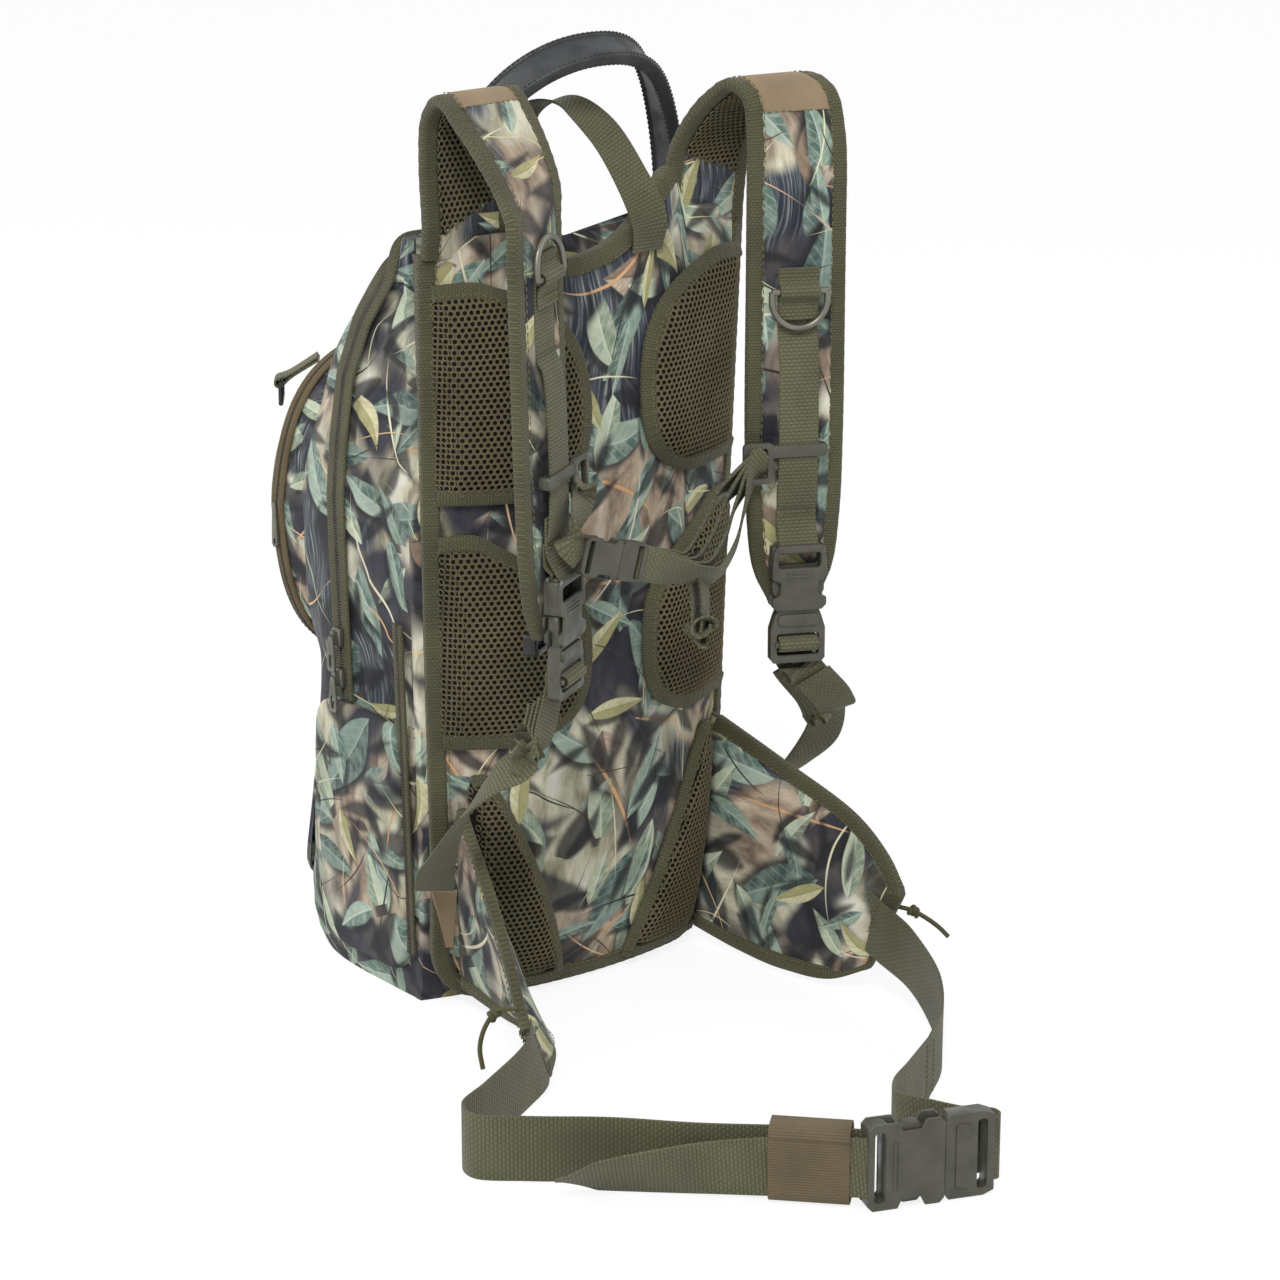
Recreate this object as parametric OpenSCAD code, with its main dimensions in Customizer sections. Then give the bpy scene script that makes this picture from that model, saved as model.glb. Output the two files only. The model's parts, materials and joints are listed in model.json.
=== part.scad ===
// Hunting day pack with padded back panel, shoulder straps and hip belt
// Standing upright, harness side toward -Y, bag front toward +Y, floor at Z = 0, millimetres

/* [Bag] */
// Width of the back panel at the shoulders
pack_width = 246; // [228:1:276]
// Width of the back panel at the foot
foot_width = 220; // [206:1:240]
// Height of the bag at the back panel
pack_height = 494; // [440:1:540]
// Depth of the bag from the panel edges to the front
pack_depth = 184; // [160:1:204]
// How far the stuffed back panel bows out in its middle
panel_bow = 38; // [20:1:50]
// Thickness of the bag fabric with its lining
wall = 2.4; // [1.6:0.1:4]
// Gap kept between sewn pieces
fit = 0.4; // [0.3:0.05:0.8]
// Depth of the zip line on the bag side
zip_y = 92; // [75:1:110]
// Width of one half of the zip tape
zip_tape = 9; // [6:0.5:14]
// Thickness of the zip tape and its teeth
zip_thick = 1.6; // [1:0.1:3]
// Height of the fold line of the lid at the bag front
lid_fold = 172; // [150:1:200]

/* [Pockets] */
// Width of the front pocket
pocket_width = 194; // [150:1:206]
// Height of the front pocket
pocket_height = 216; // [170:1:224]
// How far the front pocket stands in front of the bag
pocket_bulge = 46; // [25:1:55]
// Height of the lower front pocket
lower_height = 116; // [80:1:128]
// Width of the lower front pocket
lower_width = 168; // [120:1:180]
// How far the flat pockets stand out
pocket_pad = 7; // [4:0.5:10]
// Depth of a side pocket from back to front
side_pocket_depth = 96; // [70:1:110]
// Clear height left between a side pocket and the foot of the main zip
side_pocket_gap = 1.8; // [1.5:0.1:30]

/* [Back panel] */
// Thickness of the panel foam
panel_foam = 9; // [6:0.5:14]
// Thickness of the stiffening sheet behind the foam
sheet_thick = 1.6; // [1:0.1:3]
// Depth of the neck cut-out below the top of the panel
neck_drop = 22; // [12:1:60]
// Thickness of the edge binding
binding_thick = 2.6; // [1.5:0.1:4]
// How far the foot of the panel is drawn in under the bag
foot_tuck = 9; // [4:1:14]
// How far the top of the panel leans toward the wearer
top_lean = 11; // [0:1:16]
// Crown of the mesh pads
pad_crown = 8; // [5:0.5:12]
// Half width of the bare channel between the pads
channel = 20; // [12:1:30]

/* [Shoulder straps] */
// Width of a shoulder strap
strap_width = 60; // [50:1:68]
// Thickness of a shoulder strap in its middle
strap_thick = 9; // [6:0.5:12]
// Distance of the hanging right strap from the middle
right_leg_x = 99; // [96:1:108]
// Distance of the hanging left strap from the middle
left_leg_x = 95; // [90:1:102]
// How far the straps hang in front of the panel edges
leg_y = 92; // [86:1:100]
// How much higher the left strap is set
left_rise = 12; // [0:1:20]
// Lean of the left strap to the outside
left_lean = 3; // [0:0.5:4]
// How much further up its strap the left ring is sewn
left_ring_up = 22; // [0:1:26]
// Turn of the right strap toward the middle
right_turn = 25; // [15:1:35]
// Turn of the left strap toward the middle
left_turn = 28; // [15:1:35]
// Width of the narrow webbing
web_width = 25; // [20:0.5:28]
// Thickness of all webbing
web_thick = 1.6; // [1.2:0.1:2.2]

/* [Hardware] */
// Wire diameter of the rings
ring_wire = 4; // [3:0.1:5]
// Inside half width of a strap ring
ring_radius = 15.5; // [15:0.5:18]
// Height of the strap rings
ring_height = 452; // [430:1:460]
// Height of the sternum sliders
slider_height = 353; // [345:1:362]
// Height of the bar of the shoulder buckles
buckle_top = 294; // [286:1:300]
// Width of a shoulder buckle
buckle_width = 35; // [33:0.5:40]
// Thickness of a shoulder buckle
buckle_thick = 12; // [10:0.5:14]
// Length of a buckle socket
socket_length = 42; // [38:1:50]
// Length of the buckle tongue outside its socket
tongue_length = 34; // [30:1:40]
// Wall of the buckle sockets
buckle_wall = 2.2; // [1.8:0.1:3]
// Running clearance of the buckle tongues
slide_fit = 0.5; // [0.3:0.05:0.8]

/* [Hip belt] */
// Width of the hip belt webbing
belt_width = 40; // [36:1:42]
// Thickness of a hip fin in its middle
fin_thick = 10; // [7:0.5:14]
// Height of the hip buckle standing on its edge
hip_height = 52; // [51:1:58]
// Thickness of the hip buckle
hip_thick = 14; // [12:0.5:18]
// Length of the hip buckle socket
hip_socket_length = 46; // [42:1:54]
// Length of the hip tongue outside its socket
hip_tongue_length = 30; // [26:1:36]
// Diameter of the cord pulls on the fins
cord_dia = 3; // [2.5:0.1:3.5]

/* [Handle] */
// Half width of the carry handle
handle_half = 74; // [66:1:78]
// Height of the top of the carry handle over its feet
handle_rise = 103; // [85:1:112]
// Width of the handle strip
handle_width = 18; // [14:1:24]
// Thickness of the handle strip
handle_thick = 9; // [6:0.5:12]

/* [Hidden] */

// Middle of the base, so that the origin lies under the pack
base_mid = pack_depth / 2;
// Panel thickness with its sheet
panel_all = panel_foam + fit + sheet_thick;
// Lean of the bag sides
side_lean = atan((pack_width - foot_width) / 2 / pack_height);

// Point list helpers
function mix(a, b, t) = a + (b - a) * t;
function unit(v) = v / norm(v);
function cat(a, b, c, d, t) =
  0.5 * (2 * b + (c - a) * t + (2 * a - 5 * b + 4 * c - d) * t * t
  + (3 * b - a - 3 * c + d) * t * t * t);
function at(list, i) = list[max(0, min(len(list) - 1, i))];
function smooth(list, k) = concat(
  [for (i = [0 : len(list) - 2], s = [0 : k - 1])
    cat(at(list, i - 1), list[i], list[i + 1], at(list, i + 2), s / k)],
  [list[len(list) - 1]]);

// Half width of the pack and outer face of the panel at a height
function half(z) = mix(foot_width, pack_width, max(0, min(1.1, z / pack_height))) / 2;
function bow(z) = panel_bow * (1 - 0.68 * pow(abs(z / pack_height - 0.5) / 0.55, 2.4));
function tuck(z) = foot_tuck * pow(max(0, 1 - z / pack_height / 0.2), 2) - top_lean * pow(z / pack_height, 2);
function face(x, z) = tuck(z) - bow(z) * (1 - pow(x / half(z), 2));

// Front of the bag and dip of its top at a height
function front(z) = pack_depth * lookup(z / pack_height,
  [[0, 0.91], [0.016, 0.98], [0.04, 1.02], [0.08, 1.035], [0.18, 0.98], [0.27, 0.926], [0.36, 0.92],
   [0.405, 0.932], [0.466, 0.966], [0.547, 0.983], [0.628, 0.96], [0.713, 0.886], [0.81, 0.727],
   [0.879, 0.602], [0.941, 0.426], [0.982, 0.262], [1, 0.17]]);
function dip(x, z) = max(0, z / pack_height - 0.86) / 0.14 * 16 * max(0, 1 - pow(x / half(z) / 0.62, 2));

// Closed solid between two grids of points
module skin(P, Q) {
  m = len(P[0]);
  n = len(P);
  o = n * m;
  polyhedron(points = concat([for (r = P) each r], [for (r = Q) each r]), faces = concat(
    [for (i = [0 : n - 2], j = [0 : m - 2]) [i * m + j, (i + 1) * m + j, (i + 1) * m + j + 1]],
    [for (i = [0 : n - 2], j = [0 : m - 2]) [i * m + j, (i + 1) * m + j + 1, i * m + j + 1]],
    [for (i = [0 : n - 2], j = [0 : m - 2]) [o + i * m + j, o + (i + 1) * m + j + 1, o + (i + 1) * m + j]],
    [for (i = [0 : n - 2], j = [0 : m - 2]) [o + i * m + j, o + i * m + j + 1, o + (i + 1) * m + j + 1]],
    [for (j = [0 : m - 2]) each [[j, j + 1, o + j + 1], [j, o + j + 1, o + j]]],
    [for (j = [0 : m - 2], k = [(n - 1) * m]) each
      [[k + j + 1, k + j, o + k + j], [k + j + 1, o + k + j, o + k + j + 1]]],
    [for (i = [0 : n - 2]) each [[(i + 1) * m, i * m, o + i * m], [(i + 1) * m, o + i * m, o + (i + 1) * m]]],
    [for (i = [0 : n - 2], k = [m - 1]) each
      [[i * m + k, (i + 1) * m + k, o + (i + 1) * m + k], [i * m + k, o + (i + 1) * m + k, o + i * m + k]]]),
    convexity = 8);
}

// Closed solid through a stack of rings with a middle point at each end
module loft(rings) {
  n = len(rings);
  m = len(rings[0]);
  mid = function(r) [for (a = [0 : 2]) [for (p = r) p[a]] * [for (p = r) 1] / len(r)];
  polyhedron(points = concat([for (r = rings) each r], [mid(rings[0]), mid(rings[n - 1])]), faces = concat(
    [for (i = [0 : n - 2], j = [0 : m - 1]) [i * m + j, (i + 1) * m + (j + 1) % m, i * m + (j + 1) % m]],
    [for (i = [0 : n - 2], j = [0 : m - 1]) [i * m + j, (i + 1) * m + j, (i + 1) * m + (j + 1) % m]],
    [for (j = [0 : m - 1]) [j, (j + 1) % m, n * m]],
    [for (j = [0 : m - 1]) [(n - 1) * m + (j + 1) % m, (n - 1) * m + j, n * m + 1]]), convexity = 8);
}

// Strip of webbing through points that each carry their own width direction
function tangent(L, i) = unit(at(L, i + 1)[0] - at(L, i - 1)[0]);
function normal(L, i) = unit(cross(L[i][1], tangent(L, i)));
module strip(L, width, thick) {
  skin([for (i = [0 : len(L) - 1]) [for (s = [-0.5, 0.5])
      L[i][0] + s * width * unit(L[i][1]) + normal(L, i) * thick / 2]],
    [for (i = [0 : len(L) - 1]) [for (s = [-0.5, 0.5])
      L[i][0] + s * width * unit(L[i][1]) - normal(L, i) * thick / 2]]);
}
function run(list, k) = [for (q = smooth([for (p = list) concat(p[0], p[1])], k))
  [[q[0], q[1], q[2]], [q[3], q[4], q[5]]]];

// Round cord through points
module cord(list, dia, sides = 8) {
  rings = [for (i = [0 : len(list) - 1])
    let (t = unit(at(list, i + 1) - at(list, i - 1)),
      u = unit(cross(t, abs(t[2]) < 0.9 ? [0, 0, 1] : [1, 0, 0])), v = cross(t, u))
    [for (a = [0 : sides - 1]) list[i] + dia / 2 * (cos(360 * a / sides) * u + sin(360 * a / sides) * v)]];
  loft(rings);
}

module at_pack() translate([0, -base_mid, 0]) children();

// Outline of the bag at a height, grown or shrunk
lobe = 5;
arc_steps = 24;
rear_steps = 8;
function arc_pt(z, d, a) = let (y0 = panel_all + 2 * fit + tuck(z), w = half(z) + d,
    c = cos(a), s = sin(a), x = w * sign(c) * pow(abs(c), 2 / lobe))
  [x, y0 - d + (front(z) + 2 * d - y0) * pow(abs(s), 2 / lobe), z - dip(x, z)];
function rear_pt(z, d, x) = [x, face(x, z) + panel_all + 2 * fit - d, z - dip(x, z)];
function bag_ring(z, d) = concat(
  [for (i = [0 : arc_steps]) arc_pt(z, d, 180 * i / arc_steps)],
  [for (i = [1 : rear_steps - 1]) rear_pt(z, d, (half(z) + d) * (2 * i / rear_steps - 1))]);
bag_levels = [0, 0.016, 0.04, 0.08, 0.18, 0.27, 0.36, 0.405, 0.466, 0.547, 0.628, 0.713, 0.81, 0.879,
  0.941, 0.982, 1];
module bag_form(d) {
  loft([for (k = bag_levels) let (z = k * pack_height, r = bag_ring(z, d))
    [for (p = r) [p[0], p[1], p[2] + (k < 0.01 ? -d : k > 0.99 ? d : 0)]]]);
}
module bag_shell() difference() {
  bag_form(0);
  bag_form(-wall);
}

// Side view of the lid, bounded by the zip line and the fold line
zip_top = 0.645 * pack_height;
zip_foot = 0.372 * pack_height;
function zip_line(s) = [[zip_y + s, zip_foot], [zip_y + s, zip_top], [zip_y - 6 + s, 0.716 * pack_height],
  [zip_y - 17 + s, 0.806 * pack_height], [zip_y - 40 + s, 0.887 * pack_height],
  [zip_y - 68 + s, 0.951 * pack_height], [zip_y - 84 + s, 1.08 * pack_height]];
module side_cut(poly) {
  rotate([90, 0, 90]) translate([0, 0, -pack_width]) linear_extrude(2 * pack_width) polygon(poly);
}
function fold_at(y, s) = lid_fold + s + (zip_foot - lid_fold) * (front(lid_fold) - y)
  / (front(lid_fold) - zip_y);
module lid_zone(s) {
  let (line = zip_line(s)) side_cut(concat([[zip_y + s, fold_at(zip_y + s, s)]],
    [for (i = [1 : len(line) - 1]) line[i]],
    [[2 * pack_depth, 1.08 * pack_height], [2 * pack_depth, fold_at(2 * pack_depth, s)]]));
}
module zip_band(s0, s1) {
  side_cut(concat(zip_line(s0), [for (i = [6 : -1 : 0]) zip_line(s1)[i]]));
}
zip_gap = 0.8;

module main_bag() color("DarkOliveGreen") at_pack() difference() {
  bag_shell();
  lid_zone(0);
}

module main_lid() color("OliveDrab") at_pack() intersection() {
  bag_shell();
  lid_zone(zip_gap);
}

module zip_half(s0, s1) intersection() {
  difference() {
    bag_form(fit + zip_thick);
    bag_form(fit);
  }
  zip_band(s0, s1);
  translate([-pack_width, -pack_depth, zip_foot + 2]) cube([2 * pack_width, 3 * pack_depth, pack_height]);
}
module main_zip_rear() color("Olive") at_pack() zip_half(-zip_tape, -0.1);
module main_zip_front() color("Olive") at_pack() zip_half(zip_gap + 0.1, zip_gap + zip_tape);

// Back panel with its neck cut-out and rounded foot
foot_round = 30;
neck_half = 58;
panel_top = pack_height + 4;
neck_height = panel_top - neck_drop;
panel_foot = 3;
function neck(x) = abs(x) < neck_half
  ? neck_height + (panel_top - neck_height) * pow(abs(x) / neck_half, 3) : panel_top;
function foot(x, w) = panel_foot + (abs(x) > w - foot_round
  ? foot_round - sqrt(max(0, foot_round * foot_round - pow(abs(x) - w + foot_round, 2))) : 0);
panel_cols = [-1, -0.97, -0.9, -0.8, -0.66, -0.5, -0.36, -0.18, 0, 0.18, 0.36, 0.5, 0.66, 0.8, 0.9, 0.97, 1];
panel_rows = 16;
function panel_grid(back, inset) = [for (i = [0 : panel_rows]) [for (u = panel_cols)
  let (w0 = half(0) - inset, z0 = foot(u * w0, w0) + inset, z1 = neck(u * (half(panel_top) - inset)) - inset,
    z = mix(z0, z1, i / panel_rows), x = u * (half(z) - inset))
  [x, face(x, z) + back, z]]];
rim = binding_thick + fit;
module back_panel() color("DarkSlateGray") at_pack()
  skin(panel_grid(0, rim), panel_grid(panel_foam, rim));
module frame_sheet() color("DimGray") at_pack()
  skin(panel_grid(panel_foam + fit, rim), panel_grid(panel_all, rim));

// Binding tape round the panel edge
function panel_edge(inset) = let (g = panel_grid(0, inset), n = len(g) - 1, m = len(g[0]) - 1) concat(
  [for (j = [0 : m]) g[0][j]], [for (i = [1 : n]) g[i][m]],
  [for (j = [m - 1 : -1 : 0]) g[n][j]], [for (i = [n - 1 : -1 : 1]) g[i][0]]);
module hoop(a, b, deep) {
  m = len(a);
  o = function(k, j) k * m + (j % m);
  polyhedron(points = concat(a, b, [for (p = a) p + [0, deep, 0]], [for (p = b) p + [0, deep, 0]]),
    faces = concat([for (j = [0 : m - 1]) each [
      [o(0, j), o(1, j), o(1, j + 1)], [o(0, j), o(1, j + 1), o(0, j + 1)],
      [o(1, j), o(3, j), o(3, j + 1)], [o(1, j), o(3, j + 1), o(1, j + 1)],
      [o(3, j), o(2, j), o(2, j + 1)], [o(3, j), o(2, j + 1), o(3, j + 1)],
      [o(2, j), o(0, j), o(0, j + 1)], [o(2, j), o(0, j + 1), o(2, j + 1)]]]), convexity = 10);
}
module panel_binding() color("Olive") at_pack() hoop(panel_edge(0), panel_edge(binding_thick), panel_all);

// Mesh pads with a crown and drawn-in edges, each a table of heights and inner edges
pad_edge = 5;
upper_table = [[332, 62], [336, 48], [344, 34], [357, 24], [375, 20], [400, 20], [424, 26], [442, 38],
  [455, 56], [463, 76], [468, 92]];
middle_table = [[175, 62], [180, 46], [189, 32], [204, 23], [230, 20], [258, 24], [274, 36], [288, 54],
  [302, 76], [312, 92]];
lumbar_table = [[10, 26], [18, 27], [40, 34], [65, 43], [90, 53], [115, 64], [138, 75], [150, 82], [156, 86]];
pad_cols = [0, 0.04, 0.15, 0.35, 0.6, 0.8, 0.94, 1];
pad_lift = [0, 0.55, 0.9, 1, 1, 0.92, 0.6, 0];
lumbar_edge = 20;
function pad_grid(table, side, back, edge) = [for (i = [0 : len(table) - 1]) [for (j = [0 : len(pad_cols) - 1])
  let (q = side > 0 ? j : len(pad_cols) - 1 - j, z = table[i][0] * pack_height / 494,
    xi = table[i][1] - 20 + channel, xo = half(z) - edge,
    x = side * mix(xi, xo, pad_cols[q]), e = min(i, len(table) - 1 - i),
    lift = e == 0 ? 0 : e == 1 ? 0.6 : e == 2 ? 0.9 : 1)
  [x, face(x, z) - pad_gap - (back ? 0 : 2 + pad_crown * lift * pad_lift[q]), z]]];
pad_gap = 0.9;
module pad(table, side, edge = pad_edge) color("DarkKhaki") at_pack()
  skin(pad_grid(table, side, false, edge), pad_grid(table, side, true, edge));
module pad_upper_left() pad(upper_table, -1);
module pad_upper_right() pad(upper_table, 1);
module pad_middle_left() pad(middle_table, -1);
module pad_middle_right() pad(middle_table, 1);
module pad_lumbar_left() pad(lumbar_table, -1, lumbar_edge);
module pad_lumbar_right() pad(lumbar_table, 1, lumbar_edge);

// Water bladder sleeve hung inside the main compartment
sleeve_half = 80;
sleeve_top = 400;
sleeve_foot = 40;
sleeve_thick = 2;
function sleeve_grid(back) = [for (z = [sleeve_foot : 40 : sleeve_top]) [for (u = [-1, -0.6, -0.2, 0.2, 0.6, 1])
  let (x = u * sleeve_half) [x, face(x, z) + panel_all + 3 * fit + wall + 0.7 + back, z]]];
module hydration_sleeve() color("SlateGray") at_pack() skin(sleeve_grid(0), sleeve_grid(sleeve_thick));

// Cushion-shaped pocket pushed out of the bag wall
function lobe_ring(w, h, n) = [for (a = [0 : 15 : 345]) let (c = cos(a), s = sin(a))
  [w * sign(c) * pow(abs(c), 2 / n), h * sign(s) * pow(abs(s), 2 / n)]];
pocket_mid = lid_fold + 8 + pocket_height / 2;
function pocket_rings(d) = let (y1 = front(pocket_mid) + pocket_bulge + d) [for (q = [
    [y1 - pocket_bulge - 90, 1], [y1 - 26, 1], [y1 - 17, 0.965], [y1 - 8, 0.89], [y1 - 2, 0.74], [y1, 0.5]])
  [for (p = lobe_ring(pocket_width / 2 + d, pocket_height / 2 + d, 3))
    [p[0] * q[1], q[0] - (p[1] > 0 ? 0.2 * p[1] * q[1] : -0.1 * p[1] * q[1]), pocket_mid + p[1] * q[1]]]];
module pocket_form(d) loft([for (r = pocket_rings(d)) [for (i = [len(r) - 1 : -1 : 0]) r[i]]]);
module front_pocket() color("OliveDrab") at_pack() difference() {
  pocket_form(0);
  pocket_form(-wall);
  bag_form(2 * fit);
}
zip_deep = 13;
function zip_hoop(d) = [for (p = pocket_rings(d)[1]) p - [0, d + zip_deep + 1, 0]];
module front_zip() color("SaddleBrown") at_pack()
  hoop(zip_hoop(fit + zip_thick), zip_hoop(fit), zip_deep);

// Flat zipped pocket low on the bag front
lower_mid = 20 + lower_height / 2;
module lower_pocket() color("DarkOliveGreen") at_pack() difference() {
  loft([for (q = [[-30, 1], [pocket_pad * 0.55, 1], [pocket_pad * 0.9, 0.96], [pocket_pad, 0.9]])
    [for (p = lobe_ring(lower_width / 2 * q[1], lower_height / 2 * q[1], 6))
      [-p[0], front(lower_mid + p[1]) + q[0], lower_mid + p[1]]]]);
  bag_form(2 * fit);
}

// Side pockets with their upright zip
pocket_y0 = panel_all + foot_tuck + 9;
side_mid_y = pocket_y0 + side_pocket_depth / 2;
side_pocket_foot = 14;
side_pocket_height = zip_foot - side_pocket_foot - side_pocket_gap;
side_mid_z = side_pocket_foot + side_pocket_height / 2;
module side_pocket(s) difference() {
  union() {
    loft([for (q = [[-30, 1], [pocket_pad * 0.55, 1], [pocket_pad * 0.9, 0.96], [pocket_pad, 0.9]])
      [for (p = lobe_ring(side_pocket_depth / 2 * q[1], side_pocket_height / 2 * q[1], 6))
        [s * (half(side_mid_z + p[1]) + q[0]), side_mid_y + s * p[0], side_mid_z + p[1]]]]);
    loft([for (q = [-20, fit * 2 + zip_thick])
      [for (p = [[5, 110], [-5, 110], [-5, -110], [5, -110]])
        [s * (half(140 + p[1]) + q), pocket_y0 - 1 + s * p[0], 140 + p[1]]]]);
  }
  bag_form(2 * fit);
}
module side_pocket_left() color("DarkOliveGreen") at_pack() side_pocket(-1);
module side_pocket_right() color("DarkOliveGreen") at_pack() side_pocket(1);

// Frames of the hanging straps, the left one leaning about its sternum slider
module leg_left() at_pack() translate([-left_leg_x, -leg_y, left_rise + slider_height])
  rotate([0, -left_lean, left_turn]) translate([0, 0, -slider_height]) children();
module leg_right() at_pack() translate([right_leg_x, -leg_y, 0]) rotate([0, 0, -right_turn]) children();
function leg_pt(s, x, y, z) = let (a = s < 0 ? left_turn : -right_turn, e = s < 0 ? left_lean : 0,
    o = s < 0 ? -left_leg_x : right_leg_x, d = z - slider_height, X = x * cos(e) - d * sin(e))
  [o + X * cos(a) - y * sin(a), -leg_y + X * sin(a) + y * cos(a),
    slider_height + (s < 0 ? left_rise : 0) + d * cos(e) + x * sin(e)];
function leg_dir(s) = let (a = s < 0 ? left_turn : -right_turn) [cos(a), sin(a), 0];
function leg_row(s, z, share) = [leg_pt(s, 0, 0, z), share, s < 0 ? left_turn : -right_turn];

// Shoulder straps, each a yoke and a hanging strap: points with width share and turn of the width
root_y = face(90, panel_top) + panel_foam / 2;
bend = [-50, 567];
bend_gap = 0.45;
strap_tip = buckle_top - 37;
function leg_rows(s) = [leg_row(s, 507, 1), leg_row(s, 486, 1), leg_row(s, 460, 1), leg_row(s, strap_tip + 103, 1),
  leg_row(s, strap_tip + 53, 0.95), leg_row(s, strap_tip + 19, 0.8), leg_row(s, strap_tip, 0.5)];
right_yoke = [[[88, root_y, panel_top + 1.1], 1, 0], [[89, root_y - 7, 532], 1, 0], [[92, -38, 556], 1, -2],
  [[95, bend[0], bend[1]], 1, -4]];
right_fall = concat([[[95, bend[0], bend[1]], 1, -4], [[97, -68, 576], 1, -8], [[99, -84, 569], 1, -14],
  [[right_leg_x, -leg_y + 1, 546], 1, -20], leg_row(1, 522, 1)], leg_rows(1));
left_yoke = [[[-91, root_y, panel_top + 0.6], 1, 0], [[-92, root_y + 1, 540], 1, 0], [[-93, -17, 568], 1, 2],
  [[-94, -30, 580], 1, 5], [[-95, bend[0], bend[1]], 1, 9]];
left_fall = concat([[[-95, bend[0], bend[1]], 1, 9], [[-96, -68, 551], 1, 15], [[-97, -84, 532], 1, 22]], leg_rows(-1));
strap_cols = [-0.5, -0.44, -0.25, 0.25, 0.44, 0.5];
strap_lift = [0.45, 0.8, 1, 1, 0.8, 0.45];
function turn_round(L) = [for (i = [len(L) - 1 : -1 : 0]) L[i]];
function pull_back(L, e) = let (d = unit([for (a = [0 : 2]) L[1][a] - L[0][a]]))
  concat([[for (a = [0 : 4]) L[0][a] + (a < 3 ? d[a] * e : 0)]], [for (i = [1 : len(L) - 1]) L[i]]);
function strap_line(route) = smooth([for (r = route) concat(r[0], [r[1], r[2]])], 3);
function strap_grid(L, s) = [for (i = [0 : len(L) - 1])
  let (p = [L[i][0], L[i][1], L[i][2]], w = [cos(L[i][4]), sin(L[i][4]), 0],
    a = at(L, i - 1), b = at(L, i + 1), t = unit([b[0] - a[0], b[1] - a[1], b[2] - a[2]]), n = unit(cross(w, t)))
  [for (j = [0 : len(strap_cols) - 1])
    p + w * strap_cols[j] * strap_width * L[i][3] + n * s * strap_thick / 2 * strap_lift[j]]];
module strap(L) skin(strap_grid(L, 1), strap_grid(L, -1));
module yoke(route) strap(turn_round(pull_back(turn_round(strap_line(route)), bend_gap)));
module yoke_left() color("SeaGreen") at_pack() yoke(left_yoke);
module yoke_right() color("SeaGreen") at_pack() yoke(right_yoke);
module strap_left() color("MediumSeaGreen") at_pack() strap(pull_back(strap_line(left_fall), bend_gap));
module strap_right() color("MediumSeaGreen") at_pack() strap(pull_back(strap_line(right_fall), bend_gap));

// Webbing on the strap face: sewn, standing off where the slider runs, looped at the buckle bar
skin_y = -strap_thick / 2 - fit;
web_out = skin_y - web_thick;
stand_off = 3.2;
ring_r = ring_wire / 2;
ring_hole = ring_r + 0.3;
ring_y = web_out - ring_hole - web_thick + 0.4;
bar_size = 5;
bar_y = web_out - 6;
bar_z = buckle_top - bar_size / 2;
loop_in = bar_size / 2 + slide_fit;
loop_out = loop_in + web_thick;
web_foot = buckle_top + 14;
run_foot = web_foot + 10;
run_head = ring_height - 33;
module strap_webbing(w, ring_z) {
  web_head = ring_z + 14;
  translate([-w / 2, 0, 0]) rotate([90, 0, 90]) linear_extrude(w) {
    polygon([[skin_y, web_head], [web_out, web_head], [web_out, run_head + 6],
      [web_out - stand_off, run_head], [web_out - stand_off, run_foot],
      [web_out, run_foot - 5], [web_out, web_foot + 4],
      [bar_y + loop_out * 0.6, bar_z + loop_out], [bar_y + loop_out, bar_z + loop_out * 0.4],
      [skin_y, web_foot], [skin_y, run_foot - 5],
      [skin_y - stand_off, run_foot], [skin_y - stand_off, run_head],
      [skin_y, run_head + 6]]);
    translate([bar_y, bar_z]) difference() {
      square(2 * loop_out, center = true);
      square(2 * loop_in, center = true);
    }
  }
  translate([0, ring_y, ring_z]) rotate([0, 90, 0]) difference() {
    union() {
      cylinder(h = w, r = ring_hole + web_thick, center = true, $fn = 32);
      translate([-web_thick / 2 - ring_hole - 6, 0, -w / 2])
        cube([ring_hole + 6, skin_y - ring_y - 0.2, w]);
    }
    cylinder(h = w + 2, r = ring_hole, center = true, $fn = 32);
  }
}
module strap_webbing_left() color("Olive") leg_left() strap_webbing(web_width, ring_height + left_ring_up);
module strap_webbing_right() color("Olive") leg_right() strap_webbing(web_width, ring_height);

// Rings on the straps, hanging at the right and laid up at the left
ring_leg = 5;
module d_ring(tilt, ring_z) translate([0, ring_y, ring_z]) rotate([tilt, 0, 0]) {
  rotate([0, 90, 0]) cylinder(h = 2 * ring_radius + ring_wire, r = ring_r, center = true, $fn = 24);
  for (s = [-1, 1]) translate([s * (ring_radius + ring_r), 0, -ring_leg])
    cylinder(h = ring_leg, r = ring_r, $fn = 24);
  translate([0, 0, -ring_leg]) rotate([-90, 0, 0]) rotate_extrude(angle = 180, $fn = 48)
    translate([ring_radius + ring_r, 0]) circle(r = ring_r, $fn = 24);
}
left_ring_tilt = 184;
module d_ring_left() color("Silver") leg_left() d_ring(-left_ring_tilt, ring_height + left_ring_up);
module d_ring_right() color("Silver") leg_right() d_ring(0, ring_height);

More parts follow.
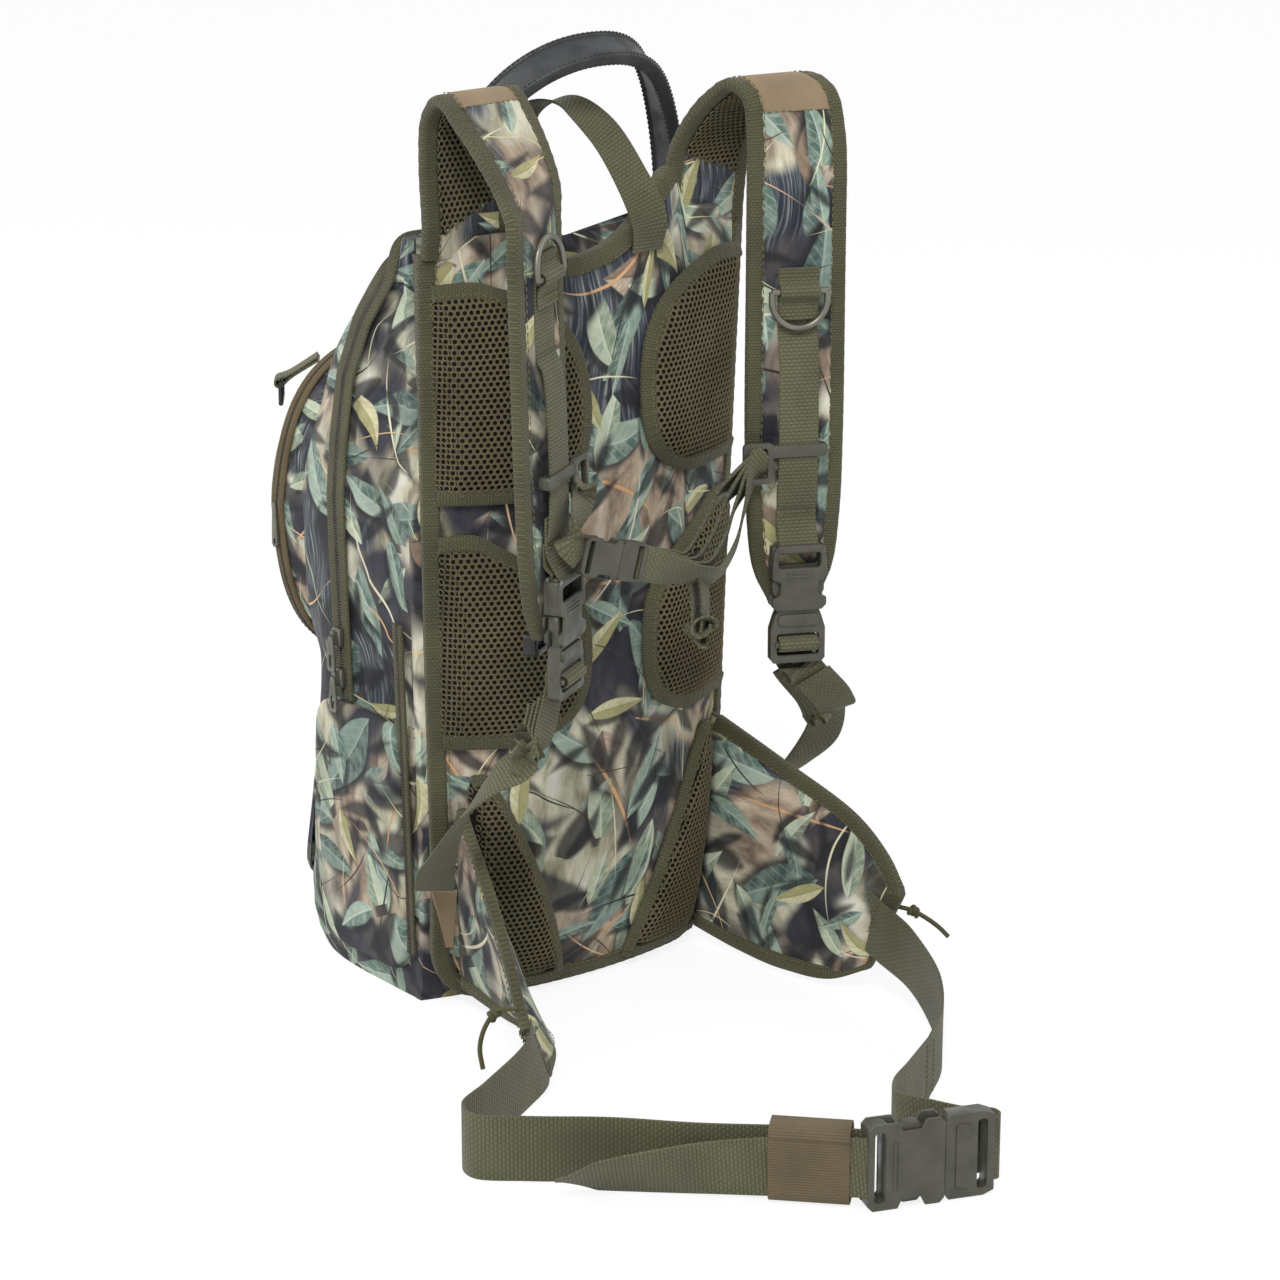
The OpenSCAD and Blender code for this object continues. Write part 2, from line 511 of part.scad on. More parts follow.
// Side-release buckle: socket hung from the webbing, tongue pushed up into it
slot_w = web_width + 2;
cave_w = buckle_width - 2 * buckle_wall - 4;
cave_t = buckle_thick - 2 * buckle_wall;
module socket(width, thick, length, cave, depth, top_z, slot) {
  difference() {
    translate([-width / 2, bar_y - thick / 2, top_z - length]) cube([width, thick, length]);
    translate([-cave / 2, bar_y - thick / 2 + buckle_wall, top_z - length - 1])
      cube([cave, thick - 2 * buckle_wall, depth + 1]);
    translate([-slot / 2, bar_y - thick / 2 - 1, top_z - bar_size - loop_out * 2 - 1])
      cube([slot, thick + 2, loop_out * 2 + 1]);
    for (s = [-1, 1]) translate([-slot / 2, bar_y + s * (thick / 2 + bar_size / 2) - thick / 2, top_z - bar_size - 1])
      cube([slot, thick, bar_size + 2]);
    for (s = [-1, 1]) translate([s * width / 2 - 5, bar_y - thick, top_z - length + 9])
      cube([10, 2 * thick, depth * 0.42]);
  }
}
cave_depth = socket_length - bar_size - 2 * loop_out - 4;
module shoulder_sockets() color("DimGray") {
  leg_left() socket(buckle_width, buckle_thick, socket_length, cave_w, cave_depth, buckle_top, slot_w);
  leg_right() socket(buckle_width, buckle_thick, socket_length, cave_w, cave_depth, buckle_top, slot_w);
}
tongue_top = buckle_top - socket_length - slide_fit;
ladder_slot = 5;
module tongue(width, thick, length, cave, reach, top_z, slot) {
  arm_t = thick - 2 * buckle_wall - 2 * slide_fit;
  difference() {
    translate([-width / 2, bar_y - thick / 2, top_z - length]) cube([width, thick, length]);
    for (z = [top_z - length + 5, top_z - length + 5 + ladder_slot + 4])
      translate([-slot / 2, bar_y - thick, z]) cube([slot, 2 * thick, ladder_slot]);
    translate([-slot / 2, bar_y - thick * 1.5 + 3, top_z - length + 4]) cube([slot, thick, ladder_slot * 2 + 6]);
  }
  for (s = [-1, 1]) translate([s * (cave / 2 - slide_fit - 2.5) - 2.5, bar_y - arm_t / 2, top_z - 1])
    cube([5, arm_t, reach + 1]);
  translate([-3, bar_y - arm_t / 2, top_z - 1]) cube([6, arm_t, reach * 0.8 + 1]);
}
tongue_reach = cave_depth - 2;
module shoulder_tongue() tongue(buckle_width, buckle_thick, tongue_length, cave_w, tongue_reach, tongue_top, slot_w);
module shoulder_tongue_left() color("Gray") leg_left() shoulder_tongue();
module shoulder_tongue_right() color("Gray") leg_right() shoulder_tongue();

// Plastic clips under the strap ends
clip_w = 18;
clip_z = strap_tip + 29;
module strap_clip(z) translate([4, strap_thick / 2 + fit, z]) {
  translate([-clip_w / 2, 0, -34]) cube([clip_w, 5, 40]);
  translate([-clip_w / 2, 0, -46]) difference() {
    cube([clip_w, 9, 12]);
    translate([4, -1, 3]) cube([clip_w - 8, 11, 5]);
  }
}
module strap_clips() color("Black") {
  leg_left() strap_clip(clip_z);
  leg_right() strap_clip(clip_z);
}

// Adjuster webbing from the buckle tongue to the foot of the panel
low_z = tongue_top - tongue_length + 7;
anchor_z = 62;
anchor_half = half(anchor_z) - 3;
anchor_y = face(anchor_half, anchor_z) - 0.9;
adj_start = bar_y + buckle_thick / 2 + 1.6;
left_adj = run([[leg_pt(-1, 0, adj_start, low_z + 10), leg_dir(-1)], [leg_pt(-1, 0, adj_start + 1, low_z - 4), leg_dir(-1)],
  [[-106, -98, 197], [0.8, 0.3, 0.5]], [[-128, -90, 182], [0.75, 0.3, 0.6]], [[-142, -76, 160], [0.85, 0.3, 0.4]],
  [[-144, -58, 134], [0.95, 0.2, 0.1]], [[-135, -34, 110], [0.95, -0.1, -0.1]],
  [[-anchor_half - 7, anchor_y - 3.5, anchor_z + 22], [0.88, -0.47, -0.1]]], 3);
right_adj = run([[leg_pt(1, 0, adj_start, low_z + 10), leg_dir(1)], [leg_pt(1, 0, adj_start + 1, low_z - 4), leg_dir(1)],
  [[124, -92, 190], [0.86, -0.42, 0.28]], [[140, -80, 170], [0.86, -0.42, 0.28]], [[150, -62, 146], [0.9, -0.4, -0.1]],
  [[148, -42, 124], [0.95, 0, -0.1]], [[136, -24, 104], [0.92, 0.25, 0.1]],
  [[anchor_half + 7, anchor_y - 3.5, anchor_z + 22], [0.88, 0.47, 0.1]]], 3);
module adjuster_left() color("Olive") at_pack() strip(left_adj, web_width, web_thick);
module adjuster_right() color("Olive") at_pack() strip(right_adj, web_width, web_thick);

// Three-cornered tabs that hold the adjusters at the panel foot
module base_anchor(s) {
  g = function(back) [for (v = [0, 0.5, 1]) [for (u = [0, 0.5, 1])
    let (q = s > 0 ? u : 1 - u, x = s * (anchor_half - 7 + q * (4 + 10 * v)), z = anchor_z - 20 + v * 40)
    [x, face(x, z) - 0.9 - 1.2 * v * v - back, z]]];
  skin(g(web_thick), g(0));
}
module base_anchors() color("Tan") at_pack() {
  base_anchor(-1);
  base_anchor(1);
}

// Sternum strap: sliders on both straps, webbing and its small buckle
guide_in = web_out - stand_off;
guide_w = web_width + 3.6;
guide_h = 12;
guide_wall = 1.5;
module sternum_slider(hook) difference() {
  translate([-guide_w / 2 - 4, guide_in - 5, slider_height - guide_h / 2])
    cube([guide_w + 8, 5 + stand_off + web_thick - 0.8, guide_h]);
  translate([-guide_w / 2, guide_in - 0.9, slider_height - guide_h])
    cube([guide_w, web_thick + 1.8, 2 * guide_h]);
}
module sternum_sliders() color("Silver") {
  leg_left() sternum_slider(1);
  leg_right() sternum_slider(-1);
}
small_w = 24;
small_t = 9;
small_socket = 26;
small_tongue = 18;
small_web = 20;
st_z = 312;
st_y = -leg_y - 23;
st_x = -57;
st_turn = -6;
st_slope = 14;
module sternum_frame() at_pack() translate([st_x, st_y, st_z]) rotate([0, st_slope, st_turn]) children();
function st_pt(x, y, z) = let (a = st_turn, b = st_slope, X = x * cos(b) + z * sin(b), Z = z * cos(b) - x * sin(b))
  [st_x + X * cos(a) - y * sin(a), st_y + X * sin(a) + y * cos(a), st_z + Z];
st_up = [sin(st_slope), 0, cos(st_slope)];
module sternum_socket() color("DimGray") sternum_frame() difference() {
  translate([-small_socket, -small_t / 2, -small_w / 2]) cube([small_socket, small_t, small_w]);
  translate([-small_socket + 8, -small_t / 2 + 1.6, -small_w / 2 + 3]) cube([small_socket, small_t - 3.2, small_w - 6]);
  translate([-small_socket + 2.5, -small_t, -small_web / 2 - 0.5]) cube([4, 2 * small_t, small_web + 1]);
}
small_reach = small_socket - 8 - 1.5;
module sternum_tongue() color("Gray") sternum_frame() {
  difference() {
    translate([slide_fit, -small_t / 2, -small_w / 2]) cube([small_tongue, small_t, small_w]);
    translate([slide_fit + small_tongue - 7, -small_t, -small_web / 2 - 0.5]) cube([4, 2 * small_t, small_web + 1]);
  }
  for (s = [-1, 0, 1]) translate([-small_reach, -small_t / 2 + 1.6 + slide_fit, s * (small_w / 2 - 3 - slide_fit - 1.8) - 1.8])
    cube([small_reach + 1, small_t - 3.2 - 2 * slide_fit, 3.6]);
}
st_left = run([[leg_pt(-1, guide_w / 2 + 5.6, guide_in - 2, slider_height - 2), [0.3, -0.2, -0.94]],
  [leg_pt(-1, guide_w / 2 + 12, guide_in - 5, slider_height - 16), [0.5, -0.2, -0.85]],
  [st_pt(-small_socket - 9, 0.5, 8), [0.5, 0, 0.86] * -1], [st_pt(-small_socket - 0.8, 0, 0), -st_up]], 3);
module sternum_webbing_left() color("Olive") at_pack() strip(st_left, small_web, web_thick);
st_right = run([[st_pt(small_tongue + slide_fit + 0.8, 0, 0), -st_up], [st_pt(small_tongue + 14, 1, -2), -st_up],
  [[6, -110, 292], [-0.1, 0, -1]], [[29, -103, 288], [0.3, 0, -0.95]], [[46, -98, 300], [0.7, 0, -0.7]],
  [[55, -96, 321], [0.8, 0, -0.6]],
  [leg_pt(1, -guide_w / 2 - 14, guide_in - 1, slider_height - 8), [0.5, 0, -0.86]],
  [leg_pt(1, -guide_w / 2 - 5.4, guide_in - 2, slider_height - 2), [0.3, 0, -0.95]]], 3);
module sternum_webbing_right() color("Olive") at_pack() strip(st_right, small_web, web_thick);

// Hip fins from top and bottom rails
fin_root = 0.9;
function fin_foot(x, z) = [x, face(x, z) - fin_root, z];
right_fin = [[fin_foot(104, 158), fin_foot(94, 12)], [[116, -66, 136], [98, -46, 6]], [[126, -126, 113], [100, -92, 6]],
  [[128, -154, 93], [109, -124, 8]], [[128, -169, 75], [124, -143, 17]]];
left_fin = [[fin_foot(-100, 140), fin_foot(-93, 14)], [[-117, -64, 102], [-90, -44, 6]], [[-131, -103, 73], [-93, -79, 6]],
  [[-142, -131, 51], [-105, -111, 6]], [[-147, -145, 41], [-130, -140, 8]]];
fin_rows = [0, 0.07, 0.25, 0.5, 0.75, 0.93, 1];
fin_lift = [0.3, 0.75, 1, 1, 1, 0.75, 0.3];
function fin_line(rails) = smooth([for (r = rails) concat(r[0], r[1])], 3);
function fin_grid(rails, s) = let (L = fin_line(rails), n = len(L) - 1) [for (i = [0 : n])
  let (a = [L[i][0], L[i][1], L[i][2]], b = [L[i][3], L[i][4], L[i][5]], p = at(L, i - 1), q = at(L, i + 1),
    t = unit([q[0] + q[3] - p[0] - p[3], q[1] + q[4] - p[1] - p[4], q[2] + q[5] - p[2] - p[5]]),
    nn = unit(cross(b - a, t)), e = i == n ? 0.4 : i == 0 ? 0.24 : i == 1 ? 0.6 : 1)
  [for (j = [0 : len(fin_rows) - 1]) let (m = mix(a, b, fin_rows[j]), c = fin_rows[j],
      y = i == 0 ? face(m[0], m[2]) - fin_root - 3.2 * c * (1 - c) : m[1])
    [m[0], y, m[2]] + nn * s * fin_thick / 2 * fin_lift[j] * e]];
module hip_fin(rails) skin(fin_grid(rails, 1), fin_grid(rails, -1));
module hip_fin_left() color("MediumSeaGreen") at_pack() hip_fin(left_fin);
module hip_fin_right() color("MediumSeaGreen") at_pack() hip_fin(right_fin);

// Cord pulls knotted through the fin ends
right_cord = smooth([[130, -161.5, 62.5], [139, -166, 59], [146, -171, 54], [152, -177, 48], [156, -182, 42]], 2);
left_cord = smooth([[-144, -130.3, 52.4], [-152, -121, 50], [-157, -115, 39], [-159, -112, 25], [-157, -112, 11]], 2);
module fin_cord(list) {
  cord(list, cord_dia);
  translate(list[2]) sphere(d = cord_dia * 2.4, $fn = 24);
}
module fin_cord_right() color("Olive") at_pack() fin_cord(right_cord);
module fin_cord_left() color("Olive") at_pack() fin_cord(left_cord);

// Hip belt on the floor with its buckle standing on edge
hip_x = -52;
hip_y = -395;
hip_turn = -20;
module hip_frame() at_pack() translate([hip_x, hip_y, hip_height / 2 + 0.4]) rotate([0, 0, hip_turn]) children();
function hip_pt(x, y, z) = [hip_x + x * cos(hip_turn) - y * sin(hip_turn),
  hip_y + x * sin(hip_turn) + y * cos(hip_turn), hip_height / 2 + 0.4 + z];
hip_slot = belt_width + 2;
hip_cave = hip_height - 2 * buckle_wall - 6;
hip_left = -hip_socket_length + 6;
module hip_socket() color("DimGray") hip_frame() difference() {
  translate([hip_left, -hip_thick / 2, -hip_height / 2]) cube([hip_socket_length, hip_thick, hip_height]);
  translate([hip_left + 14, -hip_thick / 2 + buckle_wall, -hip_cave / 2])
    cube([hip_socket_length, hip_thick - 2 * buckle_wall, hip_cave]);
  translate([hip_left + 4, -hip_thick, -hip_slot / 2]) cube([6, 2 * hip_thick, hip_slot]);
  for (s = [-1, 1]) translate([hip_left + 20, -hip_thick, s * hip_height / 2 - 6]) cube([14, 2 * hip_thick, 12]);
}
hip_reach = hip_socket_length - 14 - 2;
module hip_tongue() color("Gray") hip_frame() {
  arm = hip_thick - 2 * buckle_wall - 2 * slide_fit;
  difference() {
    translate([6 + slide_fit, -hip_thick / 2, -hip_height / 2]) cube([hip_tongue_length, hip_thick, hip_height]);
    translate([6 + hip_tongue_length - 10, -hip_thick, -hip_slot / 2]) cube([6, 2 * hip_thick, hip_slot]);
  }
  for (s = [-1, 1]) translate([6 - hip_reach, -arm / 2, s * (hip_cave / 2 - slide_fit - 3.5) - 3.5])
    cube([hip_reach + 1.5, arm, 7]);
  translate([6 - hip_reach * 0.8, -arm / 2, -4]) cube([hip_reach * 0.8 + 1.5, arm, 8]);
}
up = [0, 0, 1];
belt_z = belt_width / 2 + 0.6;
left_belt = run([[[-141, -147, 25], [-0.3, 0, 0.95]], [[-160, -160, 23], [-0.1, 0, 1]], [[-206, -184, belt_z], up],
  [[-234, -200, belt_z], up], [[-238, -216, belt_z], up], [[-216, -238, belt_z], up], [[-180, -268, belt_z], up],
  [[-146, -304, belt_z], up], [[-116, -334, belt_z + 1], up], [[-102, -356, belt_z + 4], up],
  [hip_pt(hip_left - 0.8, 3.6, 0), up]], 3);
module hip_belt_left() color("Olive") at_pack() strip(left_belt, belt_width, web_thick);
sewn = [40, -292, belt_z];
right_belt = run([[[126, -161, 46], [0, -0.4, 0.9]], [[117, -190, 40], [0, 0, 1]], [[98, -234, 30], [0.05, 0, 1]],
  [[72, -268, belt_z + 2], up], [sewn + [0.3, 0, 0], up]], 3);
module hip_belt_right() color("Olive") at_pack() strip(right_belt, belt_width, web_thick);
belt_end = run([[sewn - [0.3, 0, 0], up], [[6, -312, belt_z], up], [[-18, -326, belt_z], up], [[-32, -344, belt_z + 2], up],
  [[-30, -366, belt_z + 5], up], [hip_pt(30, 13, 0), up], [hip_pt(41, 9, 0), up], [hip_pt(42, 2, 0), up],
  [hip_pt(6 + hip_tongue_length + slide_fit + 0.9, 0, 0), up]], 3);
module hip_belt_end() color("Olive") at_pack() strip(belt_end, belt_width, web_thick);
tail = run([[hip_pt(hip_left - 0.8, -4.4, 0), up], [[-104, -364, belt_z + 3], up], [[-120, -346, belt_z + 1], up],
  [[-150, -318, belt_z - 1.5], [-0.15, -0.15, 0.95]], [[-184, -292, belt_z - 4.5], [-0.35, -0.35, 0.8]],
  [[-218, -266, belt_z - 9], [-0.5, -0.5, 0.5]]], 3);
module hip_tail() color("Olive") at_pack() strip(tail, belt_width - 4, web_thick);

// Elastic keeper round belt and tail
keep_a = [-106, -352, belt_z + 3];
keep_dir = atan2(30, -28);
module hip_keeper() color("Tan") at_pack() translate(keep_a) rotate([0, 0, keep_dir]) difference() {
  translate([-15, -11, -belt_width / 2 - 3.3]) cube([34, 22, belt_width + 7]);
  translate([-20, -9.6, -belt_width / 2 - 2.2]) cube([44, 19.2, belt_width + 4.6]);
}

// Carry handle: a flat strip bent to an arch, feet behind the neck
handle_foot = [0, 8, pack_height + 1.3];
handle_route = run([for (a = [0 : 15 : 180]) let (s = sin(a), c = cos(a))
  [[handle_half * sign(c) * pow(abs(c), 0.8), handle_foot[1] - 32 * pow(s, 3), handle_foot[2] + handle_rise * pow(s, 0.8)],
   [0, 1, 0.25 * s]]], 2);
module carry_handle() color("DimGray") at_pack() strip(handle_route, handle_width, handle_thick);

// Webbing loop from the neck to the bag top
haul = run([[[31, face(31, neck_height - 2) - 1.9, neck_height - 2], [0.9, 0.05, 0.4]],
  [[31, face(31, neck_height) - 4.5, neck_height + 16], [0.9, -0.1, 0.4]],
  [[22, -27, pack_height + 26], [0.9, 0.1, 0.4]], [[8, -14, pack_height + 56], [0.9, 0.2, 0.3]],
  [[-8, 0, pack_height + 71], [0.9, 0.3, 0]],
  [[-24, 16, pack_height + 68], [0.9, 0.3, -0.2]], [[-34, 35, pack_height + 31], [0.95, 0.1, -0.2]],
  [[-36, 47, pack_height - 14.4], [1, 0, 0]]], 3);
module haul_loop() color("Olive") at_pack() strip(haul, web_width, web_thick);

// Zip sliders and pulls on the left side
slider_len = 13;
slider_high = 5;
side_in = 0.9935;
upper_at = 36;
lower_at = 9;
pull_len = 22;
module zip_frame(up_at) at_pack()
  translate([-half(zip_foot) * side_in - fit - zip_thick - 0.4, zip_y + zip_gap / 2, zip_foot])
    rotate([0, -side_lean, 0]) translate([0, 0, up_at]) children();
module zip_slider() {
  translate([-slider_high + 1.4, -4.5, 0]) cube([slider_high - 1.4, 9, slider_len]);
  translate([-slider_high - 1.6, -2, 4]) difference() {
    cube([3.4, 4, slider_len - 6]);
    translate([1, -1, 1.6]) cube([2.4, 6, 2.8]);
  }
}
module zip_slider_upper() color("Gray") zip_frame(upper_at) zip_slider();
module zip_slider_lower() color("Gray") zip_frame(lower_at) zip_slider();
pull_t = 1.6;
module zip_pull(len) translate([-slider_high - 1.6 + 1.7, 0, 7]) {
  difference() {
    translate([-pull_t - 1.8, -4, -len]) cube([pull_t, 8, len + 1.2]);
    translate([-pull_t - 3, -2.4, -3.4]) cube([pull_t + 3, 4.8, 3.2]);
  }
}
module zip_pull_upper() color("Silver") zip_frame(upper_at) zip_pull(pull_len);
module zip_pull_lower() color("Silver") zip_frame(lower_at) zip_pull(pull_len);

// Pulls of the front pockets
front_pull_z = pocket_mid;
module front_pull() color("Silver") at_pack()
  translate([-pocket_width / 2 - fit - zip_thick - 0.4, front(pocket_mid) + pocket_bulge - 32, front_pull_z])
    translate([-1.6, -3, -28]) cube([1.6, 6, 30]);
lower_pull_z = lower_mid + lower_height / 2 - 46;
lower_pull_len = 26;
lower_slope = atan((front(lower_pull_z - lower_pull_len) - front(lower_pull_z)) / lower_pull_len);
module lower_pull() color("SaddleBrown") at_pack()
  translate([-lower_width / 2 + 12, front(lower_pull_z) + pocket_pad + 0.9, lower_pull_z])
    rotate([lower_slope, 0, 0]) translate([-3, 0, -lower_pull_len]) cube([6, 1.6, lower_pull_len + 1]);

// Lash tab with its ring high on the front pocket
lash_x = -61 / 194 * pocket_width;
lash_z = pocket_mid + pocket_height * 0.43;
lash_y = front(pocket_mid) + pocket_bulge - 30;
lash_turn = 55;
lash_tilt = -32;
lash_w = 17;
lash_len = 30;
lash_r = 1.6;
module lash_frame() at_pack() translate([lash_x, lash_y, lash_z]) rotate([lash_tilt, 0, lash_turn]) children();
module lash_tab() color("Olive") lash_frame() difference() {
  union() {
    translate([-lash_w / 2, 0, -1.2]) cube([lash_w, lash_len, 2.4]);
    translate([0, lash_len, 0]) rotate([0, 90, 0]) cylinder(h = lash_w, r = lash_r + 1.8, center = true, $fn = 32);
  }
  translate([0, lash_len, 0]) rotate([0, 90, 0]) cylinder(h = lash_w + 2, r = lash_r + 0.4, center = true, $fn = 32);
}
module lash_ring() color("Black") lash_frame() translate([0, lash_len, 0]) rotate([-lash_tilt, 0, 0]) {
  for (z = [0, -12]) translate([0, 0, z]) rotate([0, 90, 0]) cylinder(h = lash_w + 7.4, r = lash_r, center = true, $fn = 24);
  for (x = [-1, 1]) translate([x * (lash_w / 2 + 3.7 - lash_r), 0, -12]) cylinder(h = 12, r = lash_r, $fn = 24);
}

main_bag();
back_panel();
frame_sheet();
panel_binding();
pad_upper_left();
pad_upper_right();
pad_middle_left();
pad_middle_right();
pad_lumbar_left();
pad_lumbar_right();
hydration_sleeve();
main_zip_rear();
side_pocket_left();
side_pocket_right();
lower_pocket();
lower_pull();
haul_loop();
base_anchors();
main_lid();
main_zip_front();
front_pocket();
front_zip();
front_pull();
lash_tab();
lash_ring();
zip_slider_upper();
zip_slider_lower();
zip_pull_upper();
zip_pull_lower();
carry_handle();
yoke_left();
yoke_right();
strap_left();
strap_right();
strap_webbing_left();
strap_webbing_right();
d_ring_left();
d_ring_right();
shoulder_sockets();
strap_clips();
shoulder_tongue_left();
shoulder_tongue_right();
adjuster_left();
adjuster_right();
sternum_sliders();
sternum_webbing_left();
sternum_webbing_right();
sternum_socket();
sternum_tongue();
hip_fin_left();
hip_fin_right();
fin_cord_left();
fin_cord_right();
hip_belt_left();
hip_belt_right();
hip_belt_end();
hip_tail();
hip_keeper();
hip_socket();
hip_tongue();
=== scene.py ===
"""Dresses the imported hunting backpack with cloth, webbing, mesh pads and moulded hardware."""
from __future__ import annotations

import json
import logging
import math
from dataclasses import dataclass, field
from enum import Enum
from functools import cached_property
from typing import Callable, Sequence

import bmesh
import bpy
import numpy as np
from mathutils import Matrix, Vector, noise
from mathutils.geometry import tessellate_polygon

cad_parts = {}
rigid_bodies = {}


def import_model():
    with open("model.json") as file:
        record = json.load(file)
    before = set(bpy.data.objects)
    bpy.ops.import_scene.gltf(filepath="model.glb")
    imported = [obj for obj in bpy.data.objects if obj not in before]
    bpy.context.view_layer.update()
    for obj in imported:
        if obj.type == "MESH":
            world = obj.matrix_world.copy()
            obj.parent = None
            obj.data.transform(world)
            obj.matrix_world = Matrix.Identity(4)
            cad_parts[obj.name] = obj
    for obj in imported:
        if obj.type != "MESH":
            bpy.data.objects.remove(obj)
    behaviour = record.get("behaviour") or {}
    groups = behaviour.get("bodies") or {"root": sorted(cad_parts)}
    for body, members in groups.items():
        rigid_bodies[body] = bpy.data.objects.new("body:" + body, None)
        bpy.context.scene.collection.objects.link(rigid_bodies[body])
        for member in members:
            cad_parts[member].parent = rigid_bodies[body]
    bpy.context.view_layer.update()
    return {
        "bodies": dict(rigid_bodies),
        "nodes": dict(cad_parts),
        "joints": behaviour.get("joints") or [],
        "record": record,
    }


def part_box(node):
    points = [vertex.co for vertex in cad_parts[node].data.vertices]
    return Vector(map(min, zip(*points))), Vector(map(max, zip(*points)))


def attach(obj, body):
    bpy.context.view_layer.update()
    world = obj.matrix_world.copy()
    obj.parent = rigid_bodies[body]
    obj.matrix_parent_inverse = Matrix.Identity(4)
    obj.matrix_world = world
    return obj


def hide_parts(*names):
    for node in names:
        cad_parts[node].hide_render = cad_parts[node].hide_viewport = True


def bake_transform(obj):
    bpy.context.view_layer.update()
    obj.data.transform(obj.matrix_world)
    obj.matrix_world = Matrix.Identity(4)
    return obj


LOG = logging.getLogger("backpack")
MM = 0.001
FIT_Y = -92.0
Point = Sequence[float]
Array = np.ndarray
Faces = list[tuple[int, ...]]
Outline = Sequence[tuple[float, float]]
Material = bpy.types.Material
Node = bpy.types.Node
Socket = bpy.types.NodeSocket
Thing = bpy.types.Object
Tree = bpy.types.NodeTree
LEFT = -1
RIGHT = 1
SIDES = {LEFT: "left", RIGHT: "right"}
SLIDER = 353.0
MESH_PITCH = 3.9
MESH_ROW = MESH_PITCH * 0.866
MESH_CELL = MESH_PITCH * 0.54
MESH_YARN = 0.64
COIL_PITCH = 1.9
COIL_LONG = 1.5
USUAL = {
    "camo": ("camo", 40.0), "webbing": ("webbing", 60.0), "binding": ("webbing", 60.0),
    "zip_tape": ("zip_brown", 60.0), "tan": ("tan", 40.0), "elastic": ("tan", 60.0),
    "lining": ("lining", 40.0), "foam": ("mesh", 40.0), "cord": ("cord", 40.0),
    "plastic": ("plastic", 35.0), "clip": ("plastic", 35.0), "metal": ("metal", 35.0),
    "rubber": ("rubber", 50.0),
}


class Body(str, Enum):
    """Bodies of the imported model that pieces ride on."""

    PACK = "pack"
    LID = "lid"
    FRONT_POCKET = "front_pocket"
    FRONT_PULL = "front_pull"
    LOWER_PULL = "lower_pull"
    HANDLE = "handle"
    HARNESS = "harness"
    STERNUM = "sternum"
    STERNUM_TONGUE = "sternum_tongue"
    FIN_LEFT = "fin_left"
    FIN_RIGHT = "fin_right"
    HIP_TONGUE = "hip_tongue"


def srgb(code: str) -> tuple[float, float, float, float]:
    """Turns a hex colour into linear values.

    Args:
        code: Six hex digits.
    Returns:
        Linear red, green, blue and full alpha.
    """
    parts = [int(code[i:i + 2], 16) / 255 for i in (0, 2, 4)]
    lin = [c / 12.92 if c <= 0.04045 else ((c + 0.055) / 1.055) ** 2.4 for c in parts]
    return (lin[0], lin[1], lin[2], 1.0)


def unit(v: Array) -> Array:
    """Scales vectors to length one."""
    v = np.asarray(v, float)
    return v / np.maximum(np.linalg.norm(v, axis=-1, keepdims=True), 1e-9)


def to_part(p: Array) -> Array:
    """Moves points from the fitting frame in millimetres to the part frame in metres."""
    return (np.asarray(p, float) + np.array([0.0, FIT_Y, 0.0])) * MM


def xyz(x: object, y: object, z: object) -> Array:
    """Stacks coordinates into points, stretching single numbers."""
    return np.stack(np.broadcast_arrays(*(np.asarray(v, float) for v in (x, y, z))), axis=-1)


def lengths(p: Array) -> Array:
    """Gives the running length along a line of points."""
    return np.concatenate([[0.0], np.cumsum(np.linalg.norm(np.diff(p, axis=0), axis=1))])


def pick(line: Array, run: Array, want: Array) -> Array:
    """Rows of a line at wanted lengths, given its running length."""
    return np.stack([np.interp(want, run, column) for column in line.T], axis=-1)


def resample(line: Array, count: int) -> Array:
    """Spaces points evenly along a line, with any further columns carried along."""
    run = lengths(line[:, :3])
    return pick(line, run, np.linspace(0, run[-1], count))


def tangents(path: Array, closed: bool = False) -> Array:
    """Directions along a line or a loop."""
    return unit(np.roll(path, -1, 0) - np.roll(path, 1, 0)) if closed else unit(np.gradient(path, axis=0))


def squared(wide: Array, t: Array) -> Array:
    """Turns width directions square to a line's direction."""
    return unit(wide - np.sum(wide * t, axis=1, keepdims=True) * t)


def link(name: str, data: bpy.types.ID) -> Thing:
    """Puts a new object into the scene."""
    obj = bpy.data.objects.new(name, data)
    bpy.context.scene.collection.objects.link(obj)
    return obj


def aim(obj: Thing, place: Point, target: Point) -> None:
    """Sets a camera or lamp in its place and turns it to a target."""
    obj.location = place
    obj.rotation_euler = (Vector(target) - Vector(place)).to_track_quat("-Z", "Y").to_euler()


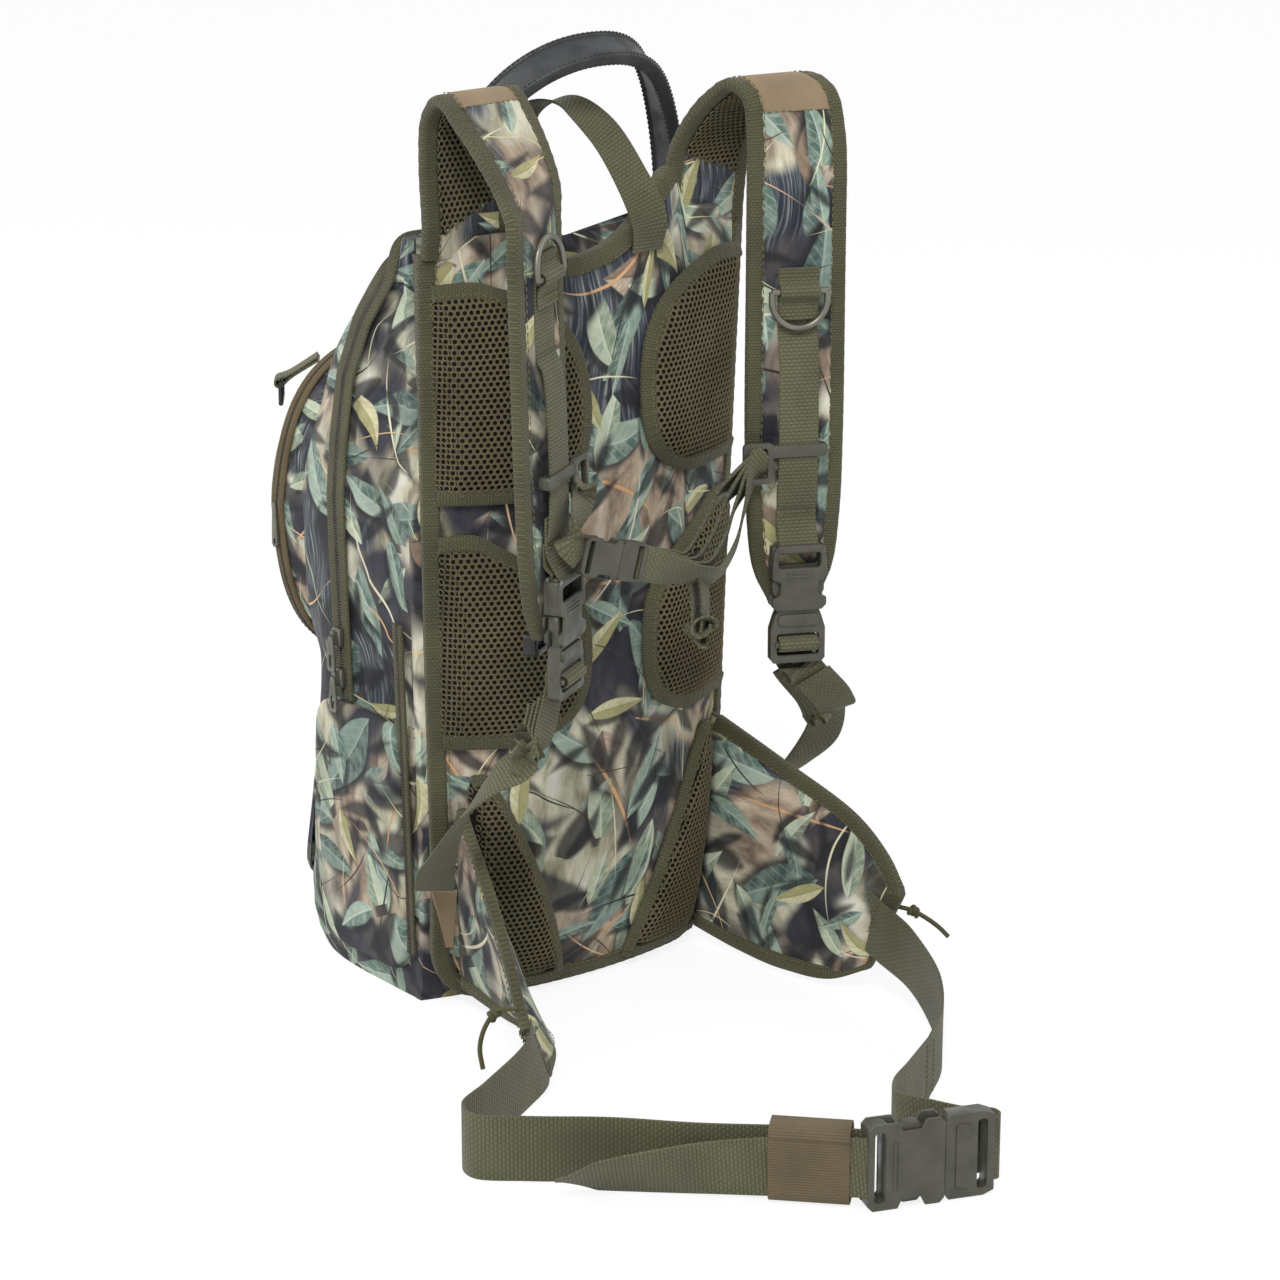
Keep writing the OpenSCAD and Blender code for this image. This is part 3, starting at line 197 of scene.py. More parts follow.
def spline(rows: Sequence[Point], count: int) -> Array:
    """Runs a smooth curve through rows of numbers.

    Args:
        rows: Points, with any further columns carried along.
        count: Number of evenly spaced samples.
    Returns:
        The sampled rows.
    """
    p = np.asarray(rows, float)
    step = np.maximum(np.linalg.norm(np.diff(p[:, :3], axis=0), axis=1), 1e-6) ** 0.5
    t = np.concatenate([[0.0], np.cumsum(step)])
    m = np.zeros_like(p)
    slope = np.diff(p, axis=0) / step[:, None]
    m[0], m[-1] = slope[0], slope[-1]
    for i in range(1, len(p) - 1):
        a, b = step[i - 1], step[i]
        m[i] = (slope[i - 1] * b + slope[i] * a) / (a + b)
    s = np.linspace(0, t[-1], max(400, 30 * len(p)))
    k = np.clip(np.searchsorted(t, s, side="right") - 1, 0, len(p) - 2)
    h = step[k][:, None]
    u = ((s - t[k]) / step[k])[:, None]
    fine = ((2 * u**3 - 3 * u**2 + 1) * p[k] + (u**3 - 2 * u**2 + u) * h * m[k]
            + (-2 * u**3 + 3 * u**2) * p[k + 1] + (u**3 - u**2) * h * m[k + 1])
    return resample(fine, count)


def ripple(p: Array, size: float, seed: float) -> Array:
    """Smooth noise at points.

    Args:
        p: Points in millimetres.
        size: Width of a bump in millimetres.
        seed: Offset that picks another pattern.
    Returns:
        One value from -1 to 1 for each point.
    """
    flat = np.asarray(p, float).reshape(-1, 3) / size + seed
    out = np.array([noise.noise(Vector(q)) for q in flat])
    return out.reshape(np.asarray(p).shape[:-1])


@dataclass
class Patch:
    """A mesh in the making: points in the fitting frame, faces, cloth coordinates and material numbers."""

    verts: Array
    faces: Faces
    uv: Array
    mats: list[int]

    @staticmethod
    def join(parts: Sequence["Patch"]) -> "Patch":
        """Puts several patches into one."""
        faces: Faces = []
        start = 0
        for part in parts:
            faces += [tuple(i + start for i in f) for f in part.faces]
            start += len(part.verts)
        return Patch(np.vstack([p.verts for p in parts]), faces,
                     np.vstack([p.uv for p in parts]), [m for p in parts for m in p.mats])

    def moved(self, place: Callable[[Array], Array]) -> "Patch":
        """Gives the patch with its points passed through a placing function."""
        return Patch(place(self.verts), self.faces, self.uv, self.mats)

    def stood(self, out: float = 0.0) -> "Patch":
        """Stands a plate up, with its thickness along the second axis."""
        return self.moved(lambda q: xyz(q[:, 0], out + q[:, 2], q[:, 1]))

    @staticmethod
    def swept(verts: Array, uv: Array, closed: bool) -> "Patch":
        """Closes rows of ring points into a bar or, where its ends meet, a hoop.

        Args:
            verts: Rings by points.
            uv: Cloth coordinates in the same order.
            closed: True where the last ring joins the first.
        Returns:
            The closed patch.
        """
        n, k = verts.shape[:2]
        faces: Faces = []
        for i in range(n if closed else n - 1):
            a, b = i * k, ((i + 1) % n) * k
            faces += [(a + j, a + (j + 1) % k, b + (j + 1) % k, b + j) for j in range(k)]
        if not closed:
            faces += [tuple(range(k - 1, -1, -1)), tuple(range((n - 1) * k, n * k))]
        return Patch(verts.reshape(-1, 3), faces, uv.reshape(-1, 2), [0] * len(faces))


def grid_uv(p: Array, shift: float = 0.0) -> Array:
    """Lays cloth coordinates in metres over a grid of points.

    Args:
        p: Rows by columns of points.
        shift: Offset that gives the piece its own stretch of cloth.
    Returns:
        Two values for each point.
    """
    middle = p.shape[1] // 2
    across = np.array([lengths(row) for row in p])
    across -= across[:, [middle]]
    along = np.repeat(lengths(p[:, middle])[:, None], p.shape[1], axis=1)
    return np.stack([across * MM + shift, along * MM + 0.37 * shift], axis=2)


def shell(p: Array, q: Array, shift: float = 0.0, front: int = 0, back: int = 0) -> Patch:
    """Closes the space between two grids of the same size.

    Args:
        p: Front grid.
        q: Back grid.
        shift: Cloth offset.
        front: Material number of the front.
        back: Material number of the back and the sides.
    Returns:
        The closed patch.
    """
    n, m = p.shape[:2]
    o = n * m
    uv = grid_uv(p, shift).reshape(-1, 2)
    faces: Faces = []
    mats: list[int] = []
    for i in range(n - 1):
        for j in range(m - 1):
            a, b, c, d = i * m + j, (i + 1) * m + j, (i + 1) * m + j + 1, i * m + j + 1
            faces += [(a, b, c, d), (o + d, o + c, o + b, o + a)]
            mats += [front, back]
    rim = ([i * m for i in range(n)] + [(n - 1) * m + j for j in range(1, m)]
           + [i * m + m - 1 for i in range(n - 2, -1, -1)] + list(range(m - 2, 0, -1)))
    for k, a in enumerate(rim):
        b = rim[(k + 1) % len(rim)]
        faces.append((b, a, o + a, o + b))
        mats.append(back)
    return Patch(np.vstack([p.reshape(-1, 3), q.reshape(-1, 3)]), faces, np.vstack([uv, uv]), mats)


def ring_section(width: float, thick: float, radius: float, mids: int = 3) -> Array:
    """Outline of a strip: a rounded box with extra points along its width.

    Args:
        width: Full width.
        thick: Full thickness.
        radius: Corner radius.
        mids: Points between the corners on each face.
    Returns:
        Pairs of place across and height.
    """
    r = min(radius, thick / 2 * 0.98, width / 2 * 0.98)
    out: list[tuple[float, float]] = []
    flat = width / 2 - r
    for cx, cy, a0 in ((flat, thick / 2 - r, 0), (-flat, thick / 2 - r, 90),
                       (-flat, -thick / 2 + r, 180), (flat, -thick / 2 + r, 270)):
        for k in range(4):
            a = math.radians(a0 + 30 * k)
            out.append((cx + r * math.cos(a), cy + r * math.sin(a)))
        if a0 in (0, 180):
            for k in range(1, mids + 1):
                out.append((cx - 2 * cx * k / (mids + 1), cy + (r if a0 == 0 else -r)))
    return np.array(out)


def ribbon(path: Array, wide: Array | Point, width: float | Array, thick: float, radius: float = 0.6,
           closed: bool = False) -> Patch:
    """Sweeps a strip of webbing or tape along a path.

    Args:
        path: Points of the middle line.
        wide: Direction of the width, the same all along or one for each point.
        width: Width, the same all along or one for each point.
        thick: Thickness.
        radius: Radius of the edges.
        closed: True where the strip joins its own start.
    Returns:
        The closed patch, its cloth coordinates across and along.
    """
    n = len(path)
    t = tangents(path, closed)
    w = squared(np.asarray(wide, float), t)
    h = np.cross(w, t)
    widths = np.broadcast_to(np.asarray(width, float), (n,))
    base = ring_section(float(widths.max()), thick, radius)
    share = widths / widths.max()
    verts = (path[:, None, :] + w[:, None, :] * (base[None, :, 0] * share[:, None])[:, :, None]
             + h[:, None, :] * base[None, :, 1][:, :, None])
    uv = np.stack(np.broadcast_arrays(base[None, :, 0] * MM, lengths(path)[:, None] * MM), axis=2)
    return Patch.swept(verts, uv, closed)


def guided(rows: Sequence[Sequence[Point]], count: int) -> tuple[Array, Array]:
    """Runs a curve through points that each carry a width direction."""
    s = spline([[*p, *w] for p, w in rows], count)
    return s[:, :3], s[:, 3:6]


def strip(rows: Sequence[Sequence[Point]], count: int, width: float, thick: float) -> Patch:
    """Webbing through points that each carry a width direction."""
    return ribbon(*guided(rows, count), width, thick)


def folds(path: Array, wide: Array, span: tuple[float, float], layers: int, gap: float, lift: float,
          fan: float = 0.0) -> tuple[Array, Array]:
    """Lays a line to and fro over part of a path, like a tail of webbing folded on itself.

    Args:
        path: Points of the strip below.
        wide: Its width direction at each point.
        span: Part of the length that the folds cover.
        layers: Number of layers.
        gap: Distance between layers.
        lift: Distance of the first layer; its sign picks the side.
        fan: Sideways step from layer to layer.
    Returns:
        Points and width directions of the folded line.
    """
    run = lengths(path)
    n = unit(np.cross(unit(wide), tangents(path)))
    rows = []
    for k in range(layers):
        high = lift + math.copysign(gap * k, lift)
        at = np.linspace(span[0] + 0.01 * k, span[1] - 0.02 * k, 14) * run[-1]
        at = at[::-1] if k % 2 else at
        w = pick(wide, run, at)
        p = pick(path, run, at) + pick(n, run, at) * high + unit(w) * fan * (k - layers / 2 + 0.5)
        if rows:
            turn = rows[-1][-1, :3] + unit(rows[-1][-1, :3] - rows[-1][-2, :3]) * gap * 0.7
            step = (turn + p[0] + unit(p[0] - p[1]) * gap * 0.7) / 2
            rows.append(np.r_[step, rows[-1][-1, 3:]][None])
        rows.append(np.c_[p, w])
    line = spline(np.vstack(rows), 60 * layers)
    return line[:, :3], line[:, 3:6]


def tube(path: Array, radius: float, sides: int) -> Patch:
    """Round cord along a path.

    Args:
        path: Points of the middle line.
        radius: Radius of the cord.
        sides: Points round it.
    Returns:
        The closed patch.
    """
    t = tangents(path)
    u = np.zeros_like(path)
    u[0] = unit(np.cross(t[0], [0.31, 0.2, 0.93]))
    for i in range(1, len(path)):
        u[i] = unit(u[i - 1] - np.dot(u[i - 1], t[i]) * t[i])
    a = np.arange(sides) * 2 * math.pi / sides
    ring = np.cos(a)[None, :, None] * u[:, None, :] + np.sin(a)[None, :, None] * np.cross(t, u)[:, None, :]
    uv = np.stack(np.broadcast_arrays((a * radius * MM)[None, :], lengths(path)[:, None] * MM), axis=2)
    return Patch.swept(path[:, None, :] + radius * ring, uv, False)


def rounded(width: float, height: float, radius: float, cx: float = 0.0, cy: float = 0.0) -> Outline:
    """Outline of a rounded box about a centre."""
    out = []
    for sx, sy, a0 in ((1, 1, 0), (-1, 1, 90), (-1, -1, 180), (1, -1, 270)):
        for k in range(5):
            a = math.radians(a0 + 22.5 * k)
            out.append((cx + sx * (width / 2 - radius) + radius * math.cos(a),
                        cy + sy * (height / 2 - radius) + radius * math.sin(a)))
    return out


def mirrored(half: Outline, axis: int) -> Outline:
    """Outline from its right half for axis 0, or from its lower half for axis 1."""
    if axis:
        return [*half, *((x, -y) for x, y in reversed(half))]
    back = [(-x, y) for x, y in reversed(half)]
    return [back[-1], *half, *back[:-1]]


def plate(outline: Outline, holes: Sequence[Outline], low: float,
          high: float, bevel: float) -> Patch:
    """Moulded plate with softened edges, cut from an outline with holes.

    Args:
        outline: Outer loop in the plane.
        holes: Inner loops.
        low: Lower face.
        high: Upper face.
        bevel: Width of the softened edge.
    Returns:
        The patch, with the thickness along its third axis.
    """
    loops = [list(outline)] + [list(h) for h in holes]
    tris = tessellate_polygon([[Vector((x, y, 0)) for x, y in loop] for loop in loops])
    flat = np.array([q for loop in loops for q in loop])
    count = len(flat)
    verts = np.vstack([np.c_[flat, np.full(count, low)], np.c_[flat, np.full(count, high)]])
    faces: Faces = [tuple(t) for t in tris] + [tuple(i + count for i in t)[::-1] for t in tris]
    start = 0
    for loop in loops:
        m = len(loop)
        faces += [(start + j, start + (j + 1) % m, start + (j + 1) % m + count, start + j + count)
                  for j in range(m)]
        start += m
    mesh = bpy.data.meshes.new("plate")
    mesh.from_pydata([list(v) for v in verts], [], faces)
    bm = bmesh.new()
    bm.from_mesh(mesh)
    bmesh.ops.recalc_face_normals(bm, faces=bm.faces)
    bmesh.ops.dissolve_limit(bm, angle_limit=0.02, verts=bm.verts, edges=bm.edges)
    sharp = [e for e in bm.edges if len(e.link_faces) == 2 and e.calc_face_angle(0) > 0.9]
    bmesh.ops.bevel(bm, geom=sharp, offset=bevel, segments=2, profile=0.5, affect="EDGES", clamp_overlap=True)
    bmesh.ops.triangulate(bm, faces=[f for f in bm.faces if len(f.verts) > 4])
    bm.to_mesh(mesh)
    bm.free()
    points = np.array([v.co for v in mesh.vertices])
    out = Patch(points, [tuple(p.vertices) for p in mesh.polygons], points[:, :2] * MM,
                [0] * len(mesh.polygons))
    bpy.data.meshes.remove(mesh)
    return out


class Finishes:
    """Makes each procedural material once, from shared node groups."""

    def __init__(self) -> None:
        """Starts with an empty shelf of materials."""
        self.shelf: dict[str, Material] = {}
        self.weave = self._weave_group()
        self.wear = self._wear_group()
        self.leaf = self._leaf_group()
        self.camo = self._camo_group()

    def __getitem__(self, name: str) -> Material:
        """Gives a material by its finish name, making it at first use."""
        if name not in self.shelf:
            self.shelf[name] = CLOTHS[name].make(self) if name in CLOTHS else SOLIDS[name].make(self)
        return self.shelf[name]

    def _weave_group(self) -> Tree:
        """Ribs and crossing threads over cloth coordinates; Shade is low in the grooves between ribs and is
        painted into the colour as groove shade, with random fuzz for yarn tone.

        Returns:
            The node group.
        """
        g = Nodes.group("thread_weave", {"Vector": "Vector", "Along": "Float", "Across": "Float"},
                        {"Height": "Float", "Shade": "Float"})
        x, y, _ = g.split(g.source["Vector"])
        a = g.mul(y, g.source["Along"])
        b = g.mul(x, g.source["Across"])
        shiftx = g.mul(g.math("FLOOR", a), 0.5)
        rib = g.math("ABSOLUTE", g.math("SINE", g.mul(a, math.pi)))
        thread = g.math("ABSOLUTE", g.math("SINE", g.mul(g.math("ADD", b, shiftx), math.pi)))
        height = g.mul(g.math("POWER", rib, 0.7), g.math("ADD", g.mul(thread, 0.6), 0.4))
        fuzz = g.noise(g.source["Vector"], 900.0)
        # painted groove shade from rib height, plus random fuzz for yarn tone
        shade = g.math("ADD", g.mul(height, 0.75), g.mul(fuzz, 0.35))
        g.out({"Height": height, "Shade": shade})
        return g.tree

    def _wear_group(self) -> Tree:
        """Slow dusty change of tone and fine grain over the object.

        Returns:
            The node group.
        """
        g = Nodes.group("handling_wear", {"Vector": "Vector", "Size": "Float"},
                        {"Tone": "Float", "Grain": "Float"})
        big = g.noise(g.source["Vector"], g.source["Size"], 4.0)
        fine = g.noise(g.source["Vector"], 1400.0, 3.0)
        g.out({"Tone": g.range(big, 0.3, 0.7, 0.8, 1.12), "Grain": fine})
        return g.tree

    def _leaf_group(self) -> Tree:
        """One scattered layer of leaves, each turned, sized and bent by its own cell.

        Returns:
            The node group.
        """
        takes = dict.fromkeys(("Cells", "Seed", "Length", "Width", "Bend", "Soft"), "Float")
        gives = dict.fromkeys(("Mask", "Vein", "Side", "Pick"), "Float")
        g = Nodes.group("leaf_layer", {"Vector": "Vector"} | takes, gives)
        v = g.vmath("SCALE", g.source["Vector"], scale=g.source["Cells"])
        v = g.vmath("ADD", v, g.join3(g.source["Seed"], g.mul(g.source["Seed"], 1.7), 0.0))
        cell = g.add("ShaderNodeTexVoronoi", {"Vector": v, "Scale": 1.0, "Randomness": 0.85},
                     voronoi_dimensions="2D")
        r, gr, b = g.split(cell.outputs["Color"])
        turned = g.add("ShaderNodeVectorRotate", {"Vector": g.vmath("SUBTRACT", v, cell.outputs["Position"]),
                                                  "Angle": g.mul(r, 6.28)}, rotation_type="Z_AXIS")
        x, y, _ = g.split(turned.outputs["Vector"])
        bend = g.mul(g.math("SUBTRACT", gr, 0.5), g.source["Bend"])
        y = g.math("ADD", y, g.mul(bend, g.mul(x, x)))
        size = g.mul(g.source["Length"], g.math("ADD", g.mul(b, 0.5), 0.65))
        t = g.math("DIVIDE", x, size)
        w = g.mul(g.mul(g.source["Width"], size), g.math("SUBTRACT", 1.0, g.mul(t, t)))
        w = g.mul(w, g.math("SUBTRACT", 1.0, g.mul(t, 0.45)))
        away = g.math("ABSOLUTE", y)
        mask = g.range(g.math("SUBTRACT", w, away), 0.0, g.source["Soft"], 0.0, 1.0)
        rib = g.range(away, 0.004, 0.016, 1.0, 0.0)
        comb = g.math("SINE", g.mul(g.math("SUBTRACT", x, g.mul(away, 1.1)), 55.0))
        vein = g.math("MAXIMUM", rib, g.mul(g.range(comb, 0.75, 1.0, 0.0, 1.0), 0.45))
        g.out({"Mask": mask, "Vein": g.mul(vein, mask), "Side": g.range(y, -0.02, 0.02, 0.0, 1.0),
               "Pick": gr})
        return g.tree

    def _camo_group(self) -> Tree:
        """A woodland print of bark, dry grass, leaves and twigs, laid by cloth coordinates.

        Returns:
            The node group.
        """
        g = Nodes.group("woodland_print", {"Vector": "Vector"}, {"Color": "Color"})
        uv = g.source["Vector"]
        warp = g.add("ShaderNodeTexNoise", {"Vector": uv, "Scale": 9.0, "Detail": 2.0})
        bend = g.vmath("SUBTRACT", warp.outputs["Color"], (0.5, 0.5, 0.5))
        bent = g.vmath("ADD", uv, g.vmath("SCALE", bend, scale=0.06))

        def streak(angle: float, fine: float, long: float, seed: float) -> Socket:
            """Noise drawn out along one direction."""
            turn = g.add("ShaderNodeMapping", {"Vector": bent, "Rotation": (0.0, 0.0, angle),
                                               "Location": (seed, seed, 0.0), "Scale": (fine, long, 1.0)})
            return g.noise(turn.outputs["Vector"], 1.0, 5.0, 0.62)

        rock = g.ramp(streak(0.4, 60.0, 20.0, 3.0), [(0.30, "3a332f"), (0.41, "7d6c5e"), (0.51, "ae9a85"),
                                                    (0.62, "cbbba5"), (0.75, "e0d6c4")])
        cream = g.ramp(streak(-0.8, 50.0, 15.0, 7.0), [(0.30, "6a6656"), (0.42, "aaa58c"), (0.53, "d6d2ba"),
                                                      (0.68, "eeebdf")])
        grass = g.ramp(streak(0.15, 420.0, 20.0, 11.0), [(0.36, "1f232b"), (0.49, "3b414b"), (0.58, "6a7074"),
                                                        (0.70, "b4b3a2")])
        dusk = g.ramp(streak(0.9, 30.0, 12.0, 15.0), [(0.32, "1b1d26"), (0.50, "34353f"), (0.66, "57514e")])
        color = g.mix(self._zone(g, uv, (4.3, 1.2, 0.0), 7.0, 0.43, 0.54), rock, cream)
        color = g.mix(self._zone(g, uv, (8.1, 5.7, 0.0), 7.0, 0.52, 0.57), color, grass)
        color = g.mix(self._zone(g, uv, (1.7, 9.4, 0.0), 11.0, 0.52, 0.62), color, dusk)
        for layer in PRINT_LAYERS:
            color = layer.lay(g, self.leaf, uv, color)
        g.out({"Color": color})
        return g.tree

    def _zone(self, g: Nodes, uv: Socket, shift: tuple[float, float, float], scale: float, low: float,
              high: float) -> Socket:
        """Soft-edged areas in which one ground of the print gives way to another."""
        return g.range(g.noise(g.vmath("ADD", uv, shift), scale), low, high, 0.0, 1.0)


class Nodes:
    """Short hand for building a node tree."""

    def __init__(self, tree: Tree) -> None:
        """Takes the tree to build in."""
        self.tree = tree
        self.source: dict[str, Socket] = {}
        self.sink: Node | None = None

    @classmethod
    def group(cls, name: str, inputs: dict[str, str], outputs: dict[str, str],
              kind: str = "ShaderNodeTree") -> "Nodes":
        """Starts a node group.

        Args:
            name: Name of the group.
            inputs: Socket names and kinds.
            outputs: Socket names and kinds.
            kind: Shader or geometry tree.
        Returns:
            The helper on the new tree.
        """
        tree = bpy.data.node_groups.new(name, kind)
        for words, way in ((inputs, "INPUT"), (outputs, "OUTPUT")):
            for key, sort in words.items():
                tree.interface.new_socket(key, in_out=way, socket_type="NodeSocket" + sort)
        made = cls(tree)
        made.source = {s.name: s for s in tree.nodes.new("NodeGroupInput").outputs if s.name}
        made.sink = tree.nodes.new("NodeGroupOutput")
        return made

    def out(self, values: dict[str, Socket]) -> None:
        """Links the outputs of a group."""
        for key, value in values.items():
            self.tree.links.new(value, self.sink.inputs[key])

    def put(self, socket: Socket, value: object) -> None:
        """Links a socket to another, or gives it a plain value."""
        if isinstance(value, Socket):
            self.tree.links.new(value, socket)
        else:
            socket.default_value = value

    def add(self, kind: str, inputs: dict[str, object] | None = None, **props: object) -> Node:
        """Adds a node.

        Args:
            kind: Node type.
            inputs: Values or links by socket name.
            props: Properties set first.
        Returns:
            The node.
        """
        node = self.tree.nodes.new(kind)
        for key, value in props.items():
            setattr(node, key, value)
        for key, value in (inputs or {}).items():
            self.put(node.inputs[key], value)
        return node

    def math(self, op: str, a: object, b: object = None) -> Socket:
        """Adds a sum on one or two values."""
        node = self.tree.nodes.new("ShaderNodeMath")
        node.operation = op
        self.put(node.inputs[0], a)
        if b is not None:
            self.put(node.inputs[1], b)
        return node.outputs[0]

    def mul(self, a: object, b: object) -> Socket:
        """Multiplies two values."""
        return self.math("MULTIPLY", a, b)

    def noise(self, vector: object, scale: object, detail: float = 2.0, rough: float = 0.5) -> Socket:
        """Adds a noise texture."""
        return self.add("ShaderNodeTexNoise", {"Vector": vector, "Scale": scale, "Detail": detail,
                                               "Roughness": rough}).outputs["Fac"]

    def vmath(self, op: str, a: object, b: object = None, scale: object = None) -> Socket:
        """Adds a sum on vectors."""
        node = self.tree.nodes.new("ShaderNodeVectorMath")
        node.operation = op
        self.put(node.inputs[0], a)
        if b is not None:
            self.put(node.inputs[1], b)
        if scale is not None:
            self.put(node.inputs["Scale"], scale)
        return node.outputs[0]

    def split(self, v: Socket) -> tuple[Socket, ...]:
        """Takes a vector apart."""
        return tuple(self.add("ShaderNodeSeparateXYZ", {"Vector": v}).outputs)

    def join3(self, x: object, y: object, z: object) -> Socket:
        """Puts a vector together."""
        return self.add("ShaderNodeCombineXYZ", {"X": x, "Y": y, "Z": z}).outputs[0]

    def range(self, value: object, a: object, b: object, c: float, d: float) -> Socket:
        """Maps a span of values smoothly to another."""
        spans = {"Value": value, "From Min": a, "From Max": b, "To Min": c, "To Max": d}
        return self.add("ShaderNodeMapRange", spans, interpolation_type="SMOOTHSTEP").outputs[0]

    def mix(self, fac: object, a: object, b: object, kind: str = "MIX") -> Socket:
        """Mixes two colours."""
        node = self.tree.nodes.new("ShaderNodeMix")
        node.data_type = "RGBA"
        node.blend_type = kind
        self.put(node.inputs[0], fac)
        self.put(node.inputs[6], a)
        self.put(node.inputs[7], b)
        return node.outputs[2]

    def ramp(self, fac: object, stops: Sequence[tuple[float, str]]) -> Socket:
        """Adds a colour ramp from hex colours."""
        node = self.add("ShaderNodeValToRGB", {"Fac": fac})
        band = node.color_ramp
        while len(band.elements) < len(stops):
            band.elements.new(0.5)
        for mark, (place, code) in zip(band.elements, stops):
            mark.position = place
            mark.color = srgb(code)
        return node.outputs["Color"]

    def use(self, tree: Tree, inputs: dict[str, object]) -> Node:
        """Places a shader group."""
        return self.add("ShaderNodeGroup", inputs, node_tree=tree)


@dataclass(frozen=True)
class PrintLayer:
    """One kind of leaf or twig in the woodland print."""

    cells: float
    seed: float
    length: float
    width: float
    bend: float
    light: str
    dark: str
    vein: str
    keep: tuple[float, float]
    zone: float = 0.0
    shadow: bool = False
    soft: float = 0.02

    def lay(self, g: Nodes, leaf: Tree, uv: Socket,
            under: Socket) -> Socket:
        """Lays the leaves over a colour.

        Args:
            g: Helper of the print's tree.
            leaf: The leaf group.
            uv: Cloth coordinates.
            under: Colour below.
        Returns:
            The colour with this layer on it.
        """
        words = {"Cells": self.cells, "Seed": self.seed, "Length": self.length, "Width": self.width,
                 "Bend": self.bend}
        top = g.use(leaf, {"Vector": uv, "Soft": self.soft, **words})
        chosen = g.mul(g.math("GREATER_THAN", top.outputs["Pick"], self.keep[0]),
                        g.math("LESS_THAN", top.outputs["Pick"], self.keep[1]))
        mask = g.mul(top.outputs["Mask"], chosen)
        if self.shadow:
            below = g.use(leaf, {"Vector": g.vmath("ADD", uv, (0.004, 0.006, 0.0)), "Soft": 0.09, **words})
            under = g.mix(g.mul(below.outputs["Mask"], 0.85), under, srgb("1b1c22"))
        if self.zone:
            area = g.noise(g.vmath("ADD", uv, (self.zone, 2.0, 0.0)), 11.0)
            mask = g.mul(mask, g.range(area, 0.44, 0.5, 0.0, 1.0))
        body = g.mix(top.outputs["Side"], srgb(self.dark), srgb(self.light))
        mottle = g.noise(uv, 140.0, 3.0)
        body = g.mix(g.range(mottle, 0.35, 0.7, 0.0, 0.4), body, srgb(self.vein))
        body = g.mix(g.mul(top.outputs["Vein"], 0.75), body, srgb(self.vein))
        return g.mix(mask, under, body)


PRINT_LAYERS = (
    PrintLayer(11.0, 21.0, 0.50, 0.26, 1.2, "33353f", "1c1e27", "57525a", (0.0, 0.7), 0.0, False, 0.12),
    PrintLayer(13.0, 2.0, 0.48, 0.42, 0.9, "c9b7a2", "937f6c", "65564a", (0.0, 0.5), 3.3, True),
    PrintLayer(13.0, 51.0, 0.50, 0.36, 0.8, "7d9186", "465b57", "a8b8ab", (0.0, 0.8), 0.0, True),
    PrintLayer(9.0, 31.0, 0.56, 0.024, 1.5, "c78c5c", "8a5a38", "dfb68b", (0.0, 0.9), 0.0, False, 0.006),
    PrintLayer(15.0, 5.0, 0.50, 0.35, 0.9, "9db0a0", "5b766c", "c9d4c6", (0.05, 0.85), 6.1, True),
    PrintLayer(17.0, 61.0, 0.52, 0.29, 1.0, "bcc7ac", "7f9179", "dde3cf", (0.0, 0.75), 21.3, True),
    PrintLayer(13.0, 41.0, 0.56, 0.022, 2.0, "2b2521", "1d1917", "3a322d", (0.2, 0.9), 0.0, False, 0.006),
    PrintLayer(18.0, 9.0, 0.52, 0.27, 1.0, "84998a", "4c655c", "bccabb", (0.15, 0.9), 9.7, True),
    PrintLayer(9.0, 13.0, 0.57, 0.020, 1.8, "e2dab2", "b6ad7c", "f0ebd2", (0.0, 0.95), 0.0, False, 0.006),
    PrintLayer(20.0, 17.0, 0.54, 0.26, 1.1, "dfdab4", "b3ae80", "98945f", (0.66, 1.0), 0.0, True),
    PrintLayer(10.0, 71.0, 0.57, 0.016, 2.2, "d8a274", "a06c44", "ebcaa4", (0.1, 0.9), 0.0, False, 0.005),
    PrintLayer(12.0, 83.0, 0.57, 0.015, 2.2, "d5d69a", "a5a868", "e8e8c0", (0.1, 0.9), 0.0, False, 0.005),
    PrintLayer(15.0, 93.0, 0.57, 0.016, 2.4, "2a2622", "1b1917", "463d36", (0.1, 0.8), 0.0, False, 0.005),
)


@dataclass(frozen=True)
class Finish:
    """What woven and solid finishes share: a named material whose tone changes slowly with wear."""

    name: str
    color: str

    def begin(self, book: Finishes, size: float) -> tuple[Material, Nodes, Node, Node]:
        """Starts the material.

        Args:
            book: Shared groups.
            size: Scale of its slow changes of tone.
        Returns:
            The material, the helper on its tree, its coordinates and its wear group.
        """
        mat = bpy.data.materials.new(self.name)
        mat.use_nodes = True
        g = Nodes(mat.node_tree)
        coord = g.add("ShaderNodeTexCoord")
        return mat, g, coord, g.use(book.wear, {"Vector": coord.outputs["Object"], "Size": size})

    def close(self, g: Nodes, wear: Node, base: object, rough: Socket,
              relief: dict[str, object]) -> Node:
        """Links colour, roughness and relief to the surface.

        Args:
            g: Helper on the tree.
            wear: Wear group whose tone shades the colour.
            base: Colour before shading.
            rough: Roughness.
            relief: Inputs of the bump.
        Returns:
            The surface node.
        """
        skin = g.tree.nodes["Principled BSDF"]
        tone = wear.outputs["Tone"]
        shade = g.add("ShaderNodeCombineColor", {"Red": tone, "Green": tone, "Blue": tone})
        g.put(skin.inputs["Base Color"], g.mix(1.0, base, shade.outputs[0], "MULTIPLY"))
        g.put(skin.inputs["Roughness"], rough)
        g.put(skin.inputs["Normal"], g.add("ShaderNodeBump", relief).outputs["Normal"])
        return skin


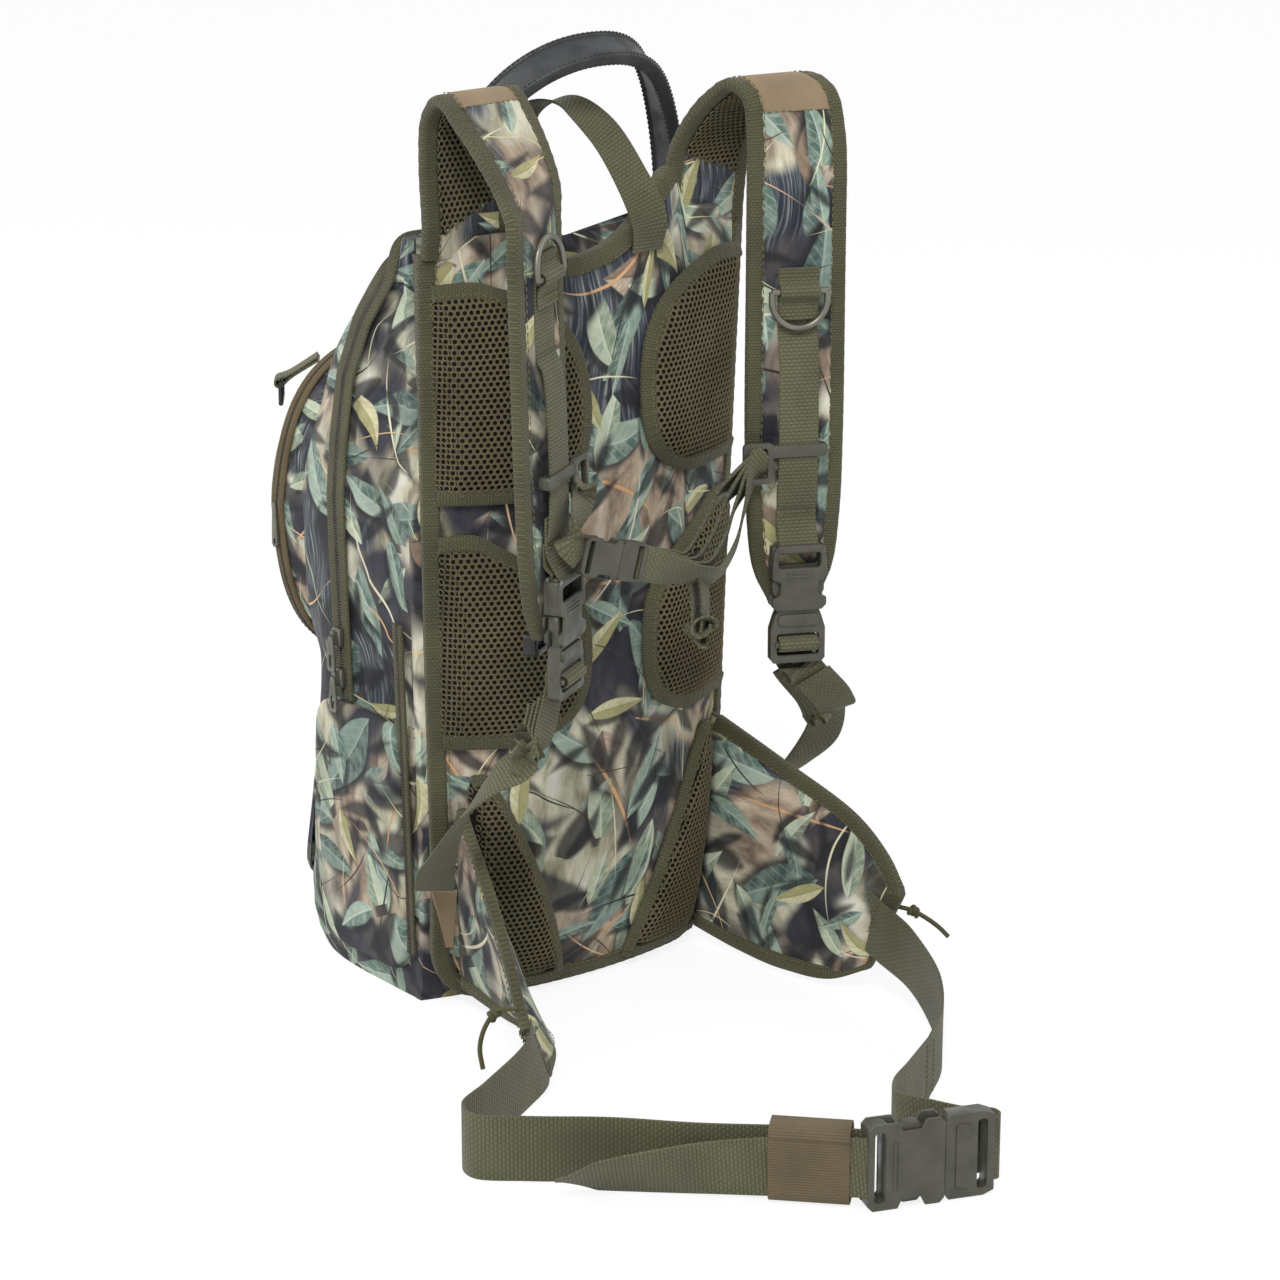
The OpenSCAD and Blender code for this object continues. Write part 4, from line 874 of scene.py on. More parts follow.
@dataclass(frozen=True)
class Cloth(Finish):
    """A woven finish: colour or print, weave and nap."""

    ribs: float
    threads: float
    bump: float
    rough: float = 0.8
    printed: bool = False
    nap: float = 0.15
    # share of the colour kept in the weave grooves: painted groove shade
    groove_shade: float = 0.55

    def make(self, book: Finishes) -> Material:
        """Builds the material.

        Args:
            book: Shared groups.
        Returns:
            The material.
        """
        mat, g, coord, wear = self.begin(book, 22.0)
        cloth = coord.outputs["UV"]
        weave = g.use(book.weave, {"Vector": cloth, "Along": self.ribs, "Across": self.threads})
        shade = weave.outputs["Shade"]
        if self.printed:
            base = g.use(book.camo, {"Vector": cloth}).outputs["Color"]
        else:
            # painted shade: the weave's Shade darkens the colour in the grooves between ribs, with random
            # yarn tone
            shaded_color = tuple(c * self.groove_shade for c in srgb(self.color)[:3]) + (1.0,)
            base = g.mix(shade, shaded_color, srgb(self.color))
        rough = g.range(shade, 0.0, 1.0, self.rough + 0.1, self.rough - 0.08)
        height = g.math("ADD", weave.outputs["Height"], g.mul(wear.outputs["Grain"], 0.3))
        skin = self.close(g, wear, base, rough, {"Strength": 0.55, "Distance": self.bump, "Height": height})
        for key, value in (("Sheen Weight", self.nap), ("Sheen Roughness", 0.5), ("Specular IOR Level", 0.3)):
            skin.inputs[key].default_value = value
        return mat


@dataclass(frozen=True)
class Solid(Finish):
    """A moulded, rubber or metal finish with grain and handling marks."""

    rough: float
    metal: float = 0.0
    grain: float = 0.00008
    spread: float = 0.12

    def make(self, book: Finishes) -> Material:
        """Builds the material.

        Args:
            book: Shared groups.
        Returns:
            The material.
        """
        mat, g, _, wear = self.begin(book, 70.0)
        rough = g.range(wear.outputs["Tone"], 0.8, 1.12, self.rough + self.spread, self.rough - self.spread)
        relief = {"Strength": 0.4, "Distance": self.grain, "Height": wear.outputs["Grain"]}
        self.close(g, wear, srgb(self.color), rough, relief).inputs["Metallic"].default_value = self.metal
        return mat


CLOTHS = {
    "camo": Cloth("printed_camo_cloth", "6d7460", 2400.0, 2400.0, 0.00012, 0.74, True, 0.08),
    "webbing": Cloth("olive_webbing", "6b6a50", 440.0, 300.0, 0.0008, 0.72, False, 0.12, 0.34),
    "binding": Cloth("olive_binding", "605d44", 560.0, 380.0, 0.0007, 0.78, False, 0.12, 0.3),
    "zip_tape": Cloth("brown_zip_tape", "6b5c42", 1100.0, 800.0, 0.0002, 0.75, False, 0.1, 0.6),
    "tan": Cloth("tan_cloth", "a18c70", 1600.0, 1600.0, 0.0002, 0.8, False, 0.1, 0.7),
    "elastic": Cloth("tan_elastic", "75674f", 620.0, 500.0, 0.0005, 0.8, False, 0.1, 0.45),
    "lining": Cloth("grey_lining", "46483f", 2200.0, 2200.0, 0.0001, 0.7, False, 0.05, 0.7),
    # near-black backing: its own dark colour plus painted shade for the mesh holes and the pad edges by the
    # binding
    "foam": Cloth("mesh_backing_and_hole_shade", "17140c", 1500.0, 1500.0, 0.0003, 0.9, False, 0.05, 0.5),
    "cord": Cloth("braided_cord", "63603f", 1500.0, 1500.0, 0.0003, 0.75, False, 0.1, 0.45),
    "thread": Cloth("sewing_thread", "7d784f", 3000.0, 3000.0, 0.00005, 0.6, False, 0.0, 0.75),
    "spacer": Cloth("spacer_mesh_yarn", "7a7154", 2500.0, 2500.0, 0.0001, 0.8, False, 0.1, 0.7),
}
SOLIDS = {
    "plastic": Solid("moulded_buckle_plastic", "4b4a40", 0.42),
    "clip": Solid("dark_clip_plastic", "1c1d1d", 0.38),
    "metal": Solid("grey_ring_metal", "77766c", 0.4, 0.75),
    "teeth": Solid("zip_coil", "3d3a2a", 0.4),
    "rubber": Solid("handle_rubber", "2e3032", 0.62, 0.0, 0.00015),
    "sheet": Solid("stiffener_sheet", "303234", 0.5),
}


class Workshop:
    """Turns patches into pieces on bodies, with stitches, zip coils and mesh cells from Geometry Nodes."""

    def __init__(self, frame: dict, book: Finishes) -> None:
        """Takes the loaded frame and the finishes."""
        self.frame = frame
        self.book = book

    def piece(self, name: str, patch: Patch, finish: str, *more: str, slot: str = "",
              crease: float = 0.0) -> Thing:
        """Makes a mesh object from a patch.

        Args:
            name: Piece name.
            patch: Its mesh.
            finish: Finish of material number 0.
            more: Finishes of the numbers after it.
            slot: Not used.
            crease: Angle in degrees above which an edge stays sharp, where it isn't the usual one.
        Returns:
            The object.
        """
        usual, sharp = USUAL[finish]
        mesh = bpy.data.meshes.new(name)
        mesh.from_pydata(to_part(patch.verts).tolist(), [], patch.faces)
        layer = mesh.uv_layers.new(name="cloth")
        index = np.zeros(len(mesh.loops), dtype=np.int32)
        mesh.loops.foreach_get("vertex_index", index)
        layer.data.foreach_set("uv", patch.uv[index].astype(np.float32).ravel())
        mesh.polygons.foreach_set("material_index", np.array(patch.mats, dtype=np.int32))
        bm = bmesh.new()
        bm.from_mesh(mesh)
        bmesh.ops.recalc_face_normals(bm, faces=bm.faces)
        bm.to_mesh(mesh)
        bm.free()
        mesh.polygons.foreach_set("use_smooth", np.ones(len(mesh.polygons), dtype=bool))
        mesh.set_sharp_from_angle(angle=math.radians(crease or sharp))
        for word in (finish, *more):
            mesh.materials.append(self.book[word])
        obj = link(name, mesh)
        return obj

    def fit(self, name: str, patch: Patch, finish: str, body: Body | str, *nodes: str,
            **rest: str | float) -> Thing:
        """Makes a piece of one finish and seats it on a body.

        Args:
            name: Piece name.
            patch: Its mesh.
            finish: Its finish.
            body: Its body.
            nodes: Nodes that it replaces.
            rest: Slot or crease, where it isn't the usual one.
        Returns:
            The piece.
        """
        return self.seat(self.piece(name, patch, finish, **rest), body, *nodes)

    def thicken(self, obj: Thing, wall: float) -> None:
        """Gives an open cloth shell its wall and lining."""
        mod = obj.modifiers.new("wall", "SOLIDIFY")
        mod.thickness = wall * MM
        mod.offset = -1.0
        mod.material_offset = 1
        graph = bpy.context.evaluated_depsgraph_get()
        mesh = bpy.data.meshes.new_from_object(obj.evaluated_get(graph))
        old = obj.data
        obj.modifiers.clear()
        obj.data = mesh
        mesh.name = obj.name
        bpy.data.meshes.remove(old)

    def seat(self, obj: Thing, body: Body | str, *nodes: str) -> Thing:
        """Rides a piece on a body and hides the solids it stands for.

        Args:
            obj: The piece.
            body: Its body.
            nodes: Nodes that it replaces.
        Returns:
            The piece.
        """
        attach(obj, body.value if isinstance(body, Body) else body)
        return self.note(obj, *nodes)

    def across(self, obj: Thing, a: Body, b: Body, start: Point, end: Point, *nodes: str) -> Thing:
        """Bakes the placement of a piece into its mesh and hides the nodes it replaces."""
        tuple(to_part(start))
        tuple(to_part(end))
        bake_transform(obj)
        return self.note(obj, *nodes)

    def note(self, obj: Thing, *nodes: str) -> Thing:
        """Hides the replaced solids and reports the piece."""
        if nodes:
            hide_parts(*nodes)
        LOG.info("%s: %d faces", obj.name, len(obj.data.polygons))
        return obj

    def repaint(self, node: str, finish: str) -> None:
        """Gives a rigid node that stays a procedural finish."""
        data = self.frame["nodes"][node].data
        data.materials.clear()
        data.materials.append(self.book[finish])

    def lines(self, name: str, rows: Sequence[Array]) -> Thing:
        """Makes a curve object from point rows."""
        curve = bpy.data.curves.new(name, "CURVE")
        curve.dimensions = "3D"
        for row in rows:
            pts = to_part(row)
            line = curve.splines.new("POLY")
            line.points.add(len(pts) - 1)
            line.points.foreach_set("co", np.c_[pts, np.ones(len(pts))].astype(np.float32).ravel())
        return link(name, curve)

    def grow(self, obj: Thing, tree: Tree, values: dict[str, object], slot: str) -> Thing:
        """Runs a geometry tree on an object and keeps the plain mesh.

        Args:
            obj: Curve or mesh that feeds the tree; it is removed.
            tree: The tree.
            values: Its inputs by name.
            slot: Not used.
        Returns:
            The new mesh object.
        """
        mod = obj.modifiers.new("grow", "NODES")
        mod.node_group = tree
        for item in tree.interface.items_tree:
            if item.in_out == "INPUT" and item.name in values:
                mod[item.identifier] = values[item.name]
        obj.update_tag()
        bpy.context.view_layer.update()
        graph = bpy.context.evaluated_depsgraph_get()
        mesh = bpy.data.meshes.new_from_object(obj.evaluated_get(graph))
        name = obj.name
        obj.modifiers.clear()
        bpy.data.objects.remove(obj)
        made = link(name, mesh)
        mesh.name = name
        mesh.polygons.foreach_set("use_smooth", np.ones(len(mesh.polygons), dtype=bool))
        return made

    @cached_property
    def bead_tree(self) -> Tree:
        """Tree that lays small long beads end to end along curves: stitches and zip coils.

        Returns:
            The tree.
        """
        takes = {"Geometry": "Geometry", "Spacing": "Float", "Length": "Float", "Girth": "Float"}
        takes["Finish"] = "Material"
        g = Nodes.group("bead_row", takes, {"Geometry": "Geometry"}, "GeometryNodeTree")
        row = g.add("GeometryNodeResampleCurve",
                    {"Curve": g.source["Geometry"], "Length": g.source["Spacing"]}, mode="LENGTH")
        ball = g.add("GeometryNodeMeshUVSphere", {"Segments": 6, "Rings": 4, "Radius": 0.5})
        size = g.join3(g.source["Girth"], g.source["Girth"], g.source["Length"])
        bead = g.add("GeometryNodeTransform", {"Geometry": ball.outputs["Mesh"], "Scale": size})
        return self.close(g, row.outputs[0], bead, g.add("GeometryNodeInputTangent"))

    @cached_property
    def cell_tree(self) -> Tree:
        """Tree that sets a six-sided yarn ring on every point of a mesh.

        Returns:
            The tree.
        """
        g = Nodes.group("mesh_cells", {"Geometry": "Geometry", "Radius": "Float", "Yarn": "Float",
                                       "Finish": "Material"}, {"Geometry": "Geometry"}, "GeometryNodeTree")
        loop = g.add("GeometryNodeMeshCircle", {"Vertices": 6, "Radius": g.source["Radius"]},
                     fill_type="NONE")
        line = g.add("GeometryNodeMeshToCurve", {"Mesh": loop.outputs[0]})
        yarn = g.add("GeometryNodeCurvePrimitiveCircle", {"Resolution": 4, "Radius": g.source["Yarn"]})
        ring = g.add("GeometryNodeCurveToMesh", {"Curve": line.outputs[0], "Profile Curve": yarn.outputs[0]})
        name = g.add("GeometryNodeInputNamedAttribute", {"Name": "cell_normal"}, data_type="FLOAT_VECTOR")
        return self.close(g, g.source["Geometry"], ring, name)

    def close(self, g: Nodes, points: Socket, shape: Node,
              way: Node) -> Tree:
        """Sets a shape on points and ends the tree in real meshes with their material.

        Args:
            g: Helper on the tree.
            points: Where the shapes go.
            shape: What goes there.
            way: Direction of each one.
        Returns:
            The tree.
        """
        turn = g.add("FunctionNodeAlignRotationToVector", {"Vector": way.outputs[0]}, axis="Z")
        put = g.add("GeometryNodeInstanceOnPoints", {"Points": points, "Instance": shape.outputs[0],
                                                     "Rotation": turn.outputs[0]})
        real = g.add("GeometryNodeRealizeInstances", {"Geometry": put.outputs[0]})
        skin = g.add("GeometryNodeSetMaterial", {"Geometry": real.outputs[0], "Material": g.source["Finish"]})
        g.out({"Geometry": skin.outputs[0]})
        return g.tree

    def stitches(self, name: str, rows: Sequence[Array], spacing: float = 4.4, long: float = 3.2,
                 girth: float = 0.8, finish: str = "thread", slot: str = "webbing") -> Thing:
        """Sews rows of stitches along lines in the fitting frame.

        Args:
            name: Piece name.
            rows: Lines to sew along.
            spacing: Distance between stitches in millimetres.
            long: Length of a stitch.
            girth: Thickness of the thread.
            finish: Thread finish.
            slot: Material slot.
        Returns:
            The piece, not yet on a body.
        """
        values = {"Spacing": spacing * MM, "Length": long * MM, "Girth": girth * MM,
                  "Finish": self.book[finish]}
        return self.grow(self.lines(name, rows), self.bead_tree, values, slot)

    def sew(self, name: str, rows: Sequence[Array], body: Body | str, *sizes: float) -> None:
        """Sews rows of stitches on a body, with their spacing, length and girth."""
        self.seat(self.stitches(name, rows, *sizes), body)

    def coil(self, name: str, line: Array, body: Body, girth: float) -> None:
        """Lays the coil of a zip on a body."""
        self.seat(self.stitches(name, [line], COIL_PITCH, COIL_LONG, girth, "teeth", "zip_brown"), body)

    def cells(self, name: str, points: Array, normals: Array) -> Thing:
        """Knits open mesh cells over a surface.

        Args:
            name: Piece name.
            points: Middle of each cell.
            normals: Direction out of the surface at each cell.
        Returns:
            The piece, not yet on a body.
        """
        mesh = bpy.data.meshes.new(name)
        mesh.from_pydata(to_part(points).tolist(), [], [])
        layer = mesh.attributes.new("cell_normal", "FLOAT_VECTOR", "POINT")
        layer.data.foreach_set("vector", np.asarray(normals, np.float32).ravel())
        values = {"Radius": MESH_CELL * MM, "Yarn": MESH_YARN * MM, "Finish": self.book["spacer"]}
        return self.grow(link(name, mesh), self.cell_tree, values, "mesh")


@dataclass
class BagForm:
    """Main shape of the pack, shared by all pieces, in the fitting frame."""

    width: float = 246.0
    foot_width: float = 220.0
    height: float = 494.0
    depth: float = 184.0
    bow_mid: float = 38.0
    foot_tuck: float = 9.0
    top_lean: float = 11.0
    rear_gap: float = 11.8
    lobe: float = 5.0
    zip_y: float = 92.0
    lid_fold: float = 172.0
    levels: tuple[tuple[float, float], ...] = (
        (0, 0.91), (0.016, 0.98), (0.04, 1.02), (0.08, 1.035), (0.18, 0.98), (0.27, 0.926),
        (0.36, 0.92), (0.405, 0.932), (0.466, 0.966), (0.547, 0.983), (0.628, 0.96), (0.713, 0.886),
        (0.81, 0.727), (0.879, 0.585), (0.925, 0.40), (0.96, 0.205), (0.985, 0.125), (1, 0.08))

    def half(self, z: Array) -> Array:
        """Half width at a height."""
        k = np.clip(np.asarray(z, float) / self.height, 0, 1.1)
        return (self.foot_width + (self.width - self.foot_width) * k) / 2

    def tuck(self, z: Array) -> Array:
        """How far the back edge stands from upright."""
        k = np.asarray(z, float) / self.height
        return self.foot_tuck * np.maximum(0, 1 - k / 0.2) ** 2 - self.top_lean * k**2

    def face(self, x: Array, z: Array) -> Array:
        """Front of the back panel, towards the wearer."""
        k = np.asarray(z, float) / self.height
        bow = self.bow_mid * (1 - 0.68 * (np.abs(k - 0.5) / 0.55) ** 2.4)
        return self.tuck(z) - bow * (1 - (np.asarray(x, float) / self.half(z)) ** 2)

    def front(self, z: Array) -> Array:
        """Depth of the bag at a height."""
        k, v = np.array(self.levels).T
        return self.depth * np.interp(np.asarray(z, float) / self.height, k, v)

    def dip(self, x: Array, z: Array) -> Array:
        """How far the middle of the top sinks."""
        k = np.maximum(0, np.asarray(z, float) / self.height - 0.86) / 0.14
        return k * 30 * np.maximum(0, 1 - (np.asarray(x, float) / self.half(z) / 0.68) ** 2)

    def rear(self, z: Array) -> Array:
        """Rear edge of the bag sides."""
        return self.rear_gap + self.tuck(z)

    def side_x(self, y: Array, z: Array, grow: float = 0.0) -> Array:
        """Half width of the bag wall at a depth and height."""
        t = np.clip((np.asarray(y, float) - self.rear(z)) / (self.front(z) - self.rear(z)), 0, 1)
        return (self.half(z) + grow) * (1 - t**self.lobe) ** (1 / self.lobe)

    def front_y(self, x: Array, z: Array) -> Array:
        """Depth of the bag wall at a place across and a height."""
        t = np.clip(np.abs(np.asarray(x, float)) / self.half(z), 0, 1)
        return self.rear(z) + (self.front(z) - self.rear(z)) * (1 - t**self.lobe) ** (1 / self.lobe)

    def zip_at(self, z: Array) -> Array:
        """Depth of the main zip at a height."""
        h = self.height
        zs = [0.0, 0.645 * h, 0.716 * h, 0.806 * h, 0.887 * h, 0.951 * h, 1.08 * h]
        ys = [0.0, 0.0, -6.0, -17.0, -40.0, -68.0, -84.0]
        return self.zip_y + np.interp(z, zs, ys)

    @property
    def zip_foot(self) -> float:
        """Height of the lower end of the main zip."""
        return 0.372 * self.height

    def fold_at(self, y: Array) -> Array:
        """Height of the fold line of the lid."""
        reach = float(self.front(self.lid_fold))
        drop = (self.zip_foot - self.lid_fold) * (reach - np.asarray(y, float))
        return self.lid_fold + drop / (reach - self.zip_y)


@dataclass
class Stage:
    """Camera, floor and soft light."""

    eye: tuple[float, float, float] = (-1.3627, -1.9005, 0.9093)
    aim: tuple[float, float, float] = (0.0503, -0.092, 0.2146)
    heart: tuple[float, float, float] = (0.0, -0.1, 0.25)
    lens: float = 105.36

    def build(self) -> None:
        """Sets the camera, the floor, the lamps and the white surroundings."""
        scene = bpy.context.scene
        scene.view_settings.view_transform = "Standard"
        cam = link("camera", bpy.data.cameras.new("camera"))
        cam.data.lens = self.lens
        cam.data.sensor_width = 36.0
        cam.data.clip_end = 50.0
        aim(cam, self.eye, self.aim)
        scene.camera = cam
        self.lamp("key", (-1.5, -1.7, 2.5), 57.0, 0.9)
        self.lamp("fill", (2.2, -1.3, 1.5), 11.0, 1.8)
        self.lamp("rim", (-1.6, 1.6, 2.0), 22.0, 1.4)
        self.floor()
        self.world()

    def lamp(self, name: str, place: tuple[float, float, float], power: float, size: float) -> None:
        """Adds a soft box aimed at the pack."""
        data = bpy.data.lights.new(name, "AREA")
        data.energy = power
        data.size = size
        aim(link(name, data), place, self.heart)

    def white(self, g: Nodes) -> Socket:
        """Share of rays that see the plain white of the surroundings."""
        path = g.add("ShaderNodeLightPath")
        seen = g.math("MAXIMUM", path.outputs["Is Camera Ray"], path.outputs["Is Glossy Ray"])
        return g.math("MAXIMUM", seen, path.outputs["Is Transmission Ray"])

    def floor(self) -> None:
        """Pale floor that keeps the shadow of the pack."""
        mesh = bpy.data.meshes.new("floor")
        mesh.from_pydata([(-9, -9, 0), (9, -9, 0), (9, 9, 0), (-9, 9, 0)], [], [(0, 1, 2, 3)])
        mat = bpy.data.materials.new("pale_floor")
        mat.use_nodes = True
        g = Nodes(mat.node_tree)
        skin = g.tree.nodes["Principled BSDF"]
        skin.inputs["Base Color"].default_value = (0.9, 0.9, 0.9, 1.0)
        skin.inputs["Roughness"].default_value = 0.45
        glow = g.add("ShaderNodeEmission", {"Color": (1.0, 1.0, 1.0, 1.0), "Strength": 1.1})
        mix = g.add("ShaderNodeMixShader", {"Fac": g.mul(self.white(g), 0.78)})
        g.tree.links.new(skin.outputs[0], mix.inputs[1])
        g.tree.links.new(glow.outputs[0], mix.inputs[2])
        g.tree.links.new(mix.outputs[0], g.tree.nodes["Material Output"].inputs["Surface"])
        mesh.materials.append(mat)
        obj = link("floor", mesh)

    def world(self) -> None:
        """White surroundings that light the pack softly."""
        world = bpy.data.worlds.new("studio")
        world.use_nodes = True
        bpy.context.scene.world = world
        g = Nodes(world.node_tree)
        back = g.tree.nodes["Background"]
        back.inputs["Color"].default_value = (1.0, 1.0, 1.0, 1.0)
        g.put(back.inputs["Strength"], g.range(self.white(g), 0.0, 1.0, 0.41, 1.05))


@dataclass
class FinCords:
    """Knotted pull cords at the fin ends."""

    shop: Workshop
    dia: float = 3.0
    routes: dict[str, tuple[Point, ...]] = field(default_factory=lambda: {
        "right": ((130, -161.5, 62.5), (139, -166, 59), (146, -171, 54), (152, -177, 48), (156, -182, 42)),
        "left": ((-144, -130.3, 52.4), (-152, -121, 50), (-157, -115, 39), (-159, -112, 25),
                 (-157, -112, 11))})

    def build(self) -> None:
        """Makes each cord with its knot."""
        for side, route in self.routes.items():
            path = spline(route, 28)
            body = f"fin_{side}"
            obj = self.shop.fit(f"fin_cord_{side}_braid", tube(path, self.dia / 2, 12), "cord", body,
                                f"fin_cord_{side}")
            knot = self.shop.fit(f"fin_cord_{side}_knot", self.knot(path, 8), "cord", body)
            line = to_part(path)
            tuple(line[0])
            float(lengths(line)[-1])
            self.dia * MM

    def knot(self, path: Array, at: int) -> Patch:
        """Overhand knot wound round the cord.

        Args:
            path: Line of the cord.
            at: Sample where the knot sits.
        Returns:
            The patch.
        """
        t = unit(path[at + 1] - path[at - 1])
        u = unit(np.cross(t, [0.2, 0.3, 1.0]))
        v = np.cross(t, u)
        a = np.linspace(0, 4.6 * math.pi, 60)
        r = 2.4 + 0.35 * np.sin(a * 1.5)
        across, out, along = np.cos(a) * r, np.sin(a) * r, (a / a[-1] - 0.5) * 6
        line = path[at] + across[:, None] * u + out[:, None] * v + along[:, None] * t
        return tube(line, 1.35, 8)


@dataclass
class BackPanel:
    """Padded panel against the wearer's back, with its edge binding and six mesh pads."""

    shop: Workshop
    form: BagForm
    foam: float = 9.0
    rim: float = 3.0
    foot: float = 3.0
    foot_round: float = 30.0
    top: float = 498.0
    neck_half: float = 58.0
    neck: tuple[tuple[float, float], ...] = (
        (-66, 498), (-60, 497), (-50, 484), (-36, 476.5), (-20, 475.5), (-8, 478), (4, 481),
        (21, 489), (35, 499), (44, 508), (53, 517), (60, 522), (64, 510), (67, 498))
    tape: float = 11.5
    pad_gap: float = 0.9
    pad_crown: float = 8.0
    border: float = 8.0
    tables: dict[str, tuple[tuple[float, float], ...]] = field(default_factory=lambda: {
        "upper": ((332, 62), (336, 48), (344, 34), (357, 24), (375, 20), (400, 20),
                  (424, 26), (442, 38), (455, 56), (463, 76), (468, 92)),
        "middle": ((175, 62), (180, 46), (189, 32), (204, 23), (230, 20),
                   (258, 24), (274, 36), (288, 54), (302, 76), (312, 92)),
        "lumbar": ((10, 26), (18, 27), (40, 34), (65, 43), (90, 53),
                   (115, 64), (138, 75), (150, 82), (156, 86))})

    def grid(self, inset: float, rows: int, cols: int) -> Array:
        """Points over the panel face.

        Args:
            inset: Distance in from the edge.
            rows: Rows upwards.
            cols: Columns across.
        Returns:
            Rows by columns of points.
        """
        u = np.linspace(-1, 1, cols)
        w0 = self.form.half(0) - inset
        x0 = np.abs(u) * w0
        r = self.foot_round
        corner = r - np.sqrt(np.maximum(0, r * r - (x0 - w0 + r) ** 2))
        z0 = self.foot + inset + np.where(x0 > w0 - r, corner, 0)
        x1 = u * (self.form.half(self.top) - inset)
        line = spline([(a, b, 0) for a, b in self.neck], 240)
        within = (x1 > self.neck[0][0]) & (x1 < self.neck[-1][0])
        z1 = np.where(within, np.interp(x1, line[:, 0], line[:, 1]), self.top) - inset
        k = np.linspace(0, 1, rows)[:, None]
        z = z0 * (1 - k) + z1 * k
        x = u * (self.form.half(z) - inset)
        return xyz(x, self.form.face(x, z), z)

    def edge(self, inset: float) -> Array:
        """Closed line round the panel, evenly spaced."""
        g = self.grid(inset, 90, 71)
        loop = np.vstack([g[0], g[1:, -1], g[-1, -2::-1], g[-2:0:-1, 0]])
        return resample(np.vstack([loop, loop[:1]]), 520)[:-1]

    def build(self) -> None:
        """Makes panel, binding and pads."""
        p = self.grid(self.rim, 130, 66)
        q = p + np.array([0, self.foam, 0])
        p[:, :, 1] += 0.9 * ripple(p, 38.0, 3.1) + 0.2
        panel = self.shop.fit("back_panel_cloth", shell(p, q, 0.4), "camo", Body.PACK, "back_panel")
        self.shop.repaint("frame_sheet", "sheet")
        outer = self.edge(self.tape / 2 - 0.3)
        inner = self.edge(self.tape / 2 + 4)
        mid = outer + np.array([0, 5.2, 0])
        mid[:, 1] += 0.25 * np.sin(np.arange(len(mid)) * 2 * math.pi / 3.1)
        roots = (mid[:, 2] > self.top - 10) & (np.abs(mid[:, 0]) > self.neck_half + 3)
        breaks = np.flatnonzero(roots)
        order = (np.arange(len(mid)) + breaks[0]) % len(mid)
        runs = np.split(order, np.flatnonzero(np.diff(roots[order].astype(int))) + 1)
        runs = [k for k in runs if not roots[k[0]] and len(k) > 3]
        tapes = [ribbon(mid[k], (inner - outer)[k], self.tape, 12.6, 2.4) for k in runs]
        self.shop.fit("panel_binding_tape", Patch.join(tapes), "binding", Body.PACK, "panel_binding")
        sewn = self.edge(self.tape - 2.6) + np.array([0, -1.35, 0])
        rows = [sewn[k] for k in runs] + [self.pad(name, side) for name in self.tables for side in SIDES]
        self.shop.sew("panel_stitches", rows, Body.PACK)

    def pad(self, name: str, side: int) -> Array:
        """Makes one mesh pad.

        Args:
            name: Which pad of the side.
            side: Left or right.
        Returns:
            Stitch line on its binding.
        """
        table = np.array(self.tables[name], float)
        margin = 20.0 if name == "lumbar" else 5.0
        outer_x = np.array([float(self.form.half(z)) - margin for z in (table[0, 0], table[-1, 0])])
        loop = np.vstack([[[outer_x[0], table[0, 0]]], table[:, ::-1], [[outer_x[1], table[-1, 0]]]])
        line = spline([(a, b, 0) for a, b in loop], 130)[:, :2]
        t = tangents(line)
        inward = np.stack([t[:, 1], -t[:, 0]], axis=1)
        border = 5.5 if name == "lumbar" else self.border
        kept = line + inward * (border - 1)
        kept = kept[(kept[:, 1] > table[0, 0] + border - 1.2) & (kept[:, 1] < table[-1, 0] - border + 1.2)]
        kept = kept[np.argsort(kept[:, 1])]

        def inner(z: Array) -> Array:
            """Inner edge of the mesh at a height."""
            return np.interp(z, kept[:, 1], kept[:, 0])

        def surface(x: Array, z: Array) -> Array:
            """Crowned face of the pad."""
            xi, xo = inner(z), self.form.half(z) - margin
            u = np.clip((np.abs(x) - xi) / np.maximum(xo - xi, 1), 0, 1)
            v = np.clip((z - kept[0, 1]) / (kept[-1, 1] - kept[0, 1]), 0, 1)
            swell = (1 - np.abs(2 * u - 1) ** 6) * (1 - np.abs(2 * v - 1) ** 6)
            base = 0.3 + 2.9 * np.clip((1 - u) * 7, 0, 1)
            y = self.form.face(x, z) - self.pad_gap - base - (self.pad_crown - 1.4) * swell**0.7
            return xyz(x, y, z)

        zs = np.linspace(kept[0, 1], kept[-1, 1], 48)
        u = np.linspace(0, 1, 26)
        z = np.repeat(zs[:, None], len(u), axis=1)
        x = side * (inner(zs)[:, None] * (1 - u) + (self.form.half(z) - margin) * u)
        p = surface(x, z)
        q = xyz(x, self.form.face(x, z) - self.pad_gap, z)
        node = f"pad_{name}_{SIDES[side]}"
        # foam shell in the backing finish, whose darkness is partly painted shade in the mesh holes and at
        # the edges
        foam = self.shop.fit(node + "_foam", shell(p + np.array([0, 0.7, 0]), q, 0.9), "foam", Body.PACK,
                             node)
        self.mesh_cells(node, kept, margin, side, inner, surface)
        flat = xyz(side * line[:, 0], 0, line[:, 1])
        wide = xyz(side * inward[:, 0], 0, inward[:, 1])
        mid = flat + wide * (border - 3)
        mid[:, 1] = self.form.face(mid[:, 0], mid[:, 2]) - self.pad_gap - 2.6
        mid[:, 1] += 0.3 * np.sin(np.arange(len(mid)) * 2 * math.pi / 2.9)
        slope = wide.copy()
        slope[:, 1] = -0.3
        self.shop.fit(node + "_binding", ribbon(mid, slope, border + 2.5, 4.4, 1.9), "binding", Body.PACK)
        sew = flat + wide * (border - 1.4)
        sew[:, 1] = mid[:, 1] - 2.7
        return sew

